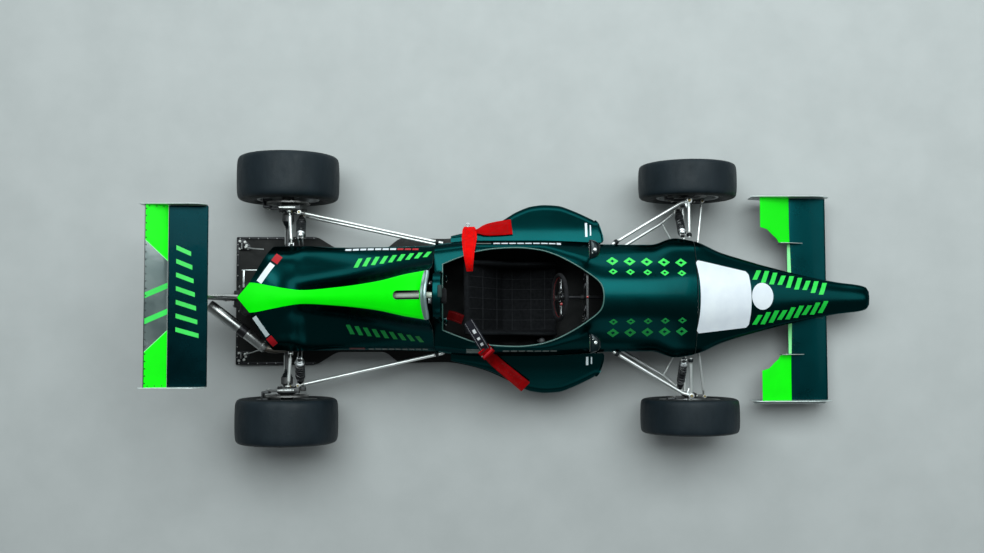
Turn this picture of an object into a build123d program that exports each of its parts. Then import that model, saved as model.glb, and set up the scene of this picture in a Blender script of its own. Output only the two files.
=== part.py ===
from build123d import *
import os
from math import atan2, cos, degrees, hypot, pi, radians, sin, tan

os.makedirs("parts", exist_ok=True)

# Winged single-seat open wheel racing car. Millimetres.
# Stations (x) are measured forward of the rear axle while modelling, y is to the
# car's left and z is up from the ground. At the end everything is moved by -SHIFT,
# so that the origin is on the ground under the middle of the car.

# ---------------------------------------------------------------- driving sizes
X_TAIL = -672.0            # rear edge of the rear wing's end plates
X_NOSE = 3358.0            # tip of the nose
SHIFT = (X_TAIL + X_NOSE) / 2
WHEELBASE = 2300.0
FRONT_TRACK, REAR_TRACK = 1340.0, 1385.0
FRONT_R, FRONT_W = 281.0, 200.0      # front tyre radius and width
REAR_R, REAR_W = 292.0, 260.0        # rear tyre radius and width
RIM_R = 165.0                        # 13 inch bead seat
KING_X, KING_Y = 2292.0, 552.0       # steering axis of a front upright
RACK_X, RACK_Z = 2351.0, 300.0
ARM_X, ARM_Y, ARM_Z = 2384.0, 560.0, 268.0   # outer ball of a tie rod
WALL = 14.0                          # body panel and tub wall
FLOOR_Z, FLOOR_T = 30.0, 12.0        # undertray
TUB_REAR, TUB_FRONT = 850.0, 2310.0
SPLIT_Z = 330.0                      # joint between tub and upper bodywork
WHEEL_HUB = (1545.0, 0.0, 520.0)     # steering wheel centre
COLUMN_DEG = 14.3


# ---------------------------------------------------------------- helpers
def V(p):
    return Vector(*p)


def rod(p, q, r):
    p, q = V(p), V(q)
    return Solid.make_cylinder(r, (q - p).length, Plane(origin=p, z_dir=q - p))


def ball(p, r):
    return Pos(*p) * Sphere(r)


def bent(points, r):
    """Round bar through the points, with a ball at each bend."""
    out = rod(points[0], points[1], r)
    for a, b in zip(points[1:], points[2:]):
        out = out + ball(a, r) + rod(a, b, r)
    return out


def box(x0, x1, y0, y1, z0, z1):
    return Pos((x0 + x1) / 2, (y0 + y1) / 2, (z0 + z1) / 2) * Box(x1 - x0, y1 - y0, z1 - z0)


def poly(points):
    return Wire.make_polygon([V(p) for p in points], close=True)


def prism_z(outline, z0, z1):
    return Solid.extrude(Face(poly([(x, y, z0) for x, y in outline])), Vector(0, 0, z1 - z0))


def prism_y(outline, y0, y1):
    return Solid.extrude(Face(poly([(x, y0, z) for x, z in outline])), Vector(0, y1 - y0, 0))


def prism_x(outline, x0, x1):
    return Solid.extrude(Face(poly([(x0, y, z) for y, z in outline])), Vector(x1 - x0, 0, 0))


def mirrored(shape):
    return mirror(shape, about=Plane.XZ)


def both(shape):
    return [shape, mirrored(shape)]


def disc_y(x, z, y0, y1, r):
    return Solid.make_cylinder(r, y1 - y0, Plane(origin=(x, y0, z), z_dir=(0, 1, 0)))


def ring_y(x, z, profile):
    """Solid of revolution about the line through (x, z) along y; profile is (radius, y)."""
    face = Face(poly([(x + r, y, z) for r, y in profile]))
    return Solid.revolve(face, 360, Axis((x, 0, z), (0, 1, 0)))


def inset(points, t):
    """Moves each side of an anticlockwise polygon inwards by t."""
    n, out = len(points), []
    for i in range(n):
        (ax, ay), (bx, by), (cx, cy) = points[i - 1], points[i], points[(i + 1) % n]
        d1, d2 = hypot(bx - ax, by - ay), hypot(cx - bx, cy - by)
        n1, n2 = (-(by - ay) / d1, (bx - ax) / d1), (-(cy - by) / d2, (cx - bx) / d2)
        k = t / (1 + n1[0] * n2[0] + n1[1] * n2[1])
        out.append((bx + k * (n1[0] + n2[0]), by + k * (n1[1] + n2[1])))
    return out


def full(half):
    """Closed anticlockwise section from a half profile, bottom centre to top centre."""
    right = [(y, z) for y, z in half]
    left = [(-y, z) for y, z in reversed(half) if y > 0]
    return right[1:] + left


def loft_sections(table, half_of, t=0.0):
    wires = []
    for row in table:
        pts = full(half_of(row))
        if t:
            pts = inset(pts, t)
        wires.append(poly([(row[0], y, z) for y, z in pts]))
    return Solid.make_loft(wires, True)


SOLIDS = {}


def save(node, *shapes):
    solids = []
    for s in shapes:
        for each in (s if isinstance(s, (list, tuple)) else [s]):
            solids += list(each.solids())
    comp = solids[0] if len(solids) == 1 else Compound(solids)
    comp = comp.moved(Location((-SHIFT, 0, 0)))
    SOLIDS[node] = comp
    export_step(comp, f"parts/{node}.step")


# ---------------------------------------------------------------- main body
# Columns: x, half width at the bottom, bottom z, widest half width, its z,
#          half width of the top crease, its z, ridge z
BODY = [
    (850.0, 300.0, 42.0, 306.0, 400.0, 262.0, 548.0, 582.0),
    (1090.0, 318.0, 42.0, 324.0, 400.0, 286.0, 560.0, 598.0),
    (1430.0, 318.0, 42.0, 324.0, 400.0, 284.0, 560.0, 604.0),
    (1620.0, 308.0, 42.0, 318.0, 400.0, 236.0, 556.0, 606.0),
    (1797.0, 288.0, 42.0, 310.0, 400.0, 182.0, 546.0, 604.0),
    (2072.0, 280.0, 42.0, 308.0, 400.0, 180.0, 524.0, 580.0),
    (2200.0, 272.0, 46.0, 348.0, 398.0, 190.0, 508.0, 560.0),
    (2310.0, 262.0, 54.0, 330.0, 396.0, 204.0, 480.0, 540.0),
    (2470.0, 214.0, 72.0, 262.0, 372.0, 184.0, 440.0, 490.0),
    (2640.0, 172.0, 104.0, 210.0, 340.0, 156.0, 398.0, 436.0),
    (2858.0, 128.0, 172.0, 155.0, 296.0, 108.0, 345.0, 374.0),
    (3055.0, 92.0, 172.0, 112.0, 262.0, 76.0, 298.0, 320.0),
    (3186.0, 76.0, 172.0, 90.0, 240.0, 60.0, 270.0, 288.0),
    (3290.0, 66.0, 172.0, 78.0, 222.0, 50.0, 246.0, 260.0),
    (3340.0, 54.0, 174.0, 64.0, 210.0, 40.0, 230.0, 242.0),
    (X_NOSE, 30.0, 186.0, 38.0, 206.0, 22.0, 218.0, 224.0),
]


def body_half(row):
    x, wb, zb, ws, zs, wc, zc, zt = row
    return [
        (0, zb), (wb, zb), (ws, zs),
        (ws + 0.42 * (wc - ws) + 8, zs + 0.55 * (zc - zs) + 4), (wc, zc),
        (0.5 * wc, zc + 0.82 * (zt - zc)), (0, zt),
    ]


def lerp_row(table, x):
    for a, b in zip(table, table[1:]):
        if a[0] <= x <= b[0]:
            k = (x - a[0]) / (b[0] - a[0])
            return tuple(p + k * (q - p) for p, q in zip(a, b))
    raise ValueError(x)


def cut_table(table, x0, x1):
    rows = [lerp_row(table, x0)] + [r for r in table if x0 < r[0] < x1] + [lerp_row(table, x1)]
    return rows


body_out = loft_sections(cut_table(BODY, TUB_REAR, TUB_FRONT), body_half)
body_in = loft_sections(cut_table(BODY, TUB_REAR + WALL, TUB_FRONT - WALL), body_half, WALL)
body_shell = body_out - body_in
body_clear = loft_sections(cut_table(BODY, TUB_REAR, 2480.0), body_half, -0.4)   # keeps outside pieces off the skin

# Cockpit opening in plan. Columns: x, half width
COCKPIT = [
    (900.0, 181.0), (1089.0, 251.0), (1202.0, 268.0), (1310.0, 272.0), (1429.0, 260.0),
    (1517.0, 234.0), (1611.0, 188.0), (1704.0, 128.0), (1766.0, 75.0), (1780.0, 30.0),
]
opening = COCKPIT + [(x, -y) for x, y in reversed(COCKPIT)]

lower = box(700, 2400, -500, 500, 0, SPLIT_Z)
upper = box(700, 2400, -500, 500, SPLIT_Z, 800)
ROLL_X, ROLL_Y, ROLL_R = 884.0, 128.0, 18.0
hoop_holes = [rod((ROLL_X, s * ROLL_Y, 480), (ROLL_X, s * ROLL_Y, 700), ROLL_R + 1.5) for s in (1, -1)]

chassis_tub = body_shell & lower
cockpit_surround = body_shell & upper
cockpit_surround = cockpit_surround - prism_z(opening, 470, 700)
for h in hoop_holes:
    cockpit_surround = cockpit_surround - h

# nose: hollow behind x 2480, where the steering rack crosses, closed ahead of it
nose_cone = loft_sections(cut_table(BODY, TUB_FRONT, X_NOSE), body_half)
nose_cone = nose_cone - loft_sections(cut_table(BODY, TUB_FRONT, 2480.0), body_half, WALL)
for s in (1, -1):
    nose_cone = nose_cone - rod((RACK_X - 3, s * 230, RACK_Z + 1), (RACK_X + 12, s * 380, RACK_Z - 8), 24)

save("chassis_tub", chassis_tub)
save("cockpit_surround", cockpit_surround)
save("nose_cone", nose_cone)

# ---------------------------------------------------------------- engine cover
# Columns: x, bottom z, bottom half width, side half width, its z, shoulder half width, its z,
#          valley half width, its z, spine edge half width, its z, spine z
COVER = [
    (-232.0, 430.0, 120.0, 122.0, 440.0, 112.0, 470.0, 96.0, 530.0, 58.0, 552.0, 562.0),
    (-160.0, 430.0, 262.0, 264.0, 440.0, 212.0, 500.0, 140.0, 548.0, 82.0, 566.0, 578.0),
    (-40.0, 430.0, 290.0, 292.0, 444.0, 244.0, 530.0, 140.0, 574.0, 62.0, 592.0, 604.0),
    (60.0, 430.0, 292.0, 294.0, 444.0, 236.0, 528.0, 118.0, 570.0, 44.0, 616.0, 628.0),
    (140.0, 430.0, 292.0, 294.0, 444.0, 236.0, 494.0, 96.0, 552.0, 36.0, 636.0, 650.0),
    (330.0, 64.0, 288.0, 294.0, 430.0, 240.0, 496.0, 100.0, 566.0, 48.0, 706.0, 724.0),
    (560.0, 64.0, 288.0, 294.0, 440.0, 248.0, 520.0, 132.0, 600.0, 76.0, 800.0, 826.0),
    (720.0, 64.0, 290.0, 298.0, 440.0, 256.0, 536.0, 158.0, 640.0, 112.0, 858.0, 902.0),
    (TUB_REAR, 64.0, 294.0, 302.0, 440.0, 260.0, 544.0, 172.0, 660.0, 134.0, 890.0, 950.0),
]
SKIN = 10.0


def cover_half(row):
    x, zb, wb, wd, zd, wsh, zsh, wv, zv, wst, zst, zt = row
    return [(0, zb), (wb, zb), (wd, zd), (wsh, zsh), (wv, zv), (wst, zst), (0.45 * wst, zst + 0.8 * (zt - zst)), (0, zt)]


cover_out = loft_sections(COVER, cover_half)
cover_in = loft_sections(COVER, cover_half, SKIN)
# the cover is open underneath and at both ends
belly = prism_y([(-400, 0), (-400, 444), (140, 444), (330, 78), (900, 78), (900, 0)], -274, 274)
cover = cover_out - cover_in - belly
# rear edge in plan, and the raked intake plane in side view
REAR_EDGE = [(-230, 0), (-162, 80), (-50, 296), (-50, 420), (1000, 420), (1000, -420), (-50, -420), (-50, -296), (-162, -80)]
cover = cover & prism_z(REAR_EDGE, 0, 1100)
RAKE = [(-300, 0), (TUB_REAR, 0), (TUB_REAR, 640), (838, 970), (-300, 970)]
cover = cover & prism_y(RAKE, -500, 500)
SLOT = (652.0, 794.0, 24.0)          # slot in the spine: rear x, front x, half width
cover = cover - box(SLOT[0], SLOT[1], -SLOT[2], SLOT[2], 780, 1000)
parts_of_cover = sorted(cover.solids(), key=lambda s: -s.volume)
save("engine_cover", parts_of_cover[0])

# ---------------------------------------------------------------- sidepods
# Outer edge in plan, left side. Columns: x, y
POD = [
    (940.0, 352.0), (1128.0, 402.0), (1222.0, 440.0), (1315.0, 497.0), (1402.0, 531.0), (1474.0, 539.0),
    (1550.0, 534.0), (1625.0, 508.0), (1752.0, 446.0), (1778.0, 415.0), (1798.0, 345.0),
]
POD_IN = 326.0
pod_plan = [(940.0, POD_IN)] + [(1798.0, POD_IN)] + POD[::-1]
pod_plan_in = inset(pod_plan, 10.0)


def pod_side(drop, low):
    return [(POD_IN - 20, low), (600, low), (600, 296 - drop), (545, 322 - drop), (440, 372 - drop), (POD_IN - 20, 412 - drop)]


pod = prism_z(pod_plan, FLOOR_Z + FLOOR_T, 500) & prism_x(pod_side(0, 0), 800, 1900)
pod = pod - (prism_z(pod_plan_in, FLOOR_Z + FLOOR_T + 10, 500) & prism_x(pod_side(11, 0), 800, 1900))
INTAKE = (346.0, 410.0, 110.0, 336.0)      # intake mouth: y from, y to, z from, z to
pod = pod - box(1740, 1820, INTAKE[0], INTAKE[1], INTAKE[2], INTAKE[3])
pod = pod - box(900, 960, 337, 349, 120, 340)
save("left_sidepod", pod)
save("right_sidepod", mirrored(pod))
rad = Pos(1500, 424, 200) * Rot(0, 0, 24) * Box(30, 126, 250)
save("radiators", both(rad))

# ---------------------------------------------------------------- undertray
# Plan of the floor, left side. Columns: x, half width
FLOOR = [
    (-351.0, 381.0), (130.0, 381.0), (250.0, 306.0), (540.0, 306.0), (620.0, 372.0), (930.0, 366.0),
    (1128.0, 410.0), (1315.0, 500.0), (1474.0, 545.0), (1560.0, 536.0), (1752.0, 446.0), (1800.0, 300.0),
    (2072.0, 282.0), (2200.0, 274.0), (2300.0, 262.0),
]
floor_plan = FLOOR + [(x, -y) for x, y in reversed(FLOOR)]
save("undertray", prism_z(floor_plan[::-1], FLOOR_Z, FLOOR_Z + FLOOR_T))

# ---------------------------------------------------------------- engine and gearbox
engine = box(330, 790, -170, 170, 80, 500)
save("engine_block", engine)
gear = box(-250, 130, -95, 95, 130, 380)
gear = gear + prism_z([(110, -88), (330, -165), (330, 165), (110, 88)], 90, 420)
# cross beams that carry the rear suspension, and the drive flanges
gear = gear + box(16, 112, -300, 300, 388, 420) + box(-48, 2, -290, 290, 168, 196)
gear = gear + box(84, 108, -322, 322, 400, 420)
gear = gear + disc_y(0, REAR_R, -118, 118, 50)
gear = gear + box(-300, -240, -50, 50, 180, 340)
save("gearbox", gear)

# ---------------------------------------------------------------- cockpit
hoop = bent(
    [(ROLL_X, ROLL_Y, 56.2), (ROLL_X, ROLL_Y, 600), (ROLL_X, 110, 812), (ROLL_X, 92, 864), (ROLL_X, 58, 890), (ROLL_X, 0, 897)], ROLL_R)
hoop = hoop + mirrored(hoop)
stay = bent([(ROLL_X - 6, 0, 893), (810, 0, 884), (640, 0, 812), (430, 0, 560)], 15.0)
hoop = hoop + stay
hoop = hoop + box(415, 445, -40, 40, 500.2, 560) + rod((ROLL_X, -110, 780), (ROLL_X, 110, 780), 9)
save("roll_hoop", hoop)
headrest = box(894, 934, -46, 46, 722, 818)
save("headrest", headrest)

# bucket seat: reclined back, base and side bolsters
seat_hollow = [(1034, 640), (1038, 546), (1240, 150), (1300, 116), (1540, 176), (1600, 190), (1600, 640)]
seat_bolster = [(1000, 528), (1040, 534), (1080, 510), (1160, 450), (1300, 330), (1480, 300), (1562, 250), (1562, 60), (1216, 60)]
seat = prism_y(seat_bolster, -214, 214) - prism_y(seat_hollow, -182, 182)
save("seat", seat)

# dash panel with the column's hole
ax = Vector(-cos(radians(COLUMN_DEG)), 0, sin(radians(COLUMN_DEG)))
hub = V(WHEEL_HUB)
dash = prism_x([(-196, 400), (196, 400), (178, 520), (130, 546), (-130, 546), (-178, 520)], 1692, 1704)
dash = dash - rod(hub - ax * 60, hub - ax * 300, 16)
save("dash_panel", dash)

lever = rod((1440, -240, 57), (1452, -244, 380), 8) + ball((1452, -244, 392), 20)
save("gear_lever", lever)

wheel_plane = Plane(origin=hub, z_dir=ax, x_dir=(0, 1, 0))
ring = wheel_plane * Torus(122, 13)
spokes = wheel_plane * (Pos(0, 0, -8) * Cylinder(34, 10))
for a in (0, 180, 270):
    spokes = spokes + wheel_plane * (Rot(0, 0, a) * Pos(70, 0, -6) * Box(100, 30, 6))
column = rod(hub - ax * 10, hub - ax * 765, 10)
save("steering_wheel", ring + spokes + column)

# ---------------------------------------------------------------- harness
# Left strap: out over the cockpit side (profile in y, z), then a flat piece forward.
STRAP_T = 4.0


def ribbon(points, width, t=STRAP_T):
    """Flat webbing along points in a vertical plane; width is across that plane."""
    p0, p1 = points[0], points[-1]
    d = Vector(p1[0] - p0[0], p1[1] - p0[1], 0).normalized()
    n = Vector(-d.Y, d.X, 0)
    out = None
    for a, b in zip(points, points[1:]):
        quad = [V(a), V(b), V(b) + Vector(0, 0, t), V(a) + Vector(0, 0, t)]
        face = Face(Wire.make_polygon([q - n * (width / 2) for q in quad], close=True))
        piece = Solid.extrude(face, n * width)
        out = piece if out is None else out + piece
    return out


left_a = ribbon([(1046, 140, 628), (1046, 200, 634), (1046, 262, 606), (1046, 300, 540), (1046, 336, 440), (1046, 404, 404)], 74)
left_b = ribbon([(1084, 374, 414), (1160, 388, 408), (1284, 402, 410)], 86)
right_a = ribbon([(1040, -134, 610), (1084, -204, 626), (1118, -262, 616), (1148, -310, 540), (1176, -344, 440), (1358, -498, 366)], 60)
right_b = ribbon([(912, -96, 560), (960, -104, 596), (1012, -128, 612)], 60)
left_strap = left_a + left_b
save("harness_straps", left_strap - body_clear, (right_a + right_b) - body_clear)

# ---------------------------------------------------------------- wings
def aerofoil(x0, z0, x1, z1, t):
    """Section from the leading edge (x0, z0) to the trailing edge (x1, z1), thickness t."""
    dx, dz = x1 - x0, z1 - z0
    L = hypot(dx, dz)
    nx, nz = -dz / L, dx / L
    if nz < 0:
        nx, nz = -nx, -nz
    shape = [(0.0, 0.0), (0.06, -0.42), (0.3, -1.0), (0.62, -0.72), (1.0, -0.16), (1.0, 0.0), (0.6, 0.14), (0.25, 0.1)]
    return [(x0 + k * dx + s * t * nx, z0 + k * dz + s * t * nz) for k, s in shape]


RW_HALF = 478.0
rw_main = aerofoil(-328, 812, -532, 838, 24)
rw_flap = aerofoil(-536, 852, -636, 902, 11)
save("rear_wing_main", prism_y(rw_main, -RW_HALF, RW_HALF))
save("rear_wing_flap", prism_y(rw_flap, -RW_HALF, RW_HALF))
rw_plate = prism_y([(X_TAIL, 916), (X_TAIL, 770), (-640, 740), (-310, 740), (-310, 870), (-350, 916)], RW_HALF, RW_HALF + 4)
save("rear_wing_endplates", both(rw_plate))
# centre post from the gearbox tail to the main plane, with the towing eye in its foot
post = prism_y([(-300, 190), (-300, 330), (-330, 420), (-352, 792), (-352, 800), (-500, 800), (-500, 792), (-420, 420), (-372, 250), (-372, 190)], -6, 6)
post = post - rod((-340, -20, 225), (-340, 20, 225), 20)
post = post + box(-500, -352, -40, 40, 788, 812)
post = post - prism_y(rw_main, -100, 100) - box(-700, -300, -100, 100, 812, 900)
post = sorted(post.solids(), key=lambda s: -s.volume)[0]
save("rear_wing_post", post)

FW_HALF = 590.0
fw_main = aerofoil(3145, 112, 2903, 150, 26)
fw = prism_y(fw_main, -FW_HALF, FW_HALF)
pads = [box(2960, 3080, s * 56 - 14, s * 56 + 14, 128, 172) for s in (1, -1)]
for p in pads:
    fw = fw + p
save("front_wing_main", fw)
flap_plan = [(2914, 326), (2914, 590), (2734, 590), (2734, 417), (2776, 405), (2815, 368), (2850, 326)]
flap = prism_y(aerofoil(2916, 166, 2732, 214, 9), 300, 620) & prism_z(flap_plan, 0, 400)
fence = prism_y([(2846, 160), (2990, 152), (2990, 176), (2900, 218), (2846, 232)], 322, 326)
save("front_wing_flaps", both(flap + fence))
fw_plate = prism_y([(2686, 236), (2686, 96), (2760, 60), (3090, 60), (3144, 96), (3144, 200), (3060, 250), (2720, 250)], FW_HALF, FW_HALF + 5)
save("front_wing_endplates", both(fw_plate))

# ---------------------------------------------------------------- mirrors
mirror_body = prism_y([(1700, 610), (1700, 668), (1720, 676), (1750, 664), (1768, 640), (1750, 616), (1720, 604)], 202, 308)
mirror_stalk = rod((1730, 250, 470), (1728, 254, 608), 7)
save("mirrors", both(mirror_body + (mirror_stalk - body_clear)))

# ---------------------------------------------------------------- exhaust
silencer = rod((-112, -278, 350), (-424, -34, 400), 33)
feed = bent([(330, -200, 240), (120, -262, 330), (-60, -290, 342), (-112, -278, 350)], 22)
save("exhaust", silencer + feed)

# ---------------------------------------------------------------- front suspension
def lug(x, y, z, r=13, w=14):
    return Pos(x, y, z) * Cylinder(r, w)


upper_arm = bent([(1850, 300, 402), (2240, 536, 386), (KING_X, KING_Y - 2, 386)], 9) + rod((2288, 338, 402), (KING_X - 2, KING_Y, 386), 9)
upper_arm = upper_arm + lug(KING_X, KING_Y, 386, 17, 18)
lower_arm = bent([(1900, 282, 150), (2170, 446, 150), (KING_X, KING_Y, 150)], 9) + rod((2300, 268, 150), (KING_X, KING_Y, 150), 9)
lower_arm = lower_arm + rod((2170, 446, 150), (2262, 272, 150), 6) + lug(KING_X, KING_Y, 150, 17, 18)
save("front_upper_wishbones", both(upper_arm - body_clear))
save("front_lower_wishbones", both(lower_arm - body_clear))


def damper(p, q, r_spring, r_body, r_rod):
    p, q = V(p), V(q)
    d = (q - p).normalized()
    L = (q - p).length
    out = rod(p, q, r_rod) + rod(p + d * 24, p + d * (0.5 * L), r_body)
    out = out + rod(p + d * (0.24 * L), q - d * 34, r_spring)
    return out + ball(p, r_rod + 4) + ball(q, r_rod + 4)


front_damper = damper((2262, 512, 178), (2246, 352, 424), 24, 22, 9)
rear_damper = damper((66, 478, 224), (96, 340, 438), 28, 24, 10)

# front uprights, hubs carried on a stub axle
STUB_R = 14.0
AXLE_F = (WHEELBASE, FRONT_R)


def front_upright():
    up = box(KING_X - 20, KING_X + 24, KING_Y - 14, KING_Y + 14, 162, 374)
    up = up + disc_y(AXLE_F[0], AXLE_F[1], KING_Y - 14, 566, 40)
    up = up + disc_y(AXLE_F[0], AXLE_F[1], 560, 652, STUB_R)
    # steering arm
    up = up + prism_z([(KING_X + 10, 546), (ARM_X + 12, 548), (ARM_X + 12, 572), (KING_X + 10, 564)], 282, 292)
    # caliper over the rear of the disc, carried by a bracket
    up = up + box(2172, 2222, 566, 578, 244, 318) + box(2172, 2222, 604, 618, 244, 318) + box(2172, 2180, 566, 618, 244, 318)
    up = up + box(2196, 2280, 560, 572, 262, 300)
    return up


left_up = front_upright()
save("left_front_upright", left_up)
save("right_front_upright", mirrored(left_up))

# rack bar and tie rods move together
rack = rod((RACK_X, -300, RACK_Z), (RACK_X, 300, RACK_Z), 11)
tie = bent([(RACK_X, 300, RACK_Z), (ARM_X, ARM_Y, ARM_Z)], 7.5) + ball((RACK_X, 300, RACK_Z), 13) + ball((ARM_X, ARM_Y, ARM_Z), 11)
save("steering_rack", rack + tie + mirrored(tie))

# ---------------------------------------------------------------- rear suspension
rear_up = box(-34, 62, 502, 530, 168, 412)
rear_up = rear_up + disc_y(0, REAR_R, 498, 540, 56) + box(56, 92, 502, 520, 372, 408) + box(56, 92, 502, 520, 172, 200)
rear_up = rear_up - disc_y(0, REAR_R, 480, 560, 30)
rear_up = rear_up + box(-140, -92, 524, 538, 252, 332) + box(-140, -92, 564, 578, 252, 332) + box(-140, -132, 524, 578, 252, 332)
rear_up = rear_up + box(-120, -40, 516, 530, 272, 312)
save("rear_uprights", both(rear_up))

top_link = rod((40, 302, 404), (26, 500, 400), 10)
low_link = rod((-30, 290.5, 182), (-28, 501.6, 182), 10)
top_rod = rod((900, 308, 418), (80, 490, 390), 9) - body_clear
low_rod = rod((900, 306, 222), (74, 490, 186), 9) - body_clear
save("rear_links", both(top_link) + both(low_link))
save("radius_rods", both(top_rod) + both(low_rod))
save("dampers", both(front_damper) + both(rear_damper))


# ---------------------------------------------------------------- wheels
def tyre(x, r, w, y, shoulder):
    a, b = y - w / 2, y + w / 2
    s = shoulder
    prof = [
        (RIM_R + 0.3, a + 13), (RIM_R + 13, a + 12.6), (RIM_R + 18, a + 7), (RIM_R + 44, a + 2), (r - s * 1.5, a), (r - s * 0.9, a + 4), (r - s * 0.28, a + s * 0.5),
        (r - 2, a + s * 1.2), (r, y), (r - 2, b - s * 1.2), (r - s * 0.28, b - s * 0.5), (r - s * 0.9, b - 4), (r - s * 1.5, b), (RIM_R + 44, b - 2),
        (RIM_R + 18, b - 7), (RIM_R + 13, b - 12.6), (RIM_R + 0.3, b - 13),
    ]
    return ring_y(x, r, prof)


def rim(x, r, w, y, web):
    """Barrel between the beads, with a web at y = web pierced by eight windows."""
    a, b = y - w / 2 + 12, y + w / 2 - 12
    prof = [
        (RIM_R, a), (RIM_R + 12, a), (RIM_R + 12, a - 4), (RIM_R - 5, a - 4), (RIM_R - 10, a + 12),
        (RIM_R - 10, web), (44, web - 8), (44, web + 6), (RIM_R - 12, web + 12), (RIM_R - 8, b - 8), (RIM_R - 5, b + 4), (RIM_R + 12, b + 4), (RIM_R + 12, b), (RIM_R, b),
    ]
    out = ring_y(x, r, prof)
    for i in range(8):
        t = radians(22.5 + 45 * i)
        out = out - disc_y(x + 104 * cos(t), r + 104 * sin(t), web - 40, web + 40, 26)
    return out


for end, x, r, w, track, shoulder in (("front", WHEELBASE, FRONT_R, FRONT_W, FRONT_TRACK, 24.0), ("rear", 0.0, REAR_R, REAR_W, REAR_TRACK, 30.0)):
    y = track / 2
    t = tyre(x, r, w, y, shoulder)
    web = y + w / 2 - 62
    m = rim(x, r, w, y, web)
    if end == "front":
        hub_solid = ring_y(x, r, [(STUB_R + 1.2, 584), (36, 584), (36, 602), (30, 610), (30, web - 8), (46, web - 8), (46, web + 6), (20, web + 14), (0, web + 14), (0, 656), (STUB_R + 1.2, 656)])
        brake = ring_y(x, r, [(36.0, 586), (112, 586), (112, 596), (36, 596)])
        m = m + hub_solid
    else:
        hub_solid = ring_y(x, r, [(0, 541), (38, 541), (38, 560), (34, 566), (34, web - 8), (46, web - 8), (46, web + 6), (20, web + 14), (0, web + 14)])
        brake = ring_y(x, r, [(38.0, 546), (126, 546), (126, 556), (38, 556)])
        m = m + hub_solid
        shaft = disc_y(x, r, 160, 540.9, 13) + disc_y(x, r, 120, 166, 42) + disc_y(x, r, 446, 484, 34) + disc_y(x, r, 480, 540.9, 22)
    for side, f in (("left", lambda s: s), ("right", mirrored)):
        save(f"{side}_{end}_tyre", f(t))
        save(f"{side}_{end}_rim", f(m))
        save(f"{side}_{end}_brake_disc", f(brake))
        if end == "rear":
            save(f"{side}_driveshaft", f(shaft))

lo = [min(tuple(s.bounding_box().min)[i] for s in SOLIDS.values()) for i in range(3)]
hi = [max(tuple(s.bounding_box().max)[i] for s in SOLIDS.values()) for i in range(3)]
print("nodes", len(SOLIDS), "low", [round(v, 1) for v in lo], "high", [round(v, 1) for v in hi])
print("solid volume m3", round(sum(s.volume for s in SOLIDS.values()) / 1e9, 3))
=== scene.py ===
import math
import bmesh
import bpy
import numpy as np
from mathutils import Matrix, Vector


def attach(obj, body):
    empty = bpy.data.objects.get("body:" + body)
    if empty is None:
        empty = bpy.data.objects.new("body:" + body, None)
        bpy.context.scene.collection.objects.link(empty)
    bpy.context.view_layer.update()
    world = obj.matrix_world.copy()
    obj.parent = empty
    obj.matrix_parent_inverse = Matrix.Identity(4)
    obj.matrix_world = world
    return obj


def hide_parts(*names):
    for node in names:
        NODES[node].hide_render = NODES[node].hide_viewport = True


# Looks of a small winged single-seater. Shapes are written in millimetres, with x measured
# forward of the rear axle, y to the car's left and z up; W() turns them into the row frame.
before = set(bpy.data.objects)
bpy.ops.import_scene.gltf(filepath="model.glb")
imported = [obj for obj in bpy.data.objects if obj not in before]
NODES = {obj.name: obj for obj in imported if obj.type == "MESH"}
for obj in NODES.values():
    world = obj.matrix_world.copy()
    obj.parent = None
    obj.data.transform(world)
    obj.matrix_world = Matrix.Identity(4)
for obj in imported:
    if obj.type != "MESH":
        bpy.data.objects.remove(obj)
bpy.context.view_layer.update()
SC = bpy.context.scene
S = 1343.0

# ---------------------------------------------------------------- camera, floor, light
cam = bpy.data.cameras.new("camera")
cam_obj = bpy.data.objects.new("camera", cam)
SC.collection.objects.link(cam_obj)
TILT, ROLL = math.radians(3.0962), math.radians(-0.1384)
fwd = Vector((0, math.sin(TILT), -math.cos(TILT)))
rgt = Vector((1, 0, 0))
upv = rgt.cross(fwd)
rr = rgt * math.cos(ROLL) + upv * math.sin(ROLL)
uu = -rgt * math.sin(ROLL) + upv * math.cos(ROLL)
CM = Matrix((rr, uu, -fwd)).transposed().to_4x4()
CM.translation = Vector((1.17207 - 1.343, -0.22665, 6.8411))
cam_obj.matrix_world = CM
cam.sensor_width = 36
cam.lens = 1142.75 / 984 * 36
cam.clip_end = 100
SC.camera = cam_obj
SC.view_settings.view_transform = "Standard"
SC.view_settings.look = "None"


def area(name, at, target, size, power, colour, size_y=None):
    lamp = bpy.data.lights.new(name, "AREA")
    lamp.energy = power
    lamp.color = colour
    lamp.shape = "RECTANGLE"
    lamp.size = size
    lamp.size_y = size_y or size
    o = bpy.data.objects.new(name, lamp)
    o.location = at
    o.rotation_euler = (Vector(target) - Vector(at)).to_track_quat("-Z", "Y").to_euler()
    SC.collection.objects.link(o)
    return o


# a wide soft panel above and to the car's left, a long low one on the same side, one in front, and a weak fill
area("key_panel", (0.0, 3.7, 8.8), (0.0, 0.5, 0.0), 12.0, 1120, (0.90, 1.0, 1.0), 5.8)
area("left_low_panel", (0.3, 13.0, 3.9), (0.0, 0.0, 0.4), 17.3, 780, (0.90, 1.0, 1.0), 5.5)
area("front_panel", (7.5, 2.8, 6.0), (1.2, 0.3, 0.3), 7.0, 125, (0.90, 1.0, 1.0), 3.5)
area("right_fill", (1.5, -7.0, 4.5), (0.0, 0.0, 0.3), 5.0, 26, (0.92, 0.97, 1.0), 3.0)
world = bpy.data.worlds.new("studio")
SC.world = world
world.use_nodes = True
world.node_tree.nodes["Background"].inputs[0].default_value = (0.80, 0.90, 0.92, 1)
world.node_tree.nodes["Background"].inputs[1].default_value = 0.16


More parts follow.
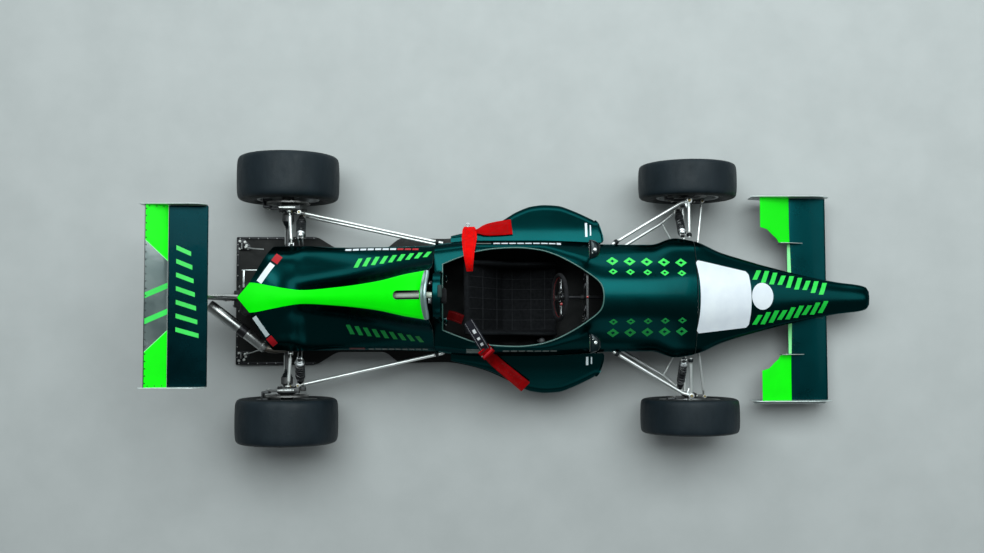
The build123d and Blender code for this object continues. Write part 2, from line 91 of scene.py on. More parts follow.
# ---------------------------------------------------------------- mesh helpers
def W(a):
    a = np.array(a, float)
    a[..., 0] -= S
    return a / 1000.0


def smooth(xs, ys):
    """Monotone cubic through the points."""
    xs, ys = np.asarray(xs, float), np.asarray(ys, float)
    h = np.diff(xs)
    d = np.diff(ys) / h
    m = np.zeros_like(ys)
    m[0], m[-1] = d[0], d[-1]
    for i in range(1, len(xs) - 1):
        if d[i - 1] * d[i] > 0:
            w1, w2 = 2 * h[i] + h[i - 1], h[i] + 2 * h[i - 1]
            m[i] = (w1 + w2) / (w1 / d[i - 1] + w2 / d[i])

    def f(x):
        x = np.clip(np.asarray(x, float), xs[0], xs[-1])
        i = np.clip(np.searchsorted(xs, x, side="right") - 1, 0, len(xs) - 2)
        t = (x - xs[i]) / h[i]
        return ((1 + 2 * t) * (1 - t) ** 2 * ys[i] + t * (1 - t) ** 2 * h[i] * m[i]
                + t * t * (3 - 2 * t) * ys[i + 1] + t * t * (t - 1) * h[i] * m[i + 1])
    return f


def rounded(pts, cut, n=6, extra=2):
    """Polyline with each inner corner turned into a parabola; cut is the share of both sides taken.
    Returns the points and the index of each corner's middle."""
    pts = np.asarray(pts, float)
    if np.isscalar(cut):
        cut = [cut] * len(pts)
    out, mids = [pts[0]], {}
    last = 0.0
    for i in range(1, len(pts) - 1):
        a = pts[i] + cut[i] * (pts[i - 1] - pts[i])
        b = pts[i] + cut[i] * (pts[i + 1] - pts[i])
        if last + cut[i] < 0.9:
            for k in range(1, extra + 1):
                out.append(out[-1] + (a - out[-1]) * (1 / (extra + 2 - k)))
        first = len(out)
        for k in range(n + 1):
            t = k / n
            out.append((1 - t) ** 2 * a + 2 * t * (1 - t) * pts[i] + t * t * b)
        mids[i] = first + n // 2
        last = cut[i]
    if last < 0.9:
        for k in range(1, extra + 1):
            out.append(out[-1] + (pts[-1] - out[-1]) * (1 / (extra + 2 - k)))
    out.append(pts[-1])
    return np.array(out), mids


def grid_faces(rows, cols, closed=False, mask=None):
    out = []
    for i in range(rows - 1):
        for j in range(cols if closed else cols - 1):
            if mask is not None and not mask(i, j):
                continue
            k = (j + 1) % cols
            out.append((i * cols + j, (i + 1) * cols + j, (i + 1) * cols + k, i * cols + k))
    return out


def weld(V, F, M, tol=1e-3):
    key = np.round(V / tol).astype(np.int64)
    _, first, inv = np.unique(key, axis=0, return_index=True, return_inverse=True)
    inv = inv.ravel()
    NF, NM = [], []
    for f, m in zip(F, M):
        g = []
        for i in f:
            j = int(inv[i])
            if not g or g[-1] != j:
                g.append(j)
        if len(g) > 1 and g[0] == g[-1]:
            g.pop()
        if len(g) >= 3 and len(set(g)) == len(g):
            NF.append(tuple(g))
            NM.append(m)
    return V[first], NF, NM


def vertex_normals(V, F):
    n = np.zeros_like(V)
    for f in F:
        p = V[list(f)]
        c = np.zeros(3)
        for k in range(len(f)):
            c += np.cross(p[k], p[(k + 1) % len(f)])
        n[list(f)] += c
    L = np.linalg.norm(n, axis=1)
    L[L < 1e-12] = 1
    return n / L[:, None]


def frames_along(P, closed=False):
    """Unit tangent and two normals at each point of a path, with no twist."""
    P = np.asarray(P, float)
    if closed:
        T = np.roll(P, -1, 0) - np.roll(P, 1, 0)
    else:
        T = np.gradient(P, axis=0)
    T /= np.linalg.norm(T, axis=1)[:, None]
    a = np.array([0, 0, 1.0]) if abs(T[0][2]) < 0.9 else np.array([1.0, 0, 0])
    u = np.cross(T[0], a)
    u /= np.linalg.norm(u)
    U = [u]
    for k in range(1, len(P)):
        u = U[-1] - T[k] * np.dot(U[-1], T[k])
        U.append(u / np.linalg.norm(u))
    U = np.array(U)
    return T, U, np.cross(T, U)


class Piece:
    """Gathers geometry in millimetres, then becomes one object that rides on a body."""

    def __init__(self, name):
        self.name, self.V, self.F, self.M, self.mats = name, [], [], [], []
        self.count = 0

    def mat(self, m):
        if m not in self.mats:
            self.mats.append(m)
        return self.mats.index(m)

    def add(self, V, F, mat):
        V = np.asarray(V, float).reshape(-1, 3)
        idx = mat if isinstance(mat, (list, tuple)) else [mat] * len(F)
        self.V.append(V)
        self.F += [tuple(int(i) + self.count for i in f) for f in F]
        self.M += [self.mat(m) for m in idx]
        self.count += len(V)
        return self

    def mirror(self):
        """Adds the same again on the other side of the car."""
        V = np.concatenate(self.V)
        n = len(V)
        V2 = V * np.array([1, -1, 1.0])
        self.F += [tuple(i + n for i in reversed(f)) for f in self.F]
        self.M += list(self.M)
        self.V = [V, V2]
        self.count = 2 * n
        return self

    def move(self, M4):
        V = np.concatenate(self.V)
        R = np.array(M4)
        self.V = [V @ R[:3, :3].T + R[:3, 3]]
        return self

    def join(self, other, M4=None):
        V = np.concatenate(other.V)
        if M4 is not None:
            R = np.array(M4)
            V = V @ R[:3, :3].T + R[:3, 3]
        return self.add(V, other.F, [other.mats[i] for i in other.M])

    def grid(self, G, mat, closed=False, mask=None, core=None, flip=False):
        G = np.asarray(G, float)
        R, C = G.shape[:2]
        F = grid_faces(R, C, closed, mask)
        V = G.reshape(-1, 3)
        if core is not None:
            n = vertex_normals(V, F)
            if (n * (V - np.asarray(core, float))).sum() < 0:
                flip = not flip
        if flip:
            F = [tuple(reversed(f)) for f in F]
        return self.add(V, F, mat)

    def shell(self, G, t, mat, inner=None, edge=None, closed=False, mask=None, core=(0, 200), by_face=None):
        """Closed panel of thickness t behind a grid of points; core is (y, z) of what lies behind it."""
        G = np.asarray(G, float)
        R, C = G.shape[:2]
        F, M = [], []
        for i in range(R - 1):
            for j in range(C if closed else C - 1):
                if mask is not None and not mask(i, j):
                    continue
                k = (j + 1) % C
                F.append((i * C + j, (i + 1) * C + j, (i + 1) * C + k, i * C + k))
                M.append(by_face(i, j) if by_face else mat)
        V, F, M = weld(G.reshape(-1, 3), F, M)
        n = vertex_normals(V, F)
        out = V - np.array([0, core[0], core[1]])
        out[:, 0] = 0
        if (n * out).sum() < 0:
            F = [tuple(reversed(f)) for f in F]
            n = -n
        N = len(V)
        directed = {}
        for f in F:
            for a, b in zip(f, f[1:] + f[:1]):
                directed[(a, b)] = True
        sides = [(b, a, a + N, b + N) for (a, b) in directed if (b, a) not in directed]
        back = [tuple(i + N for i in reversed(f)) for f in F]
        allV = np.concatenate([V, V - n * t])
        return self.add(allV, F + back + sides, M + [inner or mat] * len(back) + [edge or mat] * len(sides))

    def tube(self, P, r, mat, n=14, closed=False, caps=True):
        P = np.asarray(P, float)
        r = np.broadcast_to(np.asarray(r, float), (len(P),))
        T, U, B = frames_along(P, closed)
        a = np.linspace(0, 2 * math.pi, n, endpoint=False)
        G = P[:, None] + r[:, None, None] * (np.cos(a)[None, :, None] * U[:, None] + np.sin(a)[None, :, None] * B[:, None])
        V = G.reshape(-1, 3)
        F = [tuple(reversed(f)) for f in grid_faces(len(P), n, True)]
        if closed:
            k = len(P) - 1
            for j in range(n):
                F.append((k * n + (j + 1) % n, (j + 1) % n, j, k * n + j))
            # the last ring meets the first with the smallest turn
            best = min(range(n), key=lambda s: sum(np.linalg.norm(G[k][(j + s) % n] - G[0][j]) for j in range(0, n, 3)))
            if best:
                F = F[:-n]
                for j in range(n):
                    F.append((k * n + (j + 1 + best) % n, (j + 1) % n, j, k * n + (j + best) % n))
        elif caps:
            F.append(tuple(range(n - 1, -1, -1)))
            F.append(tuple((len(P) - 1) * n + j for j in range(n)))
        return self.add(V, F, mat)

    def bend(self, pts, r, mat, n=14, cut=0.3, steps=6):
        P, _ = rounded(pts, cut, steps, 1)
        keep = [0] + [i for i in range(1, len(P)) if np.linalg.norm(P[i] - P[i - 1]) > 1e-6]
        return self.tube(P[keep], r, mat, n)

    def rev(self, prof, at, axis, mat, n=48, ref=None):
        """Closed or open profile of (radius, along) turned about the axis through at."""
        at, ax = np.asarray(at, float), np.asarray(axis, float)
        ax = ax / np.linalg.norm(ax)
        ref = np.asarray(ref, float) if ref is not None else (np.array([0, 0, 1.0]) if abs(ax[2]) < 0.9 else np.array([1.0, 0, 0]))
        u = ref - ax * np.dot(ref, ax)
        u /= np.linalg.norm(u)
        v = np.cross(ax, u)
        prof = np.asarray(prof, float)
        a = np.linspace(0, 2 * math.pi, n, endpoint=False)
        D = np.cos(a)[:, None] * u + np.sin(a)[:, None] * v
        G = at + prof[:, None, 1, None] * ax + prof[:, None, 0, None] * D[None]
        mm = mat
        V, F, M = G.reshape(-1, 3), grid_faces(len(prof), n, True), None
        if isinstance(mat, (list, tuple)):
            M = [m for m in mat for _ in range(n)]
        else:
            M = [mm] * len(F)
        turn = sum(p[0] * q[1] - q[0] * p[1] for p, q in zip(prof, np.roll(prof, -1, 0)))
        if turn > 0:
            F = [tuple(reversed(f)) for f in F]
        V, F, M = weld(V, F, M)
        return self.add(V, F, M)

    def box(self, x0, x1, y0, y1, z0, z1, mat, r=2.0, M4=None):
        r = min(r, (x1 - x0) * 0.45, (y1 - y0) * 0.45, (z1 - z0) * 0.45)
        bm = bmesh.new()
        bmesh.ops.create_cube(bm, size=1.0)
        for v in bm.verts:
            v.co = Vector(((x0 + x1) / 2 + v.co.x * (x1 - x0), (y0 + y1) / 2 + v.co.y * (y1 - y0), (z0 + z1) / 2 + v.co.z * (z1 - z0)))
        if r > 0:
            bmesh.ops.bevel(bm, geom=bm.edges[:], offset=r, segments=3, profile=0.5, affect="EDGES")
        V = np.array([tuple(v.co) for v in bm.verts])
        F = [tuple(v.index for v in f.verts) for f in bm.faces]
        bm.free()
        if M4 is not None:
            R = np.array(M4)
            V = V @ R[:3, :3].T + R[:3, 3]
        return self.add(V, F, mat)

    def prism(self, outline, axis, a0, a1, mat, r=0.0, seg=2, M4=None):
        """Flat plate from an outline; axis 'x' takes (y, z), 'y' takes (x, z), 'z' takes (x, y)."""
        def place(p, a):
            return {"x": (a, p[0], p[1]), "y": (p[0], a, p[1]), "z": (p[0], p[1], a)}[axis]
        bm = bmesh.new()
        lo = [bm.verts.new(place(p, a0)) for p in outline]
        hi = [bm.verts.new(place(p, a1)) for p in outline]
        n = len(outline)
        bm.faces.new(lo[::-1])
        bm.faces.new(hi)
        for i in range(n):
            bm.faces.new((lo[i], lo[(i + 1) % n], hi[(i + 1) % n], hi[i]))
        bmesh.ops.recalc_face_normals(bm, faces=bm.faces[:])
        if r > 0:
            rim = [e for e in bm.edges if (e.verts[0] in lo) == (e.verts[1] in lo)]
            bmesh.ops.bevel(bm, geom=rim, offset=r, segments=seg, profile=0.5, affect="EDGES", clamp_overlap=True)
        bm.verts.index_update()
        V = np.array([tuple(v.co) for v in bm.verts])
        F = [tuple(v.index for v in f.verts) for f in bm.faces]
        bm.free()
        if M4 is not None:
            R = np.array(M4)
            V = V @ R[:3, :3].T + R[:3, 3]
        return self.add(V, F, mat)

    def bolt(self, at, axis, mat, r=5.0, h=4.0, washer=None, hexed=True):
        """Hexagon or dome head on a washer."""
        at, ax = np.asarray(at, float), np.asarray(axis, float)
        ax = ax / np.linalg.norm(ax)
        if washer:
            self.rev([(0, 0), (r * 1.55, 0), (r * 1.55, h * 0.22), (r * 1.45, h * 0.3), (0, h * 0.3)], at, ax, washer, 16)
        if hexed:
            self.rev([(0, 0), (r * 1.1, 0), (r * 1.1, h * 0.8), (r * 0.95, h), (r * 0.5, h), (r * 0.42, h * 0.8), (0, h * 0.8)], at, ax, mat, 6)
        else:
            self.rev([(0, 0), (r, 0), (r * 0.97, h * 0.35), (r * 0.8, h * 0.75), (r * 0.5, h), (r * 0.36, h), (r * 0.3, h * 0.55), (0, h * 0.5)], at, ax, mat, 12)
        return self

    def tris(self):
        return sum(len(f) - 2 for f in self.F)

    def done(self, body="chassis", replaces=(), slot=None, sharp=38, merge=None):
        V = np.concatenate(self.V)
        me = bpy.data.meshes.new(self.name)
        me.from_pydata(W(V).tolist(), [], self.F)
        me.polygons.foreach_set("material_index", self.M)
        for m in self.mats:
            me.materials.append(MAT[m])
        me.update()
        if merge:
            bm = bmesh.new()
            bm.from_mesh(me)
            bmesh.ops.remove_doubles(bm, verts=bm.verts[:], dist=merge / 1000)
            bm.to_mesh(me)
            bm.free()
        me.polygons.foreach_set("use_smooth", [True] * len(me.polygons))
        me.set_sharp_from_angle(angle=math.radians(sharp))
        o = bpy.data.objects.new(self.name, me)
        SC.collection.objects.link(o)
        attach(o, body)
        if replaces:
            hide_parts(*([replaces] if isinstance(replaces, str) else replaces))
        TRIS[self.name] = self.tris()
        return o


TRIS = {}


def rot_about(at, axis, deg):
    a = Vector(at)
    return Matrix.Translation(a) @ Matrix.Rotation(math.radians(deg), 4, Vector(axis)) @ Matrix.Translation(-a)


def arc(cx, cy, r, a0, a1, n):
    return [(cx + r * math.cos(math.radians(a0 + (a1 - a0) * k / n)), cy + r * math.sin(math.radians(a0 + (a1 - a0) * k / n))) for k in range(n + 1)]


def round_outline(pts, r, n=4):
    """Closed outline with each corner rounded by r (one number or one for each corner)."""
    pts = [np.asarray(p, float) for p in pts]
    out = []
    for i, p in enumerate(pts):
        q = r[i] if isinstance(r, (list, tuple)) else r
        a, b = pts[i - 1] - p, pts[(i + 1) % len(pts)] - p
        la, lb = np.linalg.norm(a), np.linalg.norm(b)
        if q <= 0:
            out.append(tuple(p))
            continue
        d = min(q, la * 0.48, lb * 0.48)
        s, e = p + a / la * d, p + b / lb * d
        for k in range(n + 1):
            t = k / n
            out.append(tuple((1 - t) ** 2 * s + 2 * t * (1 - t) * p + t * t * e))
    return out


# ---------------------------------------------------------------- materials
MAT = {}


def node(nt, kind, **values):
    n = nt.nodes.new(kind)
    for k, v in values.items():
        if k in n.inputs.keys():
            n.inputs[k].default_value = v
        else:
            setattr(n, k, v)
    return n


def coords(nt, scale=(1, 1, 1), at=(0, 0, 0), rot=(0, 0, 0)):
    tc = node(nt, "ShaderNodeTexCoord")
    mp = node(nt, "ShaderNodeMapping")
    mp.inputs["Scale"].default_value = scale
    mp.inputs["Location"].default_value = at
    mp.inputs["Rotation"].default_value = rot
    nt.links.new(tc.outputs["Object"], mp.inputs["Vector"])
    return mp.outputs["Vector"]


def noise(nt, vec, scale, detail=4.0, rough=0.55, distort=0.0):
    n = node(nt, "ShaderNodeTexNoise")
    n.inputs["Scale"].default_value = scale
    n.inputs["Detail"].default_value = detail
    n.inputs["Roughness"].default_value = rough
    n.inputs["Distortion"].default_value = distort
    nt.links.new(vec, n.inputs["Vector"])
    return n.outputs["Fac"]


def remap(nt, fac, a, b, lo, hi):
    n = node(nt, "ShaderNodeMapRange")
    n.inputs["From Min"].default_value = a
    n.inputs["From Max"].default_value = b
    n.inputs["To Min"].default_value = lo
    n.inputs["To Max"].default_value = hi
    nt.links.new(fac, n.inputs["Value"])
    return n.outputs["Result"]


def mix(nt, fac, c1, c2):
    n = node(nt, "ShaderNodeMix", data_type="RGBA")
    for sock, c in ((n.inputs[6], c1), (n.inputs[7], c2)):
        if isinstance(c, tuple):
            sock.default_value = (*c, 1) if len(c) == 3 else c
        else:
            nt.links.new(c, sock)
    if isinstance(fac, (int, float)):
        n.inputs[0].default_value = fac
    else:
        nt.links.new(fac, n.inputs[0])
    return n.outputs[2]


def times(nt, a, b, op="MULTIPLY"):
    n = node(nt, "ShaderNodeMath", operation=op)
    for k, v in enumerate((a, b)):
        if isinstance(v, (int, float)):
            n.inputs[k].default_value = v
        else:
            nt.links.new(v, n.inputs[k])
    return n.outputs[0]


def bump(nt, height, strength, distance, under=None):
    n = node(nt, "ShaderNodeBump")
    n.inputs["Strength"].default_value = strength
    n.inputs["Distance"].default_value = distance
    nt.links.new(height, n.inputs["Height"])
    if under is not None:
        nt.links.new(under, n.inputs["Normal"])
    return n.outputs["Normal"]


def surface(name, c1, c2, mottling=6.0, rough=(0.3, 0.45), rough_scale=14.0, metal=0.0, coat=0.0, coat_rough=0.04,
            grain=None, second=None, dust=0.0, dust_top=0.45, stretch=(1, 1, 1), spec=0.5, sheen=0.0, emit=None, contrast=(0.35, 0.65),
            wave=None, at=(0, 0, 0), rot=(0, 0, 0), scratches=0.0, flakes=0.0, edge=None):
    """One finish: two colours mottled by noise, roughness that varies, and relief.
    grain and second are (scale, strength, depth in metres); wave is (kind, pitch in metres, strength, depth)."""
    m = bpy.data.materials.new(name)
    m.use_nodes = True
    nt = m.node_tree
    b = nt.nodes["Principled BSDF"]
    vec = coords(nt, stretch, at, rot)
    plain = coords(nt)
    fac = remap(nt, noise(nt, vec, mottling, 5), contrast[0], contrast[1], 0, 1)
    col = mix(nt, fac, c1, c2)
    rgh = remap(nt, noise(nt, vec, rough_scale, 6, 0.6), 0.3, 0.7, rough[0], rough[1])
    if flakes:
        v = node(nt, "ShaderNodeTexVoronoi")
        v.inputs["Scale"].default_value = 900
        nt.links.new(plain, v.inputs["Vector"])
        tint = mix(nt, 0.5, c2, (min(1, c2[0] * 1.8 + 0.01), min(1, c2[1] * 1.8), min(1, c2[2] * 1.8)))
        col = mix(nt, times(nt, v.outputs["Distance"], flakes), col, tint)
    if scratches:
        sv = coords(nt, (3, 160, 160), (0.13, 0.2, 0.1), (0.3, 0.2, 0.5))
        sc = remap(nt, noise(nt, sv, 2.0, 3, 0.7), 0.62, 0.7, 0, scratches)
        rgh = times(nt, rgh, sc, "ADD")
    if dust:
        xyz = node(nt, "ShaderNodeSeparateXYZ")
        nt.links.new(plain, xyz.inputs[0])
        low = remap(nt, xyz.outputs["Z"], 0.03, dust_top, 1, 0)
        spots = remap(nt, noise(nt, plain, 30, 8, 0.7), 0.4, 0.75, 0.15, 1.0)
        d = times(nt, times(nt, low, spots), dust)
        col = mix(nt, d, col, (0.16, 0.145, 0.125))
        rgh = times(nt, rgh, times(nt, d, 0.6), "ADD")
    nt.links.new(col, b.inputs["Base Color"])
    nt.links.new(rgh, b.inputs["Roughness"])
    b.inputs["Metallic"].default_value = metal
    b.inputs["Coat Weight"].default_value = coat
    b.inputs["Coat Roughness"].default_value = coat_rough
    b.inputs["Specular IOR Level"].default_value = spec
    if edge:
        b.inputs["Specular Tint"].default_value = (*edge, 1)
    if sheen:
        b.inputs["Sheen Weight"].default_value = sheen
        b.inputs["Sheen Roughness"].default_value = 0.4
    # emit makes the colour glow by itself: a painted glow, on parts that are no lamp
    if emit:
        nt.links.new(col, b.inputs["Emission Color"])
        b.inputs["Emission Strength"].default_value = emit
    normal = None
    if wave:
        kind, pitch, strength, depth = wave
        if kind == "weave":
            parts = []
            for ax in ("X", "Y", "Z"):
                w = node(nt, "ShaderNodeTexWave", wave_type="BANDS", bands_direction=ax)
                w.inputs["Scale"].default_value = 0.314 / pitch
                w.inputs["Distortion"].default_value = 0.15
                nt.links.new(vec, w.inputs["Vector"])
                parts.append(w.outputs["Fac"])
            h = times(nt, times(nt, parts[0], parts[1], "ADD"), parts[2], "ADD")
        else:
            w = node(nt, "ShaderNodeTexWave", wave_type="RINGS" if kind == "rings" else "BANDS")
            if kind == "rings":
                w.rings_direction = "Y"
            else:
                w.bands_direction = kind
            w.inputs["Scale"].default_value = 0.314 / pitch
            w.inputs["Distortion"].default_value = 0.3
            nt.links.new(vec, w.inputs["Vector"])
            h = w.outputs["Fac"]
        normal = bump(nt, h, strength, depth)
    if grain:
        normal = bump(nt, noise(nt, vec, grain[0], 6, 0.6), grain[1], grain[2], normal)
    if second:
        normal = bump(nt, noise(nt, plain, second[0], 3, 0.5), second[1], second[2], normal)
    if normal is not None:
        nt.links.new(normal, b.inputs["Normal"])
        if coat and (grain or second):
            nt.links.new(bump(nt, noise(nt, plain, 34, 2, 0.5), 0.10, 0.0015), b.inputs["Coat Normal"])
    MAT[name] = m
    return m


GREEN = dict(mottling=1.6, rough=(0.22, 0.28), rough_scale=5, metal=0.985, edge=(0.03, 0.40, 0.41), coat=0.025, coat_rough=0.03, grain=(160, 0.02, 0.0002), dust=0.03, dust_top=0.20, flakes=0.3)
surface("paint", (0.0003, 0.027, 0.0275), (0.0003, 0.034, 0.0355), **GREEN)
surface("paint_dark", (0.0004, 0.012, 0.014), (0.0004, 0.016, 0.018), **GREEN)
surface("wing_gloss", (0.0004, 0.013, 0.016), (0.0004, 0.017, 0.021), **{**GREEN, "dust": 0.0, "rough": (0.22, 0.32)})
surface("wing_teal", (0.0006, 0.034, 0.038), (0.0006, 0.042, 0.047), **{**GREEN, "dust": 0.0, "rough": (0.24, 0.34)})
surface("wing_dark", (0.006, 0.012, 0.013), (0.012, 0.020, 0.021), mottling=7, rough=(0.30, 0.44), coat=0.3, second=(140, 0.1, 0.0004))
surface("plate_dark", (0.012, 0.030, 0.030), (0.018, 0.040, 0.040), mottling=9, rough=(0.28, 0.40), coat=0.35, second=(160, 0.1, 0.0004))
surface("edge_alloy", (0.62, 0.68, 0.67), (0.72, 0.78, 0.77), mottling=24, rough=(0.30, 0.46), metal=0.5, grain=(300, 0.12, 0.0003))
surface("caliper", (0.040, 0.042, 0.045), (0.062, 0.064, 0.068), mottling=26, rough=(0.34, 0.5), metal=0.6, grain=(300, 0.25, 0.0005))
surface("bright_cap", (0.66, 0.69, 0.70), (0.76, 0.79, 0.80), mottling=22, rough=(0.22, 0.36), metal=0.7, grain=(300, 0.12, 0.0003))
surface("plate_pale", (0.44, 0.50, 0.49), (0.54, 0.60, 0.59), mottling=8, rough=(0.26, 0.40), metal=0.6, grain=(160, 0.12, 0.0005), scratches=0.2)
# the three neon greens carry emission: a painted glow, though they are no lamp
surface("neon_pale", (0.20, 0.78, 0.26), (0.24, 0.84, 0.30), mottling=9, rough=(0.38, 0.5), coat=0.2, coat_rough=0.15, emit=0.10, second=(300, 0.06, 0.0003))
surface("neon", (0.0, 0.62, 0.0), (0.0, 0.72, 0.0), mottling=3, rough=(0.42, 0.54), coat=0.05, coat_rough=0.12, spec=0.15, emit=0.30, second=(300, 0.06, 0.0003))
surface("neon_soft", (0.01, 0.52, 0.05), (0.012, 0.62, 0.06), mottling=9, rough=(0.38, 0.5), coat=0.2, coat_rough=0.15, emit=0.10, second=(300, 0.06, 0.0003))
surface("vinyl_white", (0.66, 0.69, 0.75), (0.74, 0.77, 0.81), mottling=8, rough=(0.32, 0.45), coat=0.3, coat_rough=0.1, second=(150, 0.08, 0.0004))
surface("vinyl_red", (0.34, 0.004, 0.010), (0.42, 0.006, 0.013), spec=0.25, mottling=20, rough=(0.35, 0.45), second=(200, 0.06, 0.0003))
surface("lip_grey", (0.26, 0.36, 0.36), (0.34, 0.45, 0.45), mottling=14, rough=(0.24, 0.38), metal=0.75, grain=(200, 0.08, 0.0004))
surface("lug_dark", (0.010, 0.022, 0.020), (0.015, 0.031, 0.028), mottling=14, rough=(0.50, 0.66), spec=0.25, second=(300, 0.10, 0.0003))
# light teal for the cockpit rim: a painted highlight of the rolled edge of the green paint
surface("rim_lip", (0.030, 0.095, 0.082), (0.045, 0.125, 0.108), mottling=14, rough=(0.26, 0.40), coat=0.4, second=(300, 0.08, 0.0003))
surface("wing_grey", (0.085, 0.115, 0.115), (0.125, 0.155, 0.15), mottling=5, rough=(0.14, 0.30), rough_scale=5, metal=0.55, coat=0.7, coat_rough=0.05, grain=(60, 0.08, 0.0006))
surface("trim", (0.055, 0.085, 0.08), (0.08, 0.11, 0.105), mottling=30, rough=(0.35, 0.5), second=(400, 0.12, 0.0003))
surface("inside_black", (0.0025, 0.003, 0.0035), (0.006, 0.0065, 0.007), mottling=12, rough=(0.5, 0.7), spec=0.25, grain=(260, 0.25, 0.0006))
surface("carbon", (0.006, 0.007, 0.008), (0.016, 0.018, 0.020), mottling=45, rough=(0.30, 0.45), wave=("weave", 0.004, 0.18, 0.0003), coat=0.35, coat_rough=0.12, dust=0.5, dust_top=0.35)
surface("floor_panel", (0.0035, 0.004, 0.004), (0.007, 0.008, 0.008), mottling=7, rough=(0.42, 0.62), grain=(120, 0.2, 0.0006), dust=0.04, dust_top=0.2, scratches=0.15, spec=0.2)
surface("black_paint", (0.008, 0.009, 0.010), (0.014, 0.015, 0.017), mottling=9, rough=(0.24, 0.38), coat=0.3, second=(160, 0.1, 0.0004))
surface("black_plastic", (0.012, 0.012, 0.013), (0.022, 0.022, 0.024), mottling=22, rough=(0.42, 0.6), grain=(420, 0.25, 0.0004))
surface("rubber", (0.005, 0.0075, 0.009), (0.009, 0.012, 0.014), mottling=16, rough=(0.50, 0.72), rough_scale=26, grain=(190, 0.35, 0.0011), second=(26, 0.18, 0.0030), spec=0.22)
surface("tread", (0.0038, 0.0085, 0.0125), (0.0070, 0.0130, 0.0180), mottling=11, rough=(0.46, 0.66), rough_scale=18, grain=(240, 0.45, 0.0014), second=(45, 0.25, 0.0030), stretch=(1, 0.4, 1), spec=0.24, dust=0.0)
surface("steel_tube", (0.62, 0.64, 0.63), (0.74, 0.75, 0.74), mottling=12, rough=(0.30, 0.38), metal=0.75, grain=(320, 0.04, 0.0002), scratches=0.1)
surface("zinc", (0.46, 0.47, 0.46), (0.60, 0.60, 0.58), mottling=60, rough=(0.28, 0.46), metal=1.0, grain=(500, 0.12, 0.0002))
surface("alloy", (0.40, 0.41, 0.42), (0.52, 0.53, 0.54), mottling=18, rough=(0.26, 0.42), metal=1.0, grain=(240, 0.12, 0.0004))
surface("cast_alloy", (0.22, 0.225, 0.23), (0.33, 0.335, 0.34), mottling=12, rough=(0.42, 0.62), metal=0.9, grain=(260, 0.4, 0.0010), dust=0.5, dust_top=0.5)
surface("rim_alloy", (0.30, 0.31, 0.32), (0.40, 0.41, 0.42), mottling=9, rough=(0.26, 0.40), metal=0.95, grain=(300, 0.16, 0.0005), dust=0.25, dust_top=0.6)
surface("rim_dark", (0.030, 0.032, 0.035), (0.050, 0.053, 0.057), mottling=11, rough=(0.34, 0.5), metal=0.4, coat=0.3, grain=(300, 0.2, 0.0006), dust=0.25, dust_top=0.6)
surface("iron_dark", (0.050, 0.052, 0.055), (0.090, 0.090, 0.090), mottling=14, rough=(0.40, 0.62), metal=0.75, grain=(200, 0.45, 0.0012))
surface("engine_cast", (0.10, 0.105, 0.11), (0.17, 0.17, 0.175), mottling=13, rough=(0.42, 0.6), metal=0.8, grain=(180, 0.5, 0.0014))
surface("anodised_black", (0.014, 0.014, 0.016), (0.026, 0.026, 0.029), mottling=40, rough=(0.28, 0.4), metal=0.7, second=(500, 0.1, 0.0002))
surface("spring_black", (0.012, 0.013, 0.015), (0.026, 0.027, 0.030), mottling=30, rough=(0.26, 0.38), coat=0.4, second=(300, 0.12, 0.0003))
surface("silencer", (0.30, 0.31, 0.31), (0.46, 0.47, 0.46), mottling=5, rough=(0.22, 0.40), metal=1.0, grain=(90, 0.1, 0.0008), scratches=0.25, stretch=(1, 1, 1))
surface("hot_steel", (0.16, 0.13, 0.10), (0.34, 0.31, 0.29), mottling=9, rough=(0.30, 0.50), metal=1.0, grain=(160, 0.2, 0.0006))
surface("web_red", (0.60, 0.0015, 0.0015), (0.74, 0.003, 0.0025), mottling=30, rough=(0.62, 0.78), wave=("weave", 0.0024, 0.5, 0.0006), spec=0.03, grain=(700, 0.2, 0.0003))
# the three darker reds below are the same red webbing with painted shade: half shade, shade and deep shade
surface("web_red_dark", (0.17, 0.0008, 0.0015), (0.23, 0.001, 0.002), mottling=30, rough=(0.62, 0.78), wave=("weave", 0.0024, 0.5, 0.0006), spec=0.03, grain=(700, 0.2, 0.0003))
surface("web_red_mid", (0.40, 0.0015, 0.002), (0.50, 0.002, 0.003), mottling=30, rough=(0.62, 0.78), wave=("weave", 0.0024, 0.5, 0.0006), spec=0.03, grain=(700, 0.2, 0.0003))
surface("web_red_deep", (0.05, 0.0008, 0.001), (0.075, 0.001, 0.0015), mottling=30, rough=(0.62, 0.78), wave=("weave", 0.0024, 0.5, 0.0006), spec=0.03, grain=(700, 0.2, 0.0003))
surface("web_black", (0.004, 0.004, 0.008), (0.009, 0.009, 0.014), mottling=30, rough=(0.62, 0.78), wave=("weave", 0.0024, 0.5, 0.0006), spec=0.15, grain=(700, 0.2, 0.0003))
surface("thread_light", (0.40, 0.40, 0.42), (0.55, 0.55, 0.56), mottling=200, rough=(0.6, 0.8), second=(900, 0.3, 0.0003))
surface("thread_red", (0.14, 0.001, 0.001), (0.20, 0.0015, 0.0015), mottling=200, rough=(0.6, 0.8), second=(900, 0.3, 0.0003))
surface("seat_cloth", (0.0035, 0.004, 0.005), (0.008, 0.0085, 0.010), mottling=60, rough=(0.75, 0.92), wave=("weave", 0.003, 0.35, 0.0008), spec=0.12, grain=(500, 0.3, 0.0005))
surface("suede", (0.006, 0.006, 0.007), (0.013, 0.013, 0.015), mottling=70, rough=(0.8, 0.95), spec=0.2, grain=(900, 0.4, 0.0004))
surface("bronze_bolt", (0.20, 0.16, 0.08), (0.34, 0.27, 0.13), mottling=80, rough=(0.34, 0.5), metal=1.0, second=(400, 0.15, 0.0003))
surface("gauge_face", (0.010, 0.010, 0.011), (0.016, 0.016, 0.018), mottling=60, rough=(0.5, 0.6), second=(500, 0.1, 0.0002))
surface("gauge_white", (0.70, 0.70, 0.68), (0.78, 0.78, 0.76), mottling=60, rough=(0.5, 0.6), second=(500, 0.1, 0.0002))
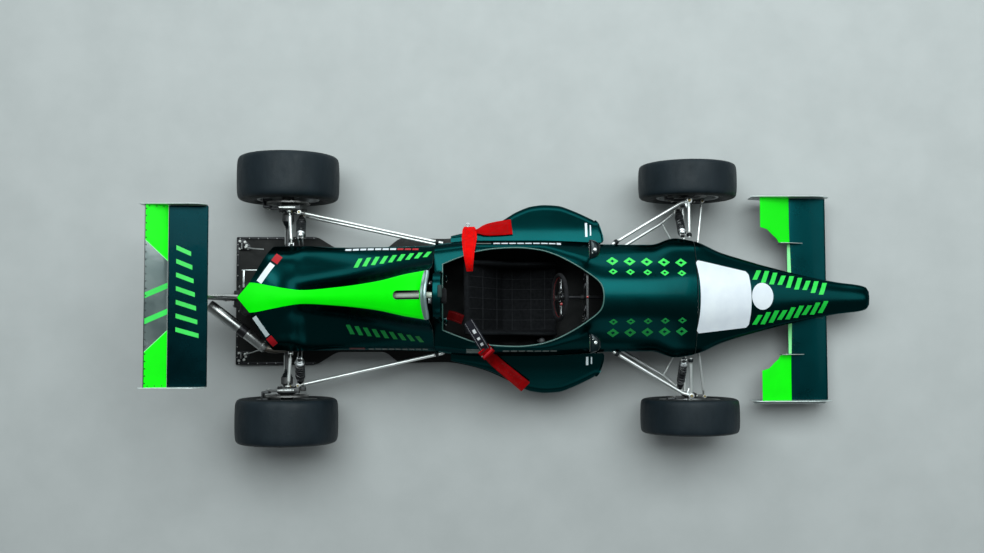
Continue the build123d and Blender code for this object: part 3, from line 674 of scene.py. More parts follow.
surface("radiator_fin", (0.060, 0.062, 0.064), (0.11, 0.11, 0.115), mottling=40, rough=(0.45, 0.65), metal=0.8, grain=(400, 0.3, 0.0005))
surface("mirror_glass", (0.82, 0.84, 0.85), (0.88, 0.89, 0.90), mottling=3, rough=(0.02, 0.05), metal=1.0, second=(12, 0.02, 0.0003))
surface("lamp_red", (0.30, 0.006, 0.006), (0.42, 0.010, 0.010), mottling=40, rough=(0.12, 0.2), coat=0.8, second=(300, 0.15, 0.0004))

# a darker copy of the white vinyl for the strips on the car's right side: painted shade
surface("vinyl_white_shaded", (0.46, 0.52, 0.54), (0.54, 0.60, 0.62), mottling=8, rough=(0.35, 0.5), spec=0.3, second=(150, 0.08, 0.0004))
surface("mirror_shell", (0.0008, 0.0075, 0.010), (0.001, 0.010, 0.013), mottling=6, rough=(0.18, 0.26), metal=0.5, coat=0.25, second=(160, 0.05, 0.0003))
# grey and red below draw the white and red lines on the car's right side darker, painted shade; the grey also draws one
# thin grey line on the left
surface("grey_and_shaded_white", (0.10, 0.13, 0.12), (0.15, 0.18, 0.17), mottling=30, rough=(0.4, 0.55), spec=0.25, second=(200, 0.06, 0.0003))
surface("red_shaded", (0.10, 0.004, 0.006), (0.14, 0.006, 0.008), mottling=30, rough=(0.4, 0.55), spec=0.25, second=(200, 0.06, 0.0003))
# the two greens below draw the neon marks on the car's right side darker, painted shade; the first also glows, a
# painted glow
surface("green_half_shade_glow", (0.006, 0.40, 0.035), (0.008, 0.49, 0.045), mottling=9, rough=(0.40, 0.52), spec=0.25, emit=0.06, second=(300, 0.06, 0.0003))
surface("green_shaded", (0.004, 0.16, 0.03), (0.006, 0.21, 0.04), mottling=9, rough=(0.40, 0.52), spec=0.25, second=(300, 0.06, 0.0003))
surface("thread_dark", (0.020, 0.021, 0.024), (0.035, 0.036, 0.040), mottling=200, rough=(0.7, 0.85), spec=0.15, second=(900, 0.3, 0.0003))
surface("case_dark", (0.020, 0.021, 0.022), (0.040, 0.041, 0.043), mottling=12, rough=(0.45, 0.65), metal=0.6, grain=(260, 0.4, 0.0010), dust=0.2, dust_top=0.4)
# the pale stay glows a little through emission: a painted glow
surface("stay_pale", (0.50, 0.56, 0.48), (0.60, 0.66, 0.57), mottling=10, rough=(0.35, 0.5), metal=0.2, grain=(260, 0.1, 0.0003), emit=0.06)

# studio floor
fl = bpy.data.meshes.new("studio_floor")
fl.from_pydata([(-60, -60, 0), (60, -60, 0), (60, 60, 0), (-60, 60, 0)], [], [(0, 1, 2, 3)])
floor = bpy.data.objects.new("studio_floor", fl)
SC.collection.objects.link(floor)
surface("studio_floor", (0.40, 0.41, 0.41), (0.43, 0.44, 0.44), mottling=3.0, rough=(0.6, 0.75), grain=(60, 0.15, 0.001))
fl.materials.append(MAT["studio_floor"])


# ---------------------------------------------------------------- body skin
# Columns: x, half width at the bottom, bottom z, widest half width, its z,
#          half width of the top crease, its z, ridge z
BODY = np.array([
    (850.0, 300.0, 42.0, 306.0, 400.0, 262.0, 548.0, 582.0),
    (1090.0, 318.0, 42.0, 324.0, 400.0, 286.0, 560.0, 598.0),
    (1430.0, 318.0, 42.0, 324.0, 400.0, 284.0, 560.0, 604.0),
    (1620.0, 308.0, 42.0, 318.0, 400.0, 236.0, 556.0, 606.0),
    (1797.0, 288.0, 42.0, 310.0, 400.0, 182.0, 546.0, 604.0),
    (2072.0, 280.0, 42.0, 308.0, 400.0, 180.0, 524.0, 580.0),
    (2200.0, 272.0, 46.0, 348.0, 398.0, 190.0, 508.0, 560.0),
    (2310.0, 262.0, 54.0, 330.0, 396.0, 204.0, 480.0, 540.0),
    (2470.0, 214.0, 72.0, 262.0, 372.0, 184.0, 440.0, 490.0),
    (2640.0, 172.0, 104.0, 210.0, 340.0, 156.0, 398.0, 436.0),
    (2858.0, 128.0, 172.0, 155.0, 296.0, 108.0, 345.0, 374.0),
    (3055.0, 92.0, 172.0, 112.0, 262.0, 76.0, 298.0, 320.0),
    (3186.0, 76.0, 172.0, 90.0, 240.0, 60.0, 270.0, 288.0),
    (3290.0, 66.0, 172.0, 78.0, 222.0, 50.0, 246.0, 260.0),
    (3340.0, 54.0, 174.0, 64.0, 210.0, 40.0, 230.0, 242.0),
    (3358.0, 30.0, 186.0, 38.0, 206.0, 22.0, 218.0, 224.0),
])
BODY_F = [smooth(BODY[:, 0], BODY[:, k]) for k in range(1, 8)]
BODY_CUT = [0, 0.10, 0.34, 0.45, 0.30, 0.45, 0.5]
COCKPIT = np.array([
    (900.0, 181.0), (1089.0, 251.0), (1202.0, 268.0), (1310.0, 272.0), (1429.0, 260.0),
    (1517.0, 234.0), (1611.0, 188.0), (1704.0, 128.0), (1766.0, 75.0), (1780.0, 30.0), (1784.0, 0.0),
])
TIP_X = 1784.0
EDGE_SQ = smooth([900, 1000, 1089, 1202, 1310, 1429, 1517, 1611, 1704, 1742, 1766, 1778, 1784],
                 [181.0 ** 2, 221.0 ** 2, 251.0 ** 2, 268.0 ** 2, 272.0 ** 2, 260.0 ** 2, 234.0 ** 2, 188.0 ** 2, 128.0 ** 2, 99.0 ** 2, 74.0 ** 2, 48.0 ** 2, 0.0])


def cockpit_edge(x):
    """Half width of the cockpit opening."""
    if x < 900 or x >= TIP_X:
        return 0.0
    return math.sqrt(max(0.0, float(EDGE_SQ(x))))


def body_half(x, swell=0.0):
    """Half section at x as dense points from the bottom centre to the top centre, and the crease index."""
    wb, zb, ws, zs, wc, zc, zt = [float(f(x)) for f in BODY_F]
    pts = [(0, zb), (wb, zb), (ws, zs), (ws + 0.42 * (wc - ws) + 8, zs + 0.55 * (zc - zs) + 4), (wc, zc),
           (0.5 * wc, zc + 0.82 * (zt - zc)), (0, zt), (-0.5 * wc, zc + 0.82 * (zt - zc))]
    P, mids = rounded(pts, BODY_CUT + [0], 12, 3)
    P = P[: mids[6] + 1]
    P[-1, 0] = 0.0
    return P, mids


def resample(P, s):
    """Points of a polyline at shares s of its length."""
    L = np.concatenate([[0], np.cumsum(np.linalg.norm(np.diff(P, axis=0), axis=1))])
    q = np.asarray(s) * L[-1]
    return np.stack([np.interp(q, L, P[:, k]) for k in range(P.shape[1])], 1)


def cut_at(P, k, value):
    """Splits a polyline where its coordinate k first passes the value; returns both parts."""
    for i in range(len(P) - 1):
        a, b = P[i, k], P[i + 1, k]
        if (a - value) * (b - value) <= 0 and a != b:
            t = (value - a) / (b - a)
            q = P[i] + t * (P[i + 1] - P[i])
            return np.vstack([P[: i + 1], q]), np.vstack([q, P[i + 1:]])
    return P, P[-1:]


def top_z(x, y):
    """Height of the body skin above (x, y), from its widest place upwards."""
    P, mids = body_half(float(x))
    T = P[mids[2]:]
    return float(np.interp(-abs(y), -T[:, 0], T[:, 1]))


SPLIT_Z = 330.0
N1, N2 = 16, 12
S1 = 1 - (1 - np.linspace(0, 1, N1)) ** 1.5
S2 = np.linspace(0, 1, N2) ** 1.35


def upper_row(x, edge=None):
    """Right half of the upper skin at x, from the split line to the opening's edge or the centre."""
    P, mids = body_half(x)
    crease = P[mids[4]]
    low, high = P[: mids[4] + 1], P[mids[4]:]
    _, low = cut_at(low, 1, SPLIT_Z)
    edge = cockpit_edge(x) if edge is None else edge
    if edge > 0:
        high, _ = cut_at(high, 0, edge)
    a, b = resample(low, S1), resample(high, S2)
    half = np.vstack([a, b[1:]])
    return np.column_stack([np.full(len(half), x), half])


def full_row(half):
    """Right half, then the left half mirrored, so the columns run right to left over the top."""
    right = half * np.array([1, -1, 1.0])
    return np.vstack([right, half[::-1]])


xs_front = np.concatenate([[1784.0], np.arange(1800, 2300, 20.0), [2307.0]])
xs_open = np.concatenate([[900.0], np.arange(920, 1700, 20.0), 1700 + 84 * np.sin(np.linspace(0, math.pi / 2, 14))])
rows = [full_row(upper_row(x, 0.0)) for x in (854.0, 868.0, 884.0, 900.0)]
rows += [full_row(upper_row(x)) for x in xs_open[:-1]]
rows += [full_row(upper_row(x, 0.0)) for x in xs_front]
G = np.array(rows)
C = G.shape[1]
mid = C // 2 - 1                                   # faces between the two halves
start_open, end_open = 4, 4 + len(xs_open) - 1     # rows of the opening


def surround_mask(i, j):
    if i == 3:
        return False                               # the step between the rear strip and the opening
    if j == mid:
        return not (start_open <= i < end_open)
    return True


# the hoop's legs come up through the rear strip, inside the cover
body = Piece("cockpit_surround_skin")
body.shell(G, 7.0, "paint", inner="inside_black", edge="trim", mask=surround_mask, core=(0, 300))


# rolled rim round the opening, in a light teal that is a painted highlight of the rolled edge
def rim_path():
    right = [(x, cockpit_edge(x)) for x in xs_open[:-1]]
    pts = []
    for x, y in right:
        pts.append((x, y, top_z(x, y)))
    tip = (TIP_X, 0.0, top_z(TIP_X, 0.0))
    left = [(x, -y, z) for x, y, z in reversed(pts)]
    back = [(900.0, y, top_z(900, y)) for y in np.linspace(-181, 181, 13)[1:-1]]
    return np.array(pts + [tip] + left + back)


RIM = rim_path()
body.tube(RIM + np.array([0, 0, 0.5]), 3.8, "rim_lip", 10, closed=True)
body.done("chassis", "cockpit_surround", "body_paint")

# ---- tub: lower sides, floor of the cockpit and both bulkheads
tub = Piece("chassis_tub_panels")
NB = 26


def lower_row(x, z_to=SPLIT_Z - 1.5):
    P, mids = body_half(x)
    low, _ = cut_at(P[: mids[4] + 1], 1, z_to)
    corner = mids[1]
    a, b = resample(low[: corner + 1], np.linspace(0, 1, 9)), resample(low[corner:], np.linspace(0, 1, 12) ** 1.3)
    half = np.vstack([a, b[1:]])
    right = half * np.array([-1, 1.0])
    both = np.vstack([right[::-1], half[1:]])
    return np.column_stack([np.full(len(both), x), both])


rows = [lower_row(x) for x in np.concatenate([[852.0], np.arange(880, 2300, 35.0), [2307.0]])]
G = np.array(rows)
cols = G.shape[1]
tub.shell(G, 12.0, "paint", inner="inside_black", edge="trim", core=(0, 420),
          by_face=lambda i, j: "floor_panel" if abs(j + 0.5 - (cols - 1) / 2) < 8.5 else "paint")
for x0, x1, top in ((853.0, 862.0, None), (2296.0, 2304.0, None)):
    P, _ = body_half((x0 + x1) / 2)
    half = resample(P, np.linspace(0, 1, 40))
    c = np.array([0, 300.0])
    half = c + (half - c) * 0.955
    ring = [tuple(p) for p in half[1:]] + [(-p[0], p[1]) for p in half[::-1][1:-1]]
    tub.prism(ring, "x", x0, x1, "inside_black", r=1.0)
tub.done("chassis", "chassis_tub", "body_paint")

# ---- nose cone, one closed skin to the tip
nose = Piece("nose_cone_skin")
xs = np.concatenate([[2313.0], np.arange(2330, 3180, 22.0), [3186.0, 3210, 3235, 3260, 3280, 3300, 3315, 3328, 3338, 3345, 3350, 3354, 3356.6]])


def nose_row(x):
    P, mids = body_half(x)
    low, high = P[: mids[4] + 1], P[mids[4]:]
    a = resample(low, 1 - (1 - np.linspace(0, 1, 24)) ** 1.25)
    b = resample(high, np.linspace(0, 1, 11) ** 1.3)
    half = np.vstack([a, b[1:]])
    left = half[:-1][::-1][:-1] * np.array([-1, 1.0])
    ring = np.vstack([half, left])
    return np.column_stack([np.full(len(ring), x), ring])


NOSE_END = nose_row(3357.6)
rows = [nose_row(x) for x in xs]
c = NOSE_END.mean(0)
rows += [c + (NOSE_END - c) * k + np.array([0.4 * (1 - k), 0, 0]) for k in (1.0, 0.8, 0.5, 0.2, 0.02)]
G = np.array(rows)
nose.shell(G, 6.0, "paint", inner="inside_black", edge="trim", closed=True, core=(0, 250))
nose.done("chassis", "nose_cone", "body_paint")


# ---------------------------------------------------------------- engine cover
# Columns: x, bottom z, bottom half width, side half width, its z, shoulder half width, its z,
#          valley half width, its z, spine edge half width, its z, spine z
COVER = np.array([
    (-232.0, 430.0, 120.0, 122.0, 440.0, 112.0, 470.0, 96.0, 530.0, 58.0, 552.0, 562.0),
    (-160.0, 430.0, 262.0, 264.0, 440.0, 212.0, 500.0, 140.0, 548.0, 82.0, 566.0, 578.0),
    (-40.0, 430.0, 290.0, 292.0, 444.0, 244.0, 530.0, 140.0, 574.0, 62.0, 592.0, 604.0),
    (60.0, 430.0, 292.0, 294.0, 444.0, 236.0, 528.0, 118.0, 570.0, 44.0, 616.0, 628.0),
    (140.0, 430.0, 292.0, 294.0, 444.0, 236.0, 494.0, 96.0, 552.0, 36.0, 636.0, 650.0),
    (330.0, 64.0, 288.0, 294.0, 430.0, 240.0, 496.0, 100.0, 566.0, 48.0, 706.0, 724.0),
    (560.0, 64.0, 288.0, 294.0, 440.0, 248.0, 520.0, 132.0, 600.0, 76.0, 800.0, 826.0),
    (720.0, 64.0, 290.0, 298.0, 440.0, 256.0, 536.0, 158.0, 640.0, 112.0, 858.0, 902.0),
    (850.0, 64.0, 294.0, 302.0, 440.0, 260.0, 544.0, 172.0, 660.0, 134.0, 890.0, 950.0),
])
COVER_F = [smooth(COVER[:, 0], COVER[:, k]) for k in range(1, 12)]
low_edge = smooth([-232, 140, 200, 260, 330, 850], [430, 430, 330, 160, 70, 64])
SLOT = (652.0, 794.0, 24.0)


def cover_half(x):
    zb, wb, wd, zd, wsh, zsh, wv, zv, wst, zst, zt = [float(f(x)) for f in COVER_F]
    zb = min(zd - 8, float(low_edge(x)))
    cap = (0.45 * wst, zst + 0.8 * (zt - zst))
    pts = [(wb, zb), (wd, zd), (wsh, zsh), (wv, zv), (wst, zst), cap, (0, zt), (-cap[0], cap[1])]
    P, mids = rounded(pts, [0, 0.42, 0.45, 0.42, 0.16, 0.44, 0.5, 0], 10, 3)
    P = P[: mids[6] + 1]
    P[-1, 0] = 0.0
    return P, mids


def slot_y(x):
    x0, x1, w = SLOT
    if x < 560:
        return w
    if x < x0:
        return w * (x0 - x) / (x0 - 560)
    if x < x0 + w:
        return math.sqrt(max(0.0, w * w - (x0 + w - x) ** 2))
    return w


CN = (9, 9, 8, 9, 8, 6)   # columns between the marks: side, shoulder, valley, spine edge, slot line, centre


def cover_row(x):
    P, mids = cover_half(x)
    marks = [P[: mids[1] + 1], P[mids[1]: mids[2] + 1], P[mids[2]: mids[3] + 1], P[mids[3]: mids[4] + 1]]
    top, centre = cut_at(P[mids[4]:], 0, max(slot_y(x), 0.0))
    if slot_y(x) <= 0.01:
        top, centre = P[mids[4]:], np.array([P[-1], P[-1]])
    spans = marks + [top, centre]
    out = [resample(spans[0], np.linspace(0, 1, CN[0]))]
    for k in range(1, 6):
        out.append(resample(spans[k], np.linspace(0, 1, CN[k]))[1:])
    half = np.vstack(out)
    return np.column_stack([np.full(len(half), x), half])


COLS = sum(CN) - 5
SPINE_COL = CN[0] + CN[1] + CN[2] + CN[3] - 4      # first column of the spine
SLOT_COL = SPINE_COL + CN[4] - 1


def rear_x(y):
    y = abs(y)
    return float(np.interp(y, [0, 80, 296, 400], [-230, -162, -50, -50]))


def rake_x(z):
    return 850.0 if z < 640 else 850.0 - 12.0 * (z - 640) / 330.0


ROWS_A = 44                                          # rows from the rear edge to the slot
ROW_X = list(SLOT[0] + 24 * (1 - np.cos(np.linspace(0, math.pi / 2, 7))))[1:] + list(np.arange(695, 790, 16.0)) + [794.0, 806.0, 815.0]
CACHE = {}


def cover_point(x, j):
    """Point of column j at x, from rows sampled every 4 mm."""
    k = (x + 232) / 4.0
    a = int(math.floor(k))
    out = []
    for q in (a, a + 1):
        xx = -232 + 4.0 * q
        if xx not in CACHE:
            CACHE[xx] = cover_row(min(xx, SLOT[0] - 1e-6) if xx > SLOT[0] - 2 and xx < SLOT[0] + 2 else xx)
        out.append(CACHE[xx][j])
    t = k - a
    p = out[0] * (1 - t) + out[1] * t
    p[0] = x
    return p


A = np.zeros((ROWS_A, COLS, 3))
for j in range(COLS):
    xr = -200.0
    for _ in range(40):
        xr = 0.5 * xr + 0.5 * rear_x(cover_point(max(xr, -232), j)[1])
    for i in range(ROWS_A):
        t = (i / (ROWS_A - 1)) ** 1.12
        A[i, j] = cover_point(xr + (SLOT[0] - xr) * t, j)
    A[-1, j] = cover_row(SLOT[0])[j]
rows = [A[i] for i in range(ROWS_A)] + [cover_row(x) for x in ROW_X]


def bowed(r, s):
    """Moves the last rows so that the mouth leans back towards its top."""
    for q in r:
        k = min(1.0, abs(q[1]) / 134.0) ** 2
        start, end = 799.0 + 21.0 * k, min(rake_x(q[2]), 829.0 + 21.0 * k)
        q[0] = 794.0 + (start - 794.0) * s if s <= 1 else start + (end - start) * (s - 1)
    return r


rows = rows[:-2]
for s in (0.5, 1.0, 1.15, 1.4, 1.65, 1.85, 2.0):
    rows.append(bowed(cover_row(794.0 + 28.0 * s), s))
half = np.array(rows)
G = np.concatenate([half * np.array([1, -1, 1.0]), half[:, ::-1]], axis=1)
C = 2 * COLS
slot_rows = range(ROWS_A - 1, ROWS_A - 1 + ROW_X.index(794.0) + 1)
lip_row = ROWS_A + len(ROW_X) - 1


def side_col(j):
    return j if j < COLS else C - 1 - j


def cover_mask(i, j):
    a, b = side_col(j), side_col(j + 1)
    inner = min(a, b) >= SLOT_COL
    return not (inner and i in slot_rows)


def cover_mat(i, j):
    a, b = side_col(j), side_col(j + 1)
    if i >= lip_row and min(a, b) >= SPINE_COL:
        return "lip_grey"
    return "neon" if min(a, b) >= SPINE_COL else "paint"


cover = Piece("engine_cover_skin")
cover.shell(G, 5.0, "paint", inner="inside_black", edge="trim", mask=cover_mask, core=(0, 300), by_face=cover_mat)
# rounded lip round the intake mouth
mouth = np.array([p for p in G[-1] if p[2] > 662])
arch = np.array([p for p in mouth if p[2] > 884])
cover.tube(mouth - np.array([4.0, 0, 3.0]), 5.0, "paint", 10)
cover.tube(arch - np.array([7.0, 0, 3.0]), 11.0, "lip_grey", 14)
cover.done("chassis", "engine_cover", "body_paint")


# ---------------------------------------------------------------- sidepods
POD = np.array([
    (940.0, 352.0), (1128.0, 402.0), (1222.0, 440.0), (1315.0, 497.0), (1402.0, 531.0), (1474.0, 539.0),
    (1550.0, 534.0), (1625.0, 508.0), (1700.0, 473.0), (1752.0, 446.0),
])
pod_edge = smooth(POD[:, 0], POD[:, 1])
pod_front = smooth([326, 345, 415, 438, 446], [1799, 1797.5, 1778, 1763, 1752])
pod_top = smooth([306, 380, 440, 500, 545, 600], [412, 394, 372, 346, 322, 292])
POD_IN = 325.0


def pod_in(x):
    """The inner edge follows the widest line of the body."""
    return min(POD_IN, float(BODY_F[2](x)) + 1.0)


def pod_row(x, yo):
    r = min(46.0, 0.55 * (yo - POD_IN))
    zt = float(pod_top(yo))
    ys = np.linspace(pod_in(x), yo - r, 15)
    top = [(y, float(pod_top(y))) for y in ys]
    za = top[-1][1]
    corner = (yo, za - 0.35 * r)
    side = (yo, zt - r * 0.9)
    turn = [tuple((1 - t) ** 2 * np.array(top[-1]) + 2 * t * (1 - t) * np.array(corner) + t * t * np.array(side)) for t in np.linspace(0, 1, 11)[1:]]
    zs = np.linspace(side[1], 62, 7)[1:]
    low = [(yo, z) for z in zs] + [(yo - 3, 50), (yo - 12, 43)]
    pts = np.array(top + turn + low)
    return np.column_stack([np.full(len(pts), x), pts])


rows = [pod_row(x, float(pod_edge(x))) for x in np.concatenate([np.arange(940, 1752, 18.0), [1752.0]])]
last = rows[-1]
FR = 11.0
for t in (0.35, 0.7, 1.0):
    r = last.copy()
    for k in range(len(r)):
        xe = float(pod_front(r[k, 1])) - FR
        r[k, 0] = 1752 + t * max(0.0, xe - 1752)
    rows.append(r)
for dx, dz in ((0.5 * FR, 0.13 * FR), (0.87 * FR, 0.5 * FR), (FR, FR)):
    base = last.copy()
    for k in range(len(base)):
        xe = float(pod_front(base[k, 1])) - FR
        step = min(1.0, max(0.0, (xe - 1752) / 12.0))
        base[k, 0] = 1752 + max(0.0, xe - 1752) + dx * step
        base[k, 2] -= dz * step if k < 16 else 0
    rows.append(base)
pod = Piece("sidepod_skins")
pod.shell(np.array(rows), 4.5, "paint", inner="inside_black", edge="trim", core=(330, 150))

# front face with the intake mouth
edge_y, edge_z = last[:26, 1], last[:26, 2] - np.where(np.arange(26) < 16, FR, 0.0)


def front_top(y):
    return float(np.interp(y, edge_y, edge_z))


MOUTH = (350.0, 412.0, 112.0, 334.0)
cy, cz = (MOUTH[0] + MOUTH[1]) / 2, (MOUTH[2] + MOUTH[3]) / 2
inner_loop = np.array(round_outline([(MOUTH[0], MOUTH[2]), (MOUTH[1], MOUTH[2]), (MOUTH[1], MOUTH[3] - 26), (MOUTH[0], MOUTH[3])], 20, 7))
ring = []
for y, z in inner_loop:
    dy, dz = y - cy, z - cz
    k = 1e9
    for lim, p, d in ((312.0, cy, dy), (446.0, cy, dy), (44.0, cz, dz), (440.0, cz, dz)):
        if d and (lim - p) / d > 0:
            k = min(k, (lim - p) / d)
    for _ in range(400):                    # the top edge slopes, and its outer corner is round
        if dz <= 0 or cz + dz * k <= front_top(cy + dy * k):
            break
        k -= 0.002 * k
    ring.append((cy + dy * k, cz + dz * k))
outer_loop = np.array(ring)


def on_front(P, back=0.0):
    return np.array([(float(pod_front(y)) - back, y, z) for y, z in P])


G = np.array([on_front(outer_loop * (1 - t) + inner_loop * t, 0.0 if t < 0.99 else 1.5) for t in (0, 0.35, 0.7, 0.92, 1.0)])
pod.shell(G, 4.5, "paint", inner="inside_black", edge="paint", closed=True, core=(380, 200), by_face=None)
pod.tube(on_front(inner_loop, 2.0), 4.5, "trim", 8, closed=True)
duct = np.array([on_front(cy * np.array([1, 0]) + np.array([0, cz]) + (inner_loop - np.array([cy, cz])) * k, b) for k, b in ((1.0, 6), (1.02, 60), (1.04, 150), (1.0, 235))])
pod.shell(duct, 2.0, "inside_black", closed=True, core=(cy, cz))
# lower sill, dzus fasteners along the sill
sill = np.array([(x, float(pod_edge(x)) - 2, 47.0) for x in np.arange(945, 1750, 15.0)])
pod.tube(sill, 4.0, "trim", 8)
for x in (1080, 1230, 1380, 1530, 1680):
    yo = float(pod_edge(x))
    d = (float(pod_edge(x + 5)) - yo) / 5
    pod.bolt((x, yo, 78.0), (-d, 1, 0), "anodised_black", 5.0, 2.2, hexed=False)
pod.mirror()
pod.done("chassis", ("left_sidepod", "right_sidepod"), "body_paint", sharp=42)

# ---------------------------------------------------------------- radiators
rad = Piece("radiator_cores")
R24 = rot_about((1500, 424, 200), (0, 0, 1), 24)
for k in range(58):
    z = 84 + k * 4.07
    rad.box(1487, 1513, 373, 475, z, z + 0.9, "radiator_fin", 0, R24)
for k in range(9):
    y = 378 + k * 11.5
    rad.box(1489, 1511, y - 1.5, y + 1.5, 78, 322, "radiator_fin", 0.6, R24)
for a, b in ((362, 374), (474, 486)):
    rad.box(1485.5, 1514.5, a, b, 76, 324, "alloy", 4, R24)
rad.box(1486, 1514, 372, 476, 75.5, 80, "alloy", 1.5, R24)
rad.box(1486, 1514, 372, 476, 320, 324.5, "alloy", 1.5, R24)
rad.mirror()
rad.done("chassis", "radiators", "engine_iron")

# ---------------------------------------------------------------- undertray
FLOOR = [
    (-351.0, 381.0), (130.0, 381.0), (250.0, 306.0), (540.0, 306.0), (620.0, 372.0), (930.0, 366.0),
    (1128.0, 410.0), (1315.0, 500.0), (1474.0, 545.0), (1560.0, 536.0), (1752.0, 446.0), (1800.0, 300.0),
    (2072.0, 282.0), (2200.0, 274.0), (2300.0, 262.0),
]
tray = Piece("undertray_panel")
plan = [(x, y) for x, y in FLOOR] + [(x, -y) for x, y in reversed(FLOOR)]
radii = [8, 30, 30, 30, 30, 60, 90, 90, 60, 50, 40, 20, 30, 30, 8]
tray.prism(round_outline(plan, radii + radii[::-1], 5), "z", 30.2, 41.8, "floor_panel", r=1.2, seg=2)
# edge strips and bolt rows on the exposed rear corners, corner brackets and thin stays
for s in (1, -1):
    tray.box(-346, 124, s * 372 - 7, s * 372 + 7, 41, 45, "anodised_black", 1)
    tray.box(-349, -335, min(s * 120, s * 372), max(s * 120, s * 372), 41, 45, "anodised_black", 1)
    for k in range(9):
        tray.bolt((-330 + k * 55, s * 372, 45), (0, 0, 1), "zinc", 3.4, 2.2, hexed=False)
    for k in range(4):
        tray.bolt((-342, s * (150 + k * 62), 45), (0, 0, 1), "zinc", 3.4, 2.2, hexed=False)
    # corner bracket: plate, upright lug and bolts
    out = round_outline([(-340, s * 300), (-268, s * 300), (-268, s * 330), (-300, s * 366), (-340, s * 366)][:: s], 8, 3)
    tray.prism(out, "z", 45, 48, "anodised_black", r=0.8)
    tray.box(-318, -310, min(s * 306, s * 344), max(s * 306, s * 344), 47, 74, "cast_alloy", 2.5)
    tray.box(-330, -282, s * 318 - 4, s * 318 + 4, 47, 66, "anodised_black", 2)
    for x, y in ((-330, 356), (-330, 312), (-282, 312), (-300, 350), (-290, 330)):
        tray.bolt((x, s * y, 48), (0, 0, 1), "zinc", 5.2, 5, washer="zinc")
    tray.tube([(-292, s * 318, 62), (-240, s * 306, 110), (-128, s * 282, 360)], 3.2, "steel_tube", 8)
    tray.bolt((-292, s * 318, 64), (0, 0, 1), "zinc", 6, 5, washer="zinc")
    # row of rivets along the sides of the flat floor
    for x in np.arange(640, 930, 42.0):
        tray.bolt((x, s * 352, 41.6), (0, 0, 1), "anodised_black", 4, 1.6, hexed=False)
    for x in np.arange(1840, 2290, 60.0):
        tray.bolt((x, s * (float(np.interp(x, [1800, 2072, 2200, 2300], [300, 282, 274, 262])) - 5), 41.6), (0, 0, 1), "anodised_black", 3.2, 1.4, hexed=False)
tray.done("chassis", "undertray", "floor_black")


# ---------------------------------------------------------------- wheels
RIM_R = 165.0
FRONT, REAR = (2300.0, 670.0, 281.0, 200.0, 24.0), (0.0, 692.5, 292.0, 260.0, 30.0)   # x, y, radius, width, shoulder


def holed_ring(p, at, r0, r1, n, R, rh, mat, thick, dish, phase=0.0, steps=28, t_rows=(0, 0.08, 0.35, 1.0), inner=None, edge=None, nholes=None):
    """Disc from radius r0 to r1 pierced by n round holes of radius rh at radius R; dish(r) gives the height along y."""
    cx, cy, cz = at
    w = R * math.pi / n
    V, F, M = [], [], []
    angs = list(np.linspace(0, 2 * math.pi, steps, endpoint=False))
    for sx, sy in ((1, 1), (1, -1), (-1, 1), (-1, -1)):
        rr_ = (r1 - R) if sx > 0 else (R - r0)
        angs.append(math.atan2(sy * w, sx * rr_) % (2 * math.pi))
    angs = sorted(set(round(a, 9) for a in angs))
    m = len(angs)
    for k in range(n):
        phi = phase + 2 * math.pi * k / n
        base = len(V)
        for t in t_rows:
            for a in angs:
                dr, ds = math.cos(a), math.sin(a)
                q = 1e9
                if dr > 1e-9:
                    q = min(q, (r1 - R) / dr)
                if dr < -1e-9:
                    q = min(q, (R - r0) / -dr)
                if abs(ds) > 1e-9:
                    q = min(q, w / abs(ds))
                d = rh + (q - rh) * t
                r = R + d * dr
                th = phi + d * ds / R
                V.append((cx + r * math.cos(th), cy + dish(r), cz + r * math.sin(th)))
        for i in range(len(t_rows) - 1):
            for j in range(m):
                F.append((base + i * m + j, base + (i + 1) * m + j, base + (i + 1) * m + (j + 1) % m, base + i * m + (j + 1) % m))
                M.append(mat)
    V, F, M = weld(np.array(V), F, M, 2e-2)
    nrm = vertex_normals(V, F)
    if nrm[:, 1].sum() < 0:
        F = [tuple(reversed(f)) for f in F]
        nrm = -nrm
    N = len(V)
    directed = {(a, b) for f in F for a, b in zip(f, f[1:] + f[:1])}
    sides = [(b, a, a + N, b + N) for (a, b) in directed if (b, a) not in directed]
    sides.sort()
    back = [tuple(i + N for i in reversed(f)) for f in F]
    V2 = V.copy()
    V2[:, 1] -= thick
    p.add(np.concatenate([V, V2]), F + back + sides, M + [inner or mat] * len(back) + [edge or mat] * len(sides))


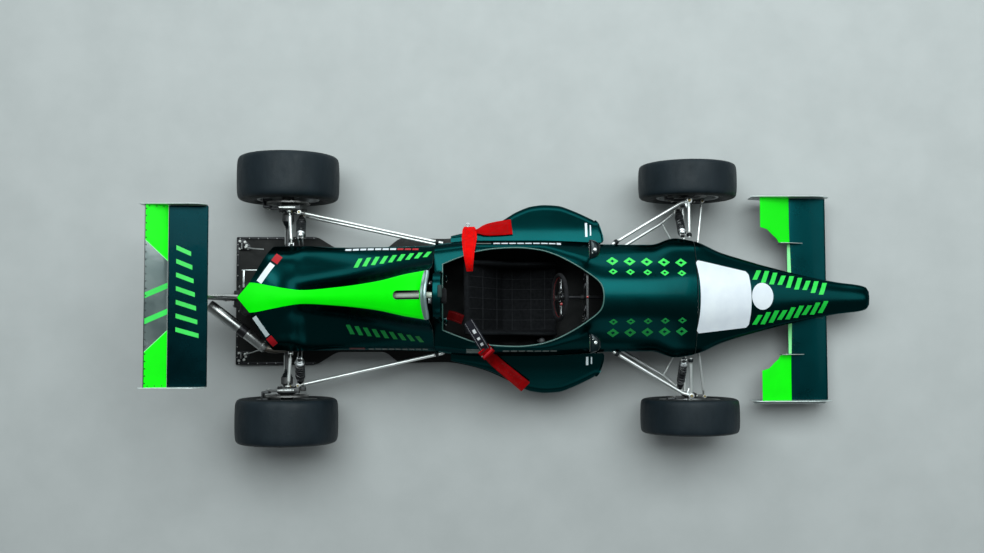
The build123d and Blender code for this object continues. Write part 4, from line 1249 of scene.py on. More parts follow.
def tyre(name, body_name, node_name, spec, side):
    x, y, r, w, s = spec
    a, b = y - w / 2, y + w / 2
    half = [(RIM_R + 0.5, a + 13.5), (RIM_R + 12, a + 12.6), (RIM_R + 18, a + 7), (RIM_R + 44, a + 1.2), (r - s * 1.7, a + 0.2), (r - s * 0.95, a + 3.0),
            (r - s * 0.34, a + s * 0.42), (r - 2.6, a + s * 1.15), (r - 0.6, a + w * 0.32), (r - 0.2, y)]
    pts = half + [(q, 2 * y - v) for q, v in half[:-1][::-1]]
    P, _ = rounded(pts, 0.46, 4, 1)
    # a fine moulding rib on each sidewall and a shallow wear step beside the shoulder
    P = P.copy()
    for k in range(len(P)):
        q, v = P[k]
        edge = min(v - a, b - v)
        if edge < 9 and RIM_R + 20 < q < r - 30:
            lift = 0.9 * max(0.0, math.cos((q - (RIM_R + 34)) / 3.2)) if abs(q - (RIM_R + 34)) < 5 else 0
            P[k, 1] += -lift if v < y else lift
    p = Piece(name)
    prof = [tuple(q) for q in P]
    mats = []
    loop = prof + [prof[0]]
    for k in range(len(loop) - 1):
        rm = (loop[k][0] + loop[k + 1][0]) / 2
        ym = (loop[k][1] + loop[k + 1][1]) / 2
        mats.append("tread" if rm > r - s * 0.75 and abs(ym - y) < w / 2 - s * 0.25 else "rubber")
    p.rev(loop, (x, 0, r), (0, 1, 0), mats, 144)
    for sgn in (1, -1):      # rim protector ribs, raised rings as on a moulded sidewall
        v = y + sgn * (w / 2 - 1.6)
        for rq, rad in ((RIM_R + 30, 1.7), (RIM_R + 52, 1.1), (r - s * 1.9, 1.2)):
            vv = y + sgn * (np.interp(rq, [RIM_R + 18, RIM_R + 44, r - s * 1.7], [w / 2 - 7.4, w / 2 - 1.5, w / 2 - 0.6]) - 0.2)
            ring_pts = [(x + rq * math.cos(t), vv, r + rq * math.sin(t)) for t in np.linspace(0, 2 * math.pi, 96, endpoint=False)]
            p.tube(ring_pts, rad, "rubber", 6, closed=True)
    if side < 0:
        V = np.concatenate(p.V) * np.array([1, -1, 1.0])
        p.V, p.F = [V], [tuple(reversed(f)) for f in p.F]
    p.done(body_name, node_name, "tyre_rubber", sharp=50)


def wheel(name, body_name, node_name, spec, side, rear):
    x, y, r, w, s = spec
    a, b = y - w / 2 + 12, y + w / 2 - 12
    web = y + w / 2 - 62
    p = Piece(name)
    c = (x, 0, r)
    out = [(RIM_R - 0.5, a + 2), (RIM_R + 11, a - 0.4), (RIM_R + 12, a - 2.2), (RIM_R + 10, a - 4), (RIM_R - 2, a - 4), (RIM_R - 7, a + 2), (RIM_R - 8.5, a + 18), (RIM_R - 14, a + 40),
           (RIM_R - 15, web - 20), (RIM_R - 11, web + 14), (RIM_R - 8, b - 12), (RIM_R - 6, b - 2), (RIM_R - 2, b + 4), (RIM_R + 10, b + 4), (RIM_R + 12, b + 2.2), (RIM_R + 11, b + 0.4), (RIM_R - 0.5, b - 2),
           (RIM_R - 2, b - 22), (RIM_R - 7, web + 10), (RIM_R - 9.5, web - 16), (RIM_R - 9.5, a + 40), (RIM_R - 3, a + 20), (RIM_R - 0.5, a + 2)]
    p.rev(out, c, (0, 1, 0), "rim_alloy", 96)
    dish = smooth([30, 50, 70, 104, 138, 156], [web + 9, web + 7.5, web + 4, web + 3.5, web + 8.5, web + 15])
    holed_ring(p, (x, 0, r), 44.0, RIM_R - 11.0, 8, 104.0, 25.0, "rim_alloy", 11.0, lambda q: float(dish(q)), math.radians(22.5), 32)
    # turned collar at each window
    for k in range(8):
        t = math.radians(22.5 + 45 * k)
        q = (x + 104 * math.cos(t), float(dish(104)) + 0.3, r + 104 * math.sin(t))
        ring_pts = [(q[0] + 26.2 * math.cos(u), q[1], q[2] + 26.2 * math.sin(u)) for u in np.linspace(0, 2 * math.pi, 28, endpoint=False)]
        p.tube(ring_pts, 1.6, "rim_alloy", 6, closed=True)
    # hub flange, centre cap, studs and nuts
    p.rev([(0, web - 12), (52, web - 12), (52, web + 5), (48, web + 9), (30, web + 10.5), (27, web + 13), (25, web + 13), (24, web + 12), (0, web + 12)], c, (0, 1, 0), "cast_alloy", 48)
    p.rev([(0, web + 12), (22, web + 12), (22, web + 13), (20, web + 13.8), (0, web + 13.9)], c, (0, 1, 0), "anodised_black", 36)
    for k in range(4):
        t = math.radians(90 * k)
        q = (x + 59 * math.cos(t), web + 5.6, r + 59 * math.sin(t))
        p.rev([(0, 0), (12, 0), (12, 1.6), (9.5, 2.2), (0, 2.2)], q, (0, 1, 0), "zinc", 20)
        p.rev([(0, 2.2), (9.4, 2.2), (9.4, 11), (8, 13), (5, 13), (5, 15), (4, 15.8), (0, 15.8)], q, (0, 1, 0), "zinc", 6)
    for k in range(8):       # small bolts that hold the rim halves
        t = math.radians(45 * k)
        p.bolt((x + 140 * math.cos(t), float(dish(140)) - 0.2, r + 140 * math.sin(t)), (0, 1, 0), "zinc", 4.0, 3.4)
        t = math.radians(45 * k + 22.5)
        p.bolt((x + 143 * math.cos(t), float(dish(143)) - 0.2, r + 143 * math.sin(t)), (0, 1, 0), "zinc", 4.0, 3.4)
    # valve
    t = math.radians(64)
    p.rev([(0, 0), (4, 0), (4, 4), (2.6, 6), (2.6, 20), (3.4, 21), (3.4, 27), (0, 28)], (x + 152 * math.cos(t), b - 26, r + 152 * math.sin(t)), (0.0, 1, 0), "black_plastic", 14)
    # hub barrel behind the web
    if rear:
        p.rev([(0, 541), (37, 541), (38, 545), (38, 556), (34, 566), (33, web - 12), (0, web - 12)], c, (0, 1, 0), "iron_dark", 40)
    else:
        p.rev([(15.4, 584), (35, 584), (36, 588), (36, 600), (31, 610), (30, web - 12), (0, web - 12), (0, 656), (15.4, 656)], c, (0, 1, 0), "iron_dark", 40)
    if side < 0:
        V = np.concatenate(p.V) * np.array([1, -1, 1.0])
        p.V, p.F = [V], [tuple(reversed(f)) for f in p.F]
    p.done(body_name, node_name, "rim_alloy")


def brake(name, body_name, node_name, spec, side, rear):
    x, y, r, w, s = spec
    p = Piece(name)
    y0, y1, r0, r1 = (546.2, 555.8, 39.0, 125.5) if rear else (586.2, 595.8, 37.0, 111.5)
    rm = (r0 + 34 + r1) / 2
    rs = r1 - 36 if rear else r1 - 34
    holed_ring(p, (x, 0, r), rs, r1, 32, (rs + r1) / 2, 3.0, "disc_rear" if rear else "disc_front", y1 - y0, lambda q: y1, 0, 12, (0, 0.3, 1.0))
    holed_ring(p, (x, 0, r), r0, rs - 1.2, 8, (r0 + rs) / 2, 8.5, "anodised_black", 6.0, lambda q: y1 - 1.8, math.radians(11), 20, (0, 0.2, 1.0))
    for k in range(8):
        t = 2 * math.pi * k / 8
        p.bolt((x + (rs - 3) * math.cos(t), y1 - 1.8, r + (rs - 3) * math.sin(t)), (0, 1, 0), "zinc", 4.2, 2.4, hexed=False)
    if side < 0:
        V = np.concatenate(p.V) * np.array([1, -1, 1.0])
        p.V, p.F = [V], [tuple(reversed(f)) for f in p.F]
    p.done(body_name, node_name, "brake_iron")


for nm, (cx_, cz_) in (("disc_front", ((2300 - S) / 1000, 0.281)), ("disc_rear", (-S / 1000, 0.292))):
    surface(nm, (0.26, 0.255, 0.25), (0.36, 0.355, 0.35), mottling=30, rough=(0.24, 0.38), metal=1.0, wave=("rings", 0.0016, 0.15, 0.0002), at=(-cx_, 0, -cz_))
for side_name, sg in (("left", 1), ("right", -1)):
    for end, spec in (("front", FRONT), ("rear", REAR)):
        tag = f"{side_name}_{end}"
        tyre(f"{tag}_slick", f"{tag}_wheel", f"{tag}_tyre", spec, sg)
        wheel(f"{tag}_wheel_rim", f"{tag}_wheel", f"{tag}_rim", spec, sg, end == "rear")
        brake(f"{tag}_disc", f"{tag}_wheel", f"{tag}_brake_disc", spec, sg, end == "rear")

# ---- driveshafts with bellows on the joints
for side_name, sg in (("left", 1), ("right", -1)):
    p = Piece(f"{side_name}_halfshaft")
    c = (0, 0, 292.0)
    p.rev([(0, 120), (40, 120), (42, 122), (42, 140), (40, 143), (40, 150), (41, 152), (41, 160), (39, 163), (26, 166), (0, 166)], c, (0, 1, 0), "iron_dark", 40)
    for k in range(6):
        t = math.radians(60 * k)
        p.bolt((33 * math.cos(t), 164, 292 + 33 * math.sin(t)), (0, 1, 0), "zinc", 4, 4)
    bell = [(39, 164)]
    for k in range(5):
        q = 38 - 4.6 * k
        bell += [(q, 168 + k * 9), (q - 5, 172 + k * 9)]
    bell += [(14.5, 214), (14.5, 224), (13, 225), (13, 164)]
    p.rev(bell, c, (0, 1, 0), "rubber", 40)
    p.rev([(13, 160), (13, 470), (0, 470), (0, 160)], c, (0, 1, 0), "iron_dark", 32)
    p.rev([(14.2, 214), (15.6, 214), (15.6, 220), (14.2, 220)], c, (0, 1, 0), "zinc", 32)
    bell = [(13, 400), (15, 400), (15, 410)]
    for k in range(4):
        q = 19 + 4.2 * k
        bell += [(q, 414 + k * 8), (q - 4.5, 418 + k * 8)]
    bell += [(33, 446), (33, 448), (13, 448)]
    p.rev(bell, c, (0, 1, 0), "rubber", 40)
    p.rev([(0, 446), (34, 446), (34, 482), (30, 486), (22, 490), (22, 540.5), (0, 540.5)], c, (0, 1, 0), "iron_dark", 40)
    if sg < 0:
        V = np.concatenate(p.V) * np.array([1, -1, 1.0])
        p.V, p.F = [V], [tuple(reversed(f)) for f in p.F]
    p.done(f"{side_name}_rear_wheel", f"{side_name}_driveshaft", "engine_iron")


# ---------------------------------------------------------------- wings
def foil(x0, z0, x1, z1, t, dense=4):
    """Section from the upper trailing edge round the nose to the lower trailing edge: chord shares and points."""
    pts = [(1, 0.0), (0.84, 0.11), (0.6, 0.17), (0.35, 0.15), (0.15, 0.06), (0.04, -0.04), (0.0, -0.22),
           (0.025, -0.50), (0.11, -0.78), (0.3, -1.0), (0.46, -0.96), (0.62, -0.74), (0.82, -0.42), (1, -0.14)]
    P, _ = rounded(pts, 0.46, dense, 0)
    d = np.array([x1 - x0, z1 - z0], float)
    n = np.array([-d[1], d[0]]) / np.linalg.norm(d)
    if n[1] < 0:
        n = -n
    Q = np.array([x0, z0]) + P[:, 0, None] * d + P[:, 1, None] * t * n
    return P[:, 0], Q


def wing_skin(p, sec, fields, end, under, pitch=26.0):
    """fields: (material, y at the nose, y at the trailing edge) from the right to the left; end: the last pair of y."""
    s, Q = sec
    nose = int(np.argmin(s))
    marks = [(f[1], f[2]) for f in fields] + [end]
    cols, mats = [], []
    for k, f in enumerate(fields):
        a, b = marks[k], marks[k + 1]
        n = max(1, int(round(max(abs(b[0] - a[0]), abs(b[1] - a[1])) / pitch)))
        for i in range(n):
            cols.append((a, b, i / n))
            mats.append(f[0])
    cols.append((marks[-2], marks[-1], 1.0))
    G = np.zeros((len(Q), len(cols), 3))
    for k in range(len(Q)):
        w = s[k]
        for j, (a, b, t) in enumerate(cols):
            ya = a[0] + (a[1] - a[0]) * w
            yb = b[0] + (b[1] - b[0]) * w
            G[k, j] = (Q[k, 0], ya + (yb - ya) * t, Q[k, 1])
    V = G.reshape(-1, 3)
    R, C = G.shape[:2]
    F = grid_faces(R, C)
    M = [mats[j] if i < nose - 1 else under for i in range(R - 1) for j in range(C - 1)]
    F += [((R - 1) * C + j, j, j + 1, (R - 1) * C + j + 1) for j in range(C - 1)]       # trailing edge
    M += [under] * (C - 1)
    F += [tuple(k * C for k in range(R)), tuple(k * C + C - 1 for k in range(R - 1, -1, -1))]
    M += [under, under]
    n = vertex_normals(V, F[: (R - 1) * (C - 1)])
    c = V.mean(0)
    if (n * (V - c))[:, 2].sum() < 0:
        F = [tuple(reversed(f)) for f in F]
    p.add(V, F, M)
    return G


def patch_on(p, sec, corners, mat, lift=0.6, n=6, m=6):
    """Thin vinyl on a wing's upper side: corners are (chord share, y) round the patch."""
    s, Q = sec
    nose = int(np.argmin(s))
    su, Qu = s[: nose + 1][::-1], Q[: nose + 1][::-1]
    G = np.zeros((n, m, 3))
    a, b, c, d = [np.array(q, float) for q in corners]
    for i in range(n):
        u = i / (n - 1)
        for j in range(m):
            v = j / (m - 1)
            q = (a * (1 - v) + b * v) * (1 - u) + (d * (1 - v) + c * v) * u
            G[i, j] = (np.interp(q[0], su, Qu[:, 0]), q[1], np.interp(q[0], su, Qu[:, 1]) + lift)
    return p.shell(G, 0.5, mat, core=(G[:, :, 1].mean(), G[:, :, 2].mean() - 400))


MAIN = foil(-328, 812, -532, 838, 24)
FLAP = foil(-529, 850, -636, 902, 11)
HS = 477.6
rw = Piece("rear_wing_main_skin")
wing_skin(rw, MAIN, [("wing_gloss", -HS, -HS)], (HS, HS), "wing_dark")
# seven slanted bars of growing length, a plain pattern
for k in range(7):
    y = -222 + k * 72
    lo, hi = 0.22 + 0.035 * k, 0.80
    patch_on(rw, MAIN, [(lo, y), (lo, y + 24), (hi, y + 58), (hi, y + 34)], "neon_soft", n=8, m=3)
rw.done("chassis", "rear_wing_main", "wing_paint", sharp=50)

rf = Piece("rear_wing_flap_skin")
# the flap's leading edge and underside are near-black: painted shade for the dark slot between flap and main plane
wing_skin(rf, FLAP, [
    ("neon", -HS, -HS), ("neon_pale", -182, -297), ("wing_grey", -178, -292), ("neon_soft", -96, -150), ("wing_grey", -66, -120),
    ("neon_soft", 40, -14), ("wing_grey", 70, 16), ("neon_pale", 180, 290), ("neon", 184, 295)], (HS, HS), "inside_black")
# small bolts along the raised lip at the trailing edge
rf.box(-639.2, -634.6, -HS, HS, 896.5, 903.2, "wing_dark", 0.8)
for k in range(25):
    y = -456 + k * 38
    rf.bolt((-630.5, y, 900.4), (0.45, 0, 1), "anodised_black", 3.6, 2.4, hexed=False)
for y in (-470, 470):
    for x, z in ((-552, 861), (-585, 878), (-618, 894)):
        rf.bolt((x, y, z), (0.45, 0, 1), "anodised_black", 3.6, 2.4, hexed=False)
rf.done("chassis", "rear_wing_flap", "flap_paint", sharp=50)

re = Piece("rear_wing_endplate_panels")
out = round_outline([(-666, 916), (-666, 770), (-634, 740), (-398, 740), (-331, 806), (-331, 870), (-370, 916)], [14, 26, 30, 26, 26, 26, 26], 6)
re.prism(out, "y", 478.2, 481.8, "plate_pale", r=1.0)
# rolled edges, doublers where the wings bolt on
re.tube([(x, 480, z) for x, z in out], 2.4, "edge_alloy", 8, closed=True)
for x0, z0, x1, z1, dx in ((-328, 812, -532, 838, 0), (-536, 852, -636, 902, 0)):
    L = math.hypot(x1 - x0, z1 - z0)
    for t in (0.14, 0.38, 0.64, 0.88) if L > 150 else (0.16, 0.52, 0.88):
        x, z = x0 + (x1 - x0) * t, z0 + (z1 - z0) * t - (6 if L > 150 else 2)
        re.bolt((x, 481.7, z), (0, 1, 0), "zinc", 5.0, 3.4, washer="zinc")
d = round_outline([(-352, 770), (-520, 770), (-560, 800), (-560, 846), (-352, 838)], 16, 4)
re.prism(d, "y", 481.6, 482.4, "plate_pale", r=0.3, seg=1)
re.mirror()
re.done("chassis", "rear_wing_endplates", "plate_alloy")

rp = Piece("rear_wing_post_plate")
POST = [(-300, 190), (-300, 330), (-330, 420), (-352, 790), (-500, 798), (-420, 420), (-372, 250), (-372, 190)]
po = round_outline(POST, [8, 40, 60, 10, 10, 60, 40, 8], 6)
rp.prism(po, "y", -5.8, 5.8, "cast_alloy", r=1.6)
# lightening pockets and the flanges of the post
for a in ([(-338, 352), (-352, 470), (-366, 640), (-400, 640), (-388, 470), (-378, 352)], [(-366, 664), (-372, 760), (-452, 764), (-424, 664)]):
    o = round_outline(a, 12, 5)
    for y in (5.8, -5.8):
        rp.tube([(x, y, z) for x, z in o], 1.6, "cast_alloy", 6, closed=True)
        oo = round_outline([(x + (sum(q[0] for q in a) / len(a) - x) * 0.10, z + (sum(q[1] for q in a) / len(a) - z) * 0.10) for x, z in a], 10, 5)
        rp.prism(oo, "y", y - 0.4 if y > 0 else y - 0.5, y + 0.5 if y > 0 else y + 0.4, "anodised_black", r=0.2, seg=1)
rp.box(-501, -351, -40, 40, 788, 799, "cast_alloy", 2.5)
rp.prism(round_outline([(-348, 799), (-504, 799), (-504, 812), (-430, 824), (-360, 806)], 2, 2), "y", -34, -26, "cast_alloy", r=0.8)
rp.prism(round_outline([(-348, 799), (-504, 799), (-504, 812), (-430, 824), (-360, 806)], 2, 2), "y", 26, 34, "cast_alloy", r=0.8)
for x in (-366, -426, -486):
    for y in (-20, 20):
        rp.bolt((x, y, 787.6), (0, 0, -1), "zinc", 5, 4)
# towing eye
eye = [(-340 + 28 * math.cos(t), 0, 225 + 28 * math.sin(t)) for t in np.linspace(0, 2 * math.pi, 36, endpoint=False)]
rp.tube(eye, 6.5, "vinyl_red", 10, closed=True)
for x, z in ((-312, 205), (-312, 316), (-362, 268), (-328, 350)):
    for sgn in (1, -1):
        rp.bolt((x, sgn * 5.6, z), (0, sgn, 0), "zinc", 6, 4.5, washer="zinc")
rp.done("chassis", "rear_wing_post", "plate_alloy")

# ---- front wing
FM = foil(3145, 112, 2903, 150, 26)
FF = foil(2916, 166, 2732, 214, 9)
fw = Piece("front_wing_main_skin")
FH = 589.6
wing_skin(fw, FM, [("wing_teal", -FH, -FH)], (FH, FH), "wing_dark")
for y in (-56, 56):
    fw.prism(round_outline([(2960, 128), (2975, 172), (3070, 172), (3080, 124)], 6, 3), "y", y - 13, y + 13, "cast_alloy", r=2)
# pale strip along the trailing edge between the flap and the body, and the seam of the nose mount
for s0 in (1, -1):
    patch_on(fw, FM, [(0.995, s0 * 112), (0.995, s0 * 321), (0.925, s0 * 321), (0.90, s0 * 112)], "neon_pale", n=4, m=8)
    for k in range(5):
        y = s0 * (150 + k * 40)
        fw.bolt((2936, y, 147.2), (0.1, 0, 1), "anodised_black", 3.0, 1.6, hexed=False)
    patch_on(fw, FM, [(0.10, s0 * 110), (0.10, s0 * 113), (0.78, s0 * 113), (0.78, s0 * 110)], "trim", lift=0.4, n=8, m=2)
fw.done("chassis", "front_wing_main", "wing_paint", sharp=50)

ff = Piece("front_wing_flap_skins")
s, Q = FF
nose_i = int(np.argmin(s))
ys = np.concatenate([np.linspace(328, 417, 16), np.linspace(417, 589.6, 9)[1:]])
G = np.zeros((len(s), len(ys), 3))
for j, y in enumerate(ys):
    te = float(np.interp(y, [326, 350, 368, 405, 417, 590], [2850, 2836, 2815, 2776, 2734, 2734]))
    k0 = (2916 - te) / (2916 - 2732)
    for k in range(len(s)):
        u = s[k] * k0
        z = np.interp(u, [0, 1], [166, 214])
        # keep the thickness profile, with a shorter chord towards the body
        off = Q[k, 1] - np.interp(s[k], [0, 1], [166, 214])
        G[k, j] = (2916 + (2732 - 2916) * u, y, z + off)
V = G.reshape(-1, 3)
R, C = G.shape[:2]
F = grid_faces(R, C)
M = ["neon" if i < nose_i - 1 else "wing_dark" for i in range(R - 1) for j in range(C - 1)]
F += [((R - 1) * C + j, j, j + 1, (R - 1) * C + j + 1) for j in range(C - 1)]
M += ["wing_dark"] * (C - 1)
F += [tuple(k * C for k in range(R)), tuple(k * C + C - 1 for k in range(R - 1, -1, -1))]
M += ["neon", "wing_dark"]
n = vertex_normals(V, F[: (R - 1) * (C - 1)])
if (n * (V - V.mean(0)))[:, 2].sum() < 0:
    F = [tuple(reversed(f)) for f in F]
ff.add(V, F, M)
# two adjusters that hold the flap over the main plane
for y in (372, 560):
    ff.box(2880, 2900, y - 4, y + 4, 158, 170, "cast_alloy", 2)
# fence against the body side of the flap
fo = round_outline([(2846, 160), (2990, 152), (2990, 176), (2900, 218), (2846, 232)], [6, 6, 8, 20, 10], 5)
ff.prism(fo, "y", 322.2, 325.8, "plate_dark", r=0.9)
ff.tube([(2847, 324, 230.6), (2872, 324, 225.4), (2900, 324, 217), (2944, 324, 197.5), (2987, 324, 177)], 1.7, "edge_alloy", 8)
ff.bolt((2880, 326, 190), (0, 1, 0), "zinc", 4, 3)
ff.bolt((2880, 322, 190), (0, -1, 0), "zinc", 4, 3)
ff.mirror()
ff.done("chassis", "front_wing_flaps", "flap_paint", sharp=50)

fe = Piece("front_wing_endplate_panels")
out = round_outline([(2686, 236), (2686, 96), (2760, 60), (3090, 60), (3144, 96), (3144, 200), (3060, 250), (2720, 250)], [14, 26, 40, 40, 26, 40, 40, 16], 6)
fe.prism(out, "y", 590.3, 594.7, "plate_pale", r=1.2)
fe.tube([(x, 592.5, z) for x, z in out], 2.5, "edge_alloy", 8, closed=True)
# rubbing strip below and a folded foot along the outside
fe.prism(round_outline([(2764, 62), (3086, 62), (3080, 52), (2770, 52)], 3, 2), "y", 589, 595, "black_plastic", r=0.8)
foot = round_outline([(2700, 594), (2716, 612), (3126, 612), (3142, 594)], [3, 10, 10, 3], 4)
fe.prism(foot, "z", 96, 99.5, "plate_pale", r=0.8)
fe.tube([(2704, 611.6, 97.8), (3138, 611.6, 97.8)], 2.2, "edge_alloy", 8)
for x, z in ((2770, 197), (2826, 184), (2886, 170), (2940, 138), (3010, 128), (3080, 118), (3126, 112)):
    fe.bolt((x, 594.6, z), (0, 1, 0), "zinc", 5, 3.4, washer="zinc")
fe.mirror()
fe.done("chassis", "front_wing_endplates", "plate_alloy")


# ---------------------------------------------------------------- joints of rods
def ball(p, at, r, mat, n=16):
    a = np.linspace(-math.pi / 2, math.pi / 2, 9)
    p.rev([(max(0.0, r * math.cos(t)), r * math.sin(t)) for t in a], at, (0, 0, 1), mat, n)


def unit(v):
    v = np.asarray(v, float)
    return v / np.linalg.norm(v)


def rod_end(p, at, toward, pin, r=9.0, length=42.0, bolt_len=13.0):
    """Spherical rod end at a point: eye round a pin, threaded shank and lock nut towards the rod."""
    at, d, pin = np.asarray(at, float), unit(np.asarray(toward, float) - np.asarray(at, float)), unit(pin)
    p.rev([(r * 0.62, -r * 0.55), (r * 1.35, -r * 0.5), (r * 1.45, 0), (r * 1.35, r * 0.5), (r * 0.62, r * 0.55), (r * 0.62, -r * 0.55)], at, pin, "zinc", 20)
    ball(p, at, r * 0.85, "steel_tube", 14)
    p.rev([(0, -bolt_len), (r * 0.5, -bolt_len), (r * 0.5, bolt_len), (0, bolt_len)], at, pin, "zinc", 12)
    for s in (1, -1):
        p.bolt(at + pin * s * (bolt_len - 3), pin * s, "bronze_bolt" if s > 0 else "zinc", r * 0.72, 6, washer="zinc")
    a, b = at + d * r * 1.2, at + d * length
    p.tube([a, b], r * 0.62, "zinc", 12)
    c = at + d * (length - 12)
    p.rev([(0, 0), (r * 1.18, 0), (r * 1.18, 7), (0, 7)], c, d, "zinc", 6)


def coil(p, a, b, r, wire, turns, mat, n=26, sides=8):
    a, b = np.asarray(a, float), np.asarray(b, float)
    d = unit(b - a)
    ref = np.array([0, 0, 1.0]) if abs(d[2]) < 0.9 else np.array([1.0, 0, 0])
    u = unit(ref - d * np.dot(ref, d))
    v = np.cross(d, u)
    N = int(turns * n)
    P = []
    L = np.linalg.norm(b - a)
    for k in range(N + 1):
        t = k / N
        h = wire + (L - 2 * wire) * float(np.clip((t * turns - 0.75) / (turns - 1.5), 0, 1) * 0.94 + 0.03 * (t > 0.02) + 0.03 * t)
        th = 2 * math.pi * turns * t
        P.append(a + d * h + r * (math.cos(th) * u + math.sin(th) * v))
    p.tube(P, wire, mat, sides)


def coilover(p, a, b, rs, rb, rr, pin=(1, 0, 0)):
    a, b = np.asarray(a, float), np.asarray(b, float)
    d = unit(b - a)
    L = np.linalg.norm(b - a)
    wire = 4.2
    # lower eye, threaded body with rings, rod, upper eye
    for q, s in ((a, 1), (b, -1)):
        p.rev([(5, -9), (rr + 4, -9), (rr + 5, -7), (rr + 5, 7), (rr + 4, 9), (5, 9), (5, -9)], q, pin, "black_paint", 24)
        p.rev([(0, -15), (5.4, -15), (5.4, 15), (0, 15)], q, pin, "zinc", 12)
        p.bolt(q + unit(pin) * 12, pin, "zinc", 7, 5, washer="zinc")
        p.bolt(q - unit(pin) * 12, -unit(pin), "zinc", 7, 5, washer="zinc")
    s0, s1 = 0.24 * L, L - 38
    p.rev([(0, rr), (rr + 2, rr), (rb - 5, 22), (rb - 3, 26), (rb - 3, 0.5 * L), (rb - 7, 0.5 * L + 6), (8, 0.5 * L + 7), (0, 0.5 * L + 7)], a, d, "anodised_black", 28)
    for k in range(14):
        z = 30 + k * (0.42 * L - 30) / 13
        p.rev([(rb - 4, z), (rb - 2.2, z + 1.2), (rb - 4, z + 2.4)], a, d, "anodised_black", 24)
    p.tube([a + d * 0.45 * L, b - d * 14], 6.0, "steel_tube", 14)
    p.rev([(6, L - 64), (11, L - 62), (13, L - 52), (11, L - 44), (6, L - 42)], a, d, "rubber", 20)
    # perches
    p.rev([(rb - 3, s0 - 9), (rs - 1, s0 - 9), (rs + 0.5, s0 - 6), (rs + 0.5, s0), (rb - 3, s0), (rb - 3, s0 - 9)], a, d, "alloy", 28)
    p.rev([(rb - 3, s0 - 17), (rs - 3, s0 - 17), (rs - 3, s0 - 11), (rb - 3, s0 - 11), (rb - 3, s0 - 17)], a, d, "anodised_black", 8)
    p.rev([(0, s1), (rs, s1), (rs + 0.5, s1 + 3), (rs - 3, s1 + 8), (11, s1 + 13), (9, s1 + 24), (0, s1 + 24)], a, d, "alloy", 28)
    coil(p, a + d * s0, a + d * s1, rs - wire, wire, 7.5, "spring_black")


# ---------------------------------------------------------------- front suspension
up = Piece("front_upper_arms")
K = np.array([2292.0, 552.0, 0.0])
up.bend([(1852, 301.5, 402), (2240, 536, 386), (2290, 550, 386)], 8.8, "steel_tube", 18, cut=0.12)
up.tube([(2288, 340, 402), (2290, 540, 386.6)], 8.8, "steel_tube", 18)
up.rev([(0, -9), (15.5, -9), (17, -7.4), (17, 7.4), (15.5, 9), (0, 9)], (2292, 552, 386), (0, 0, 1), "alloy", 28)
up.rev([(0, 0), (12.4, 0), (12.4, 2), (10.6, 2.6), (0, 2.6)], (2292, 552, 395), (0, 0, 1), "zinc", 24)
up.bolt((2292, 552, 397), (0, 0, 1), "bronze_bolt", 8.4, 8)
# welded gusset between the two tubes
up.prism(round_outline([(2264, 543), (2282, 546), (2282, 512), (2276, 508)], 4, 3), "z", 383.5, 388.5, "steel_tube", r=0.8)
for a, d in (((1876, 316, 401.0), (388, 234.5, -16)), ((2288.2, 356, 400.7), (0.02, 200, -14))):
    u = unit(d)
    up.rev([(8.8, -11), (14, -11), (15, -8), (15, 3), (12, 8), (8.8, 9)], np.array(a), u, "rubber", 24)
    up.rev([(8.8, 9), (11.8, 9), (11.8, 17), (8.8, 17)], np.array(a), u, "zinc", 6)
up.mirror()
up.done("chassis", "front_upper_wishbones", "tube_steel")

lo = Piece("front_lower_arms")
lo.bend([(1902, 283, 150), (2170, 446, 150), (2290, 551, 150)], 8.8, "steel_tube", 18, cut=0.06)
lo.tube([(2300, 270, 150), (2293, 540, 150)], 8.8, "steel_tube", 18)
lo.tube([(2170, 446, 150), (2262, 274, 150)], 5.8, "steel_tube", 12)
ball(lo, (2170, 446, 150), 10.5, "steel_tube")
lo.rev([(0, -9), (15.5, -9), (17, -7.4), (17, 7.4), (15.5, 9), (0, 9)], (2292, 552, 150), (0, 0, 1), "alloy", 28)
lo.rev([(0, 0), (12.4, 0), (12.4, 2), (10.6, 2.6), (0, 2.6)], (2292, 552, 141), (0, 0, -1), "zinc", 24)
lo.bolt((2292, 552, 139), (0, 0, -1), "bronze_bolt", 8.4, 8)
lo.prism(round_outline([(2252, 517), (2283, 544), (2284, 506), (2276, 500)], 4, 3), "z", 147.5, 152.5, "steel_tube", r=0.8)
# bracket that carries the damper's foot
lo.prism(round_outline([(2244, 524), (2244, 496), (2282, 496), (2284, 524)], 4, 3), "z", 155, 159.5, "steel_tube", r=0.8)
for x in (2251, 2273.4):
    lo.prism(round_outline([(498, 159), (526, 159), (519, 188), (505, 188)], 5, 3), "x", x - 2, x + 2, "steel_tube", r=0.6)
for a, d in (((1922, 295.2, 150), (268, 163, 0)), ((2299.6, 286, 150), (-8, 281, 0))):
    u = unit(d)
    lo.rev([(8.8, -11), (14, -11), (15, -8), (15, 3), (12, 8), (8.8, 9)], np.array(a), u, "rubber", 24)
    lo.rev([(8.8, 9), (11.8, 9), (11.8, 17), (8.8, 17)], np.array(a), u, "zinc", 6)
lo.mirror()
lo.done("chassis", "front_lower_wishbones", "tube_steel")

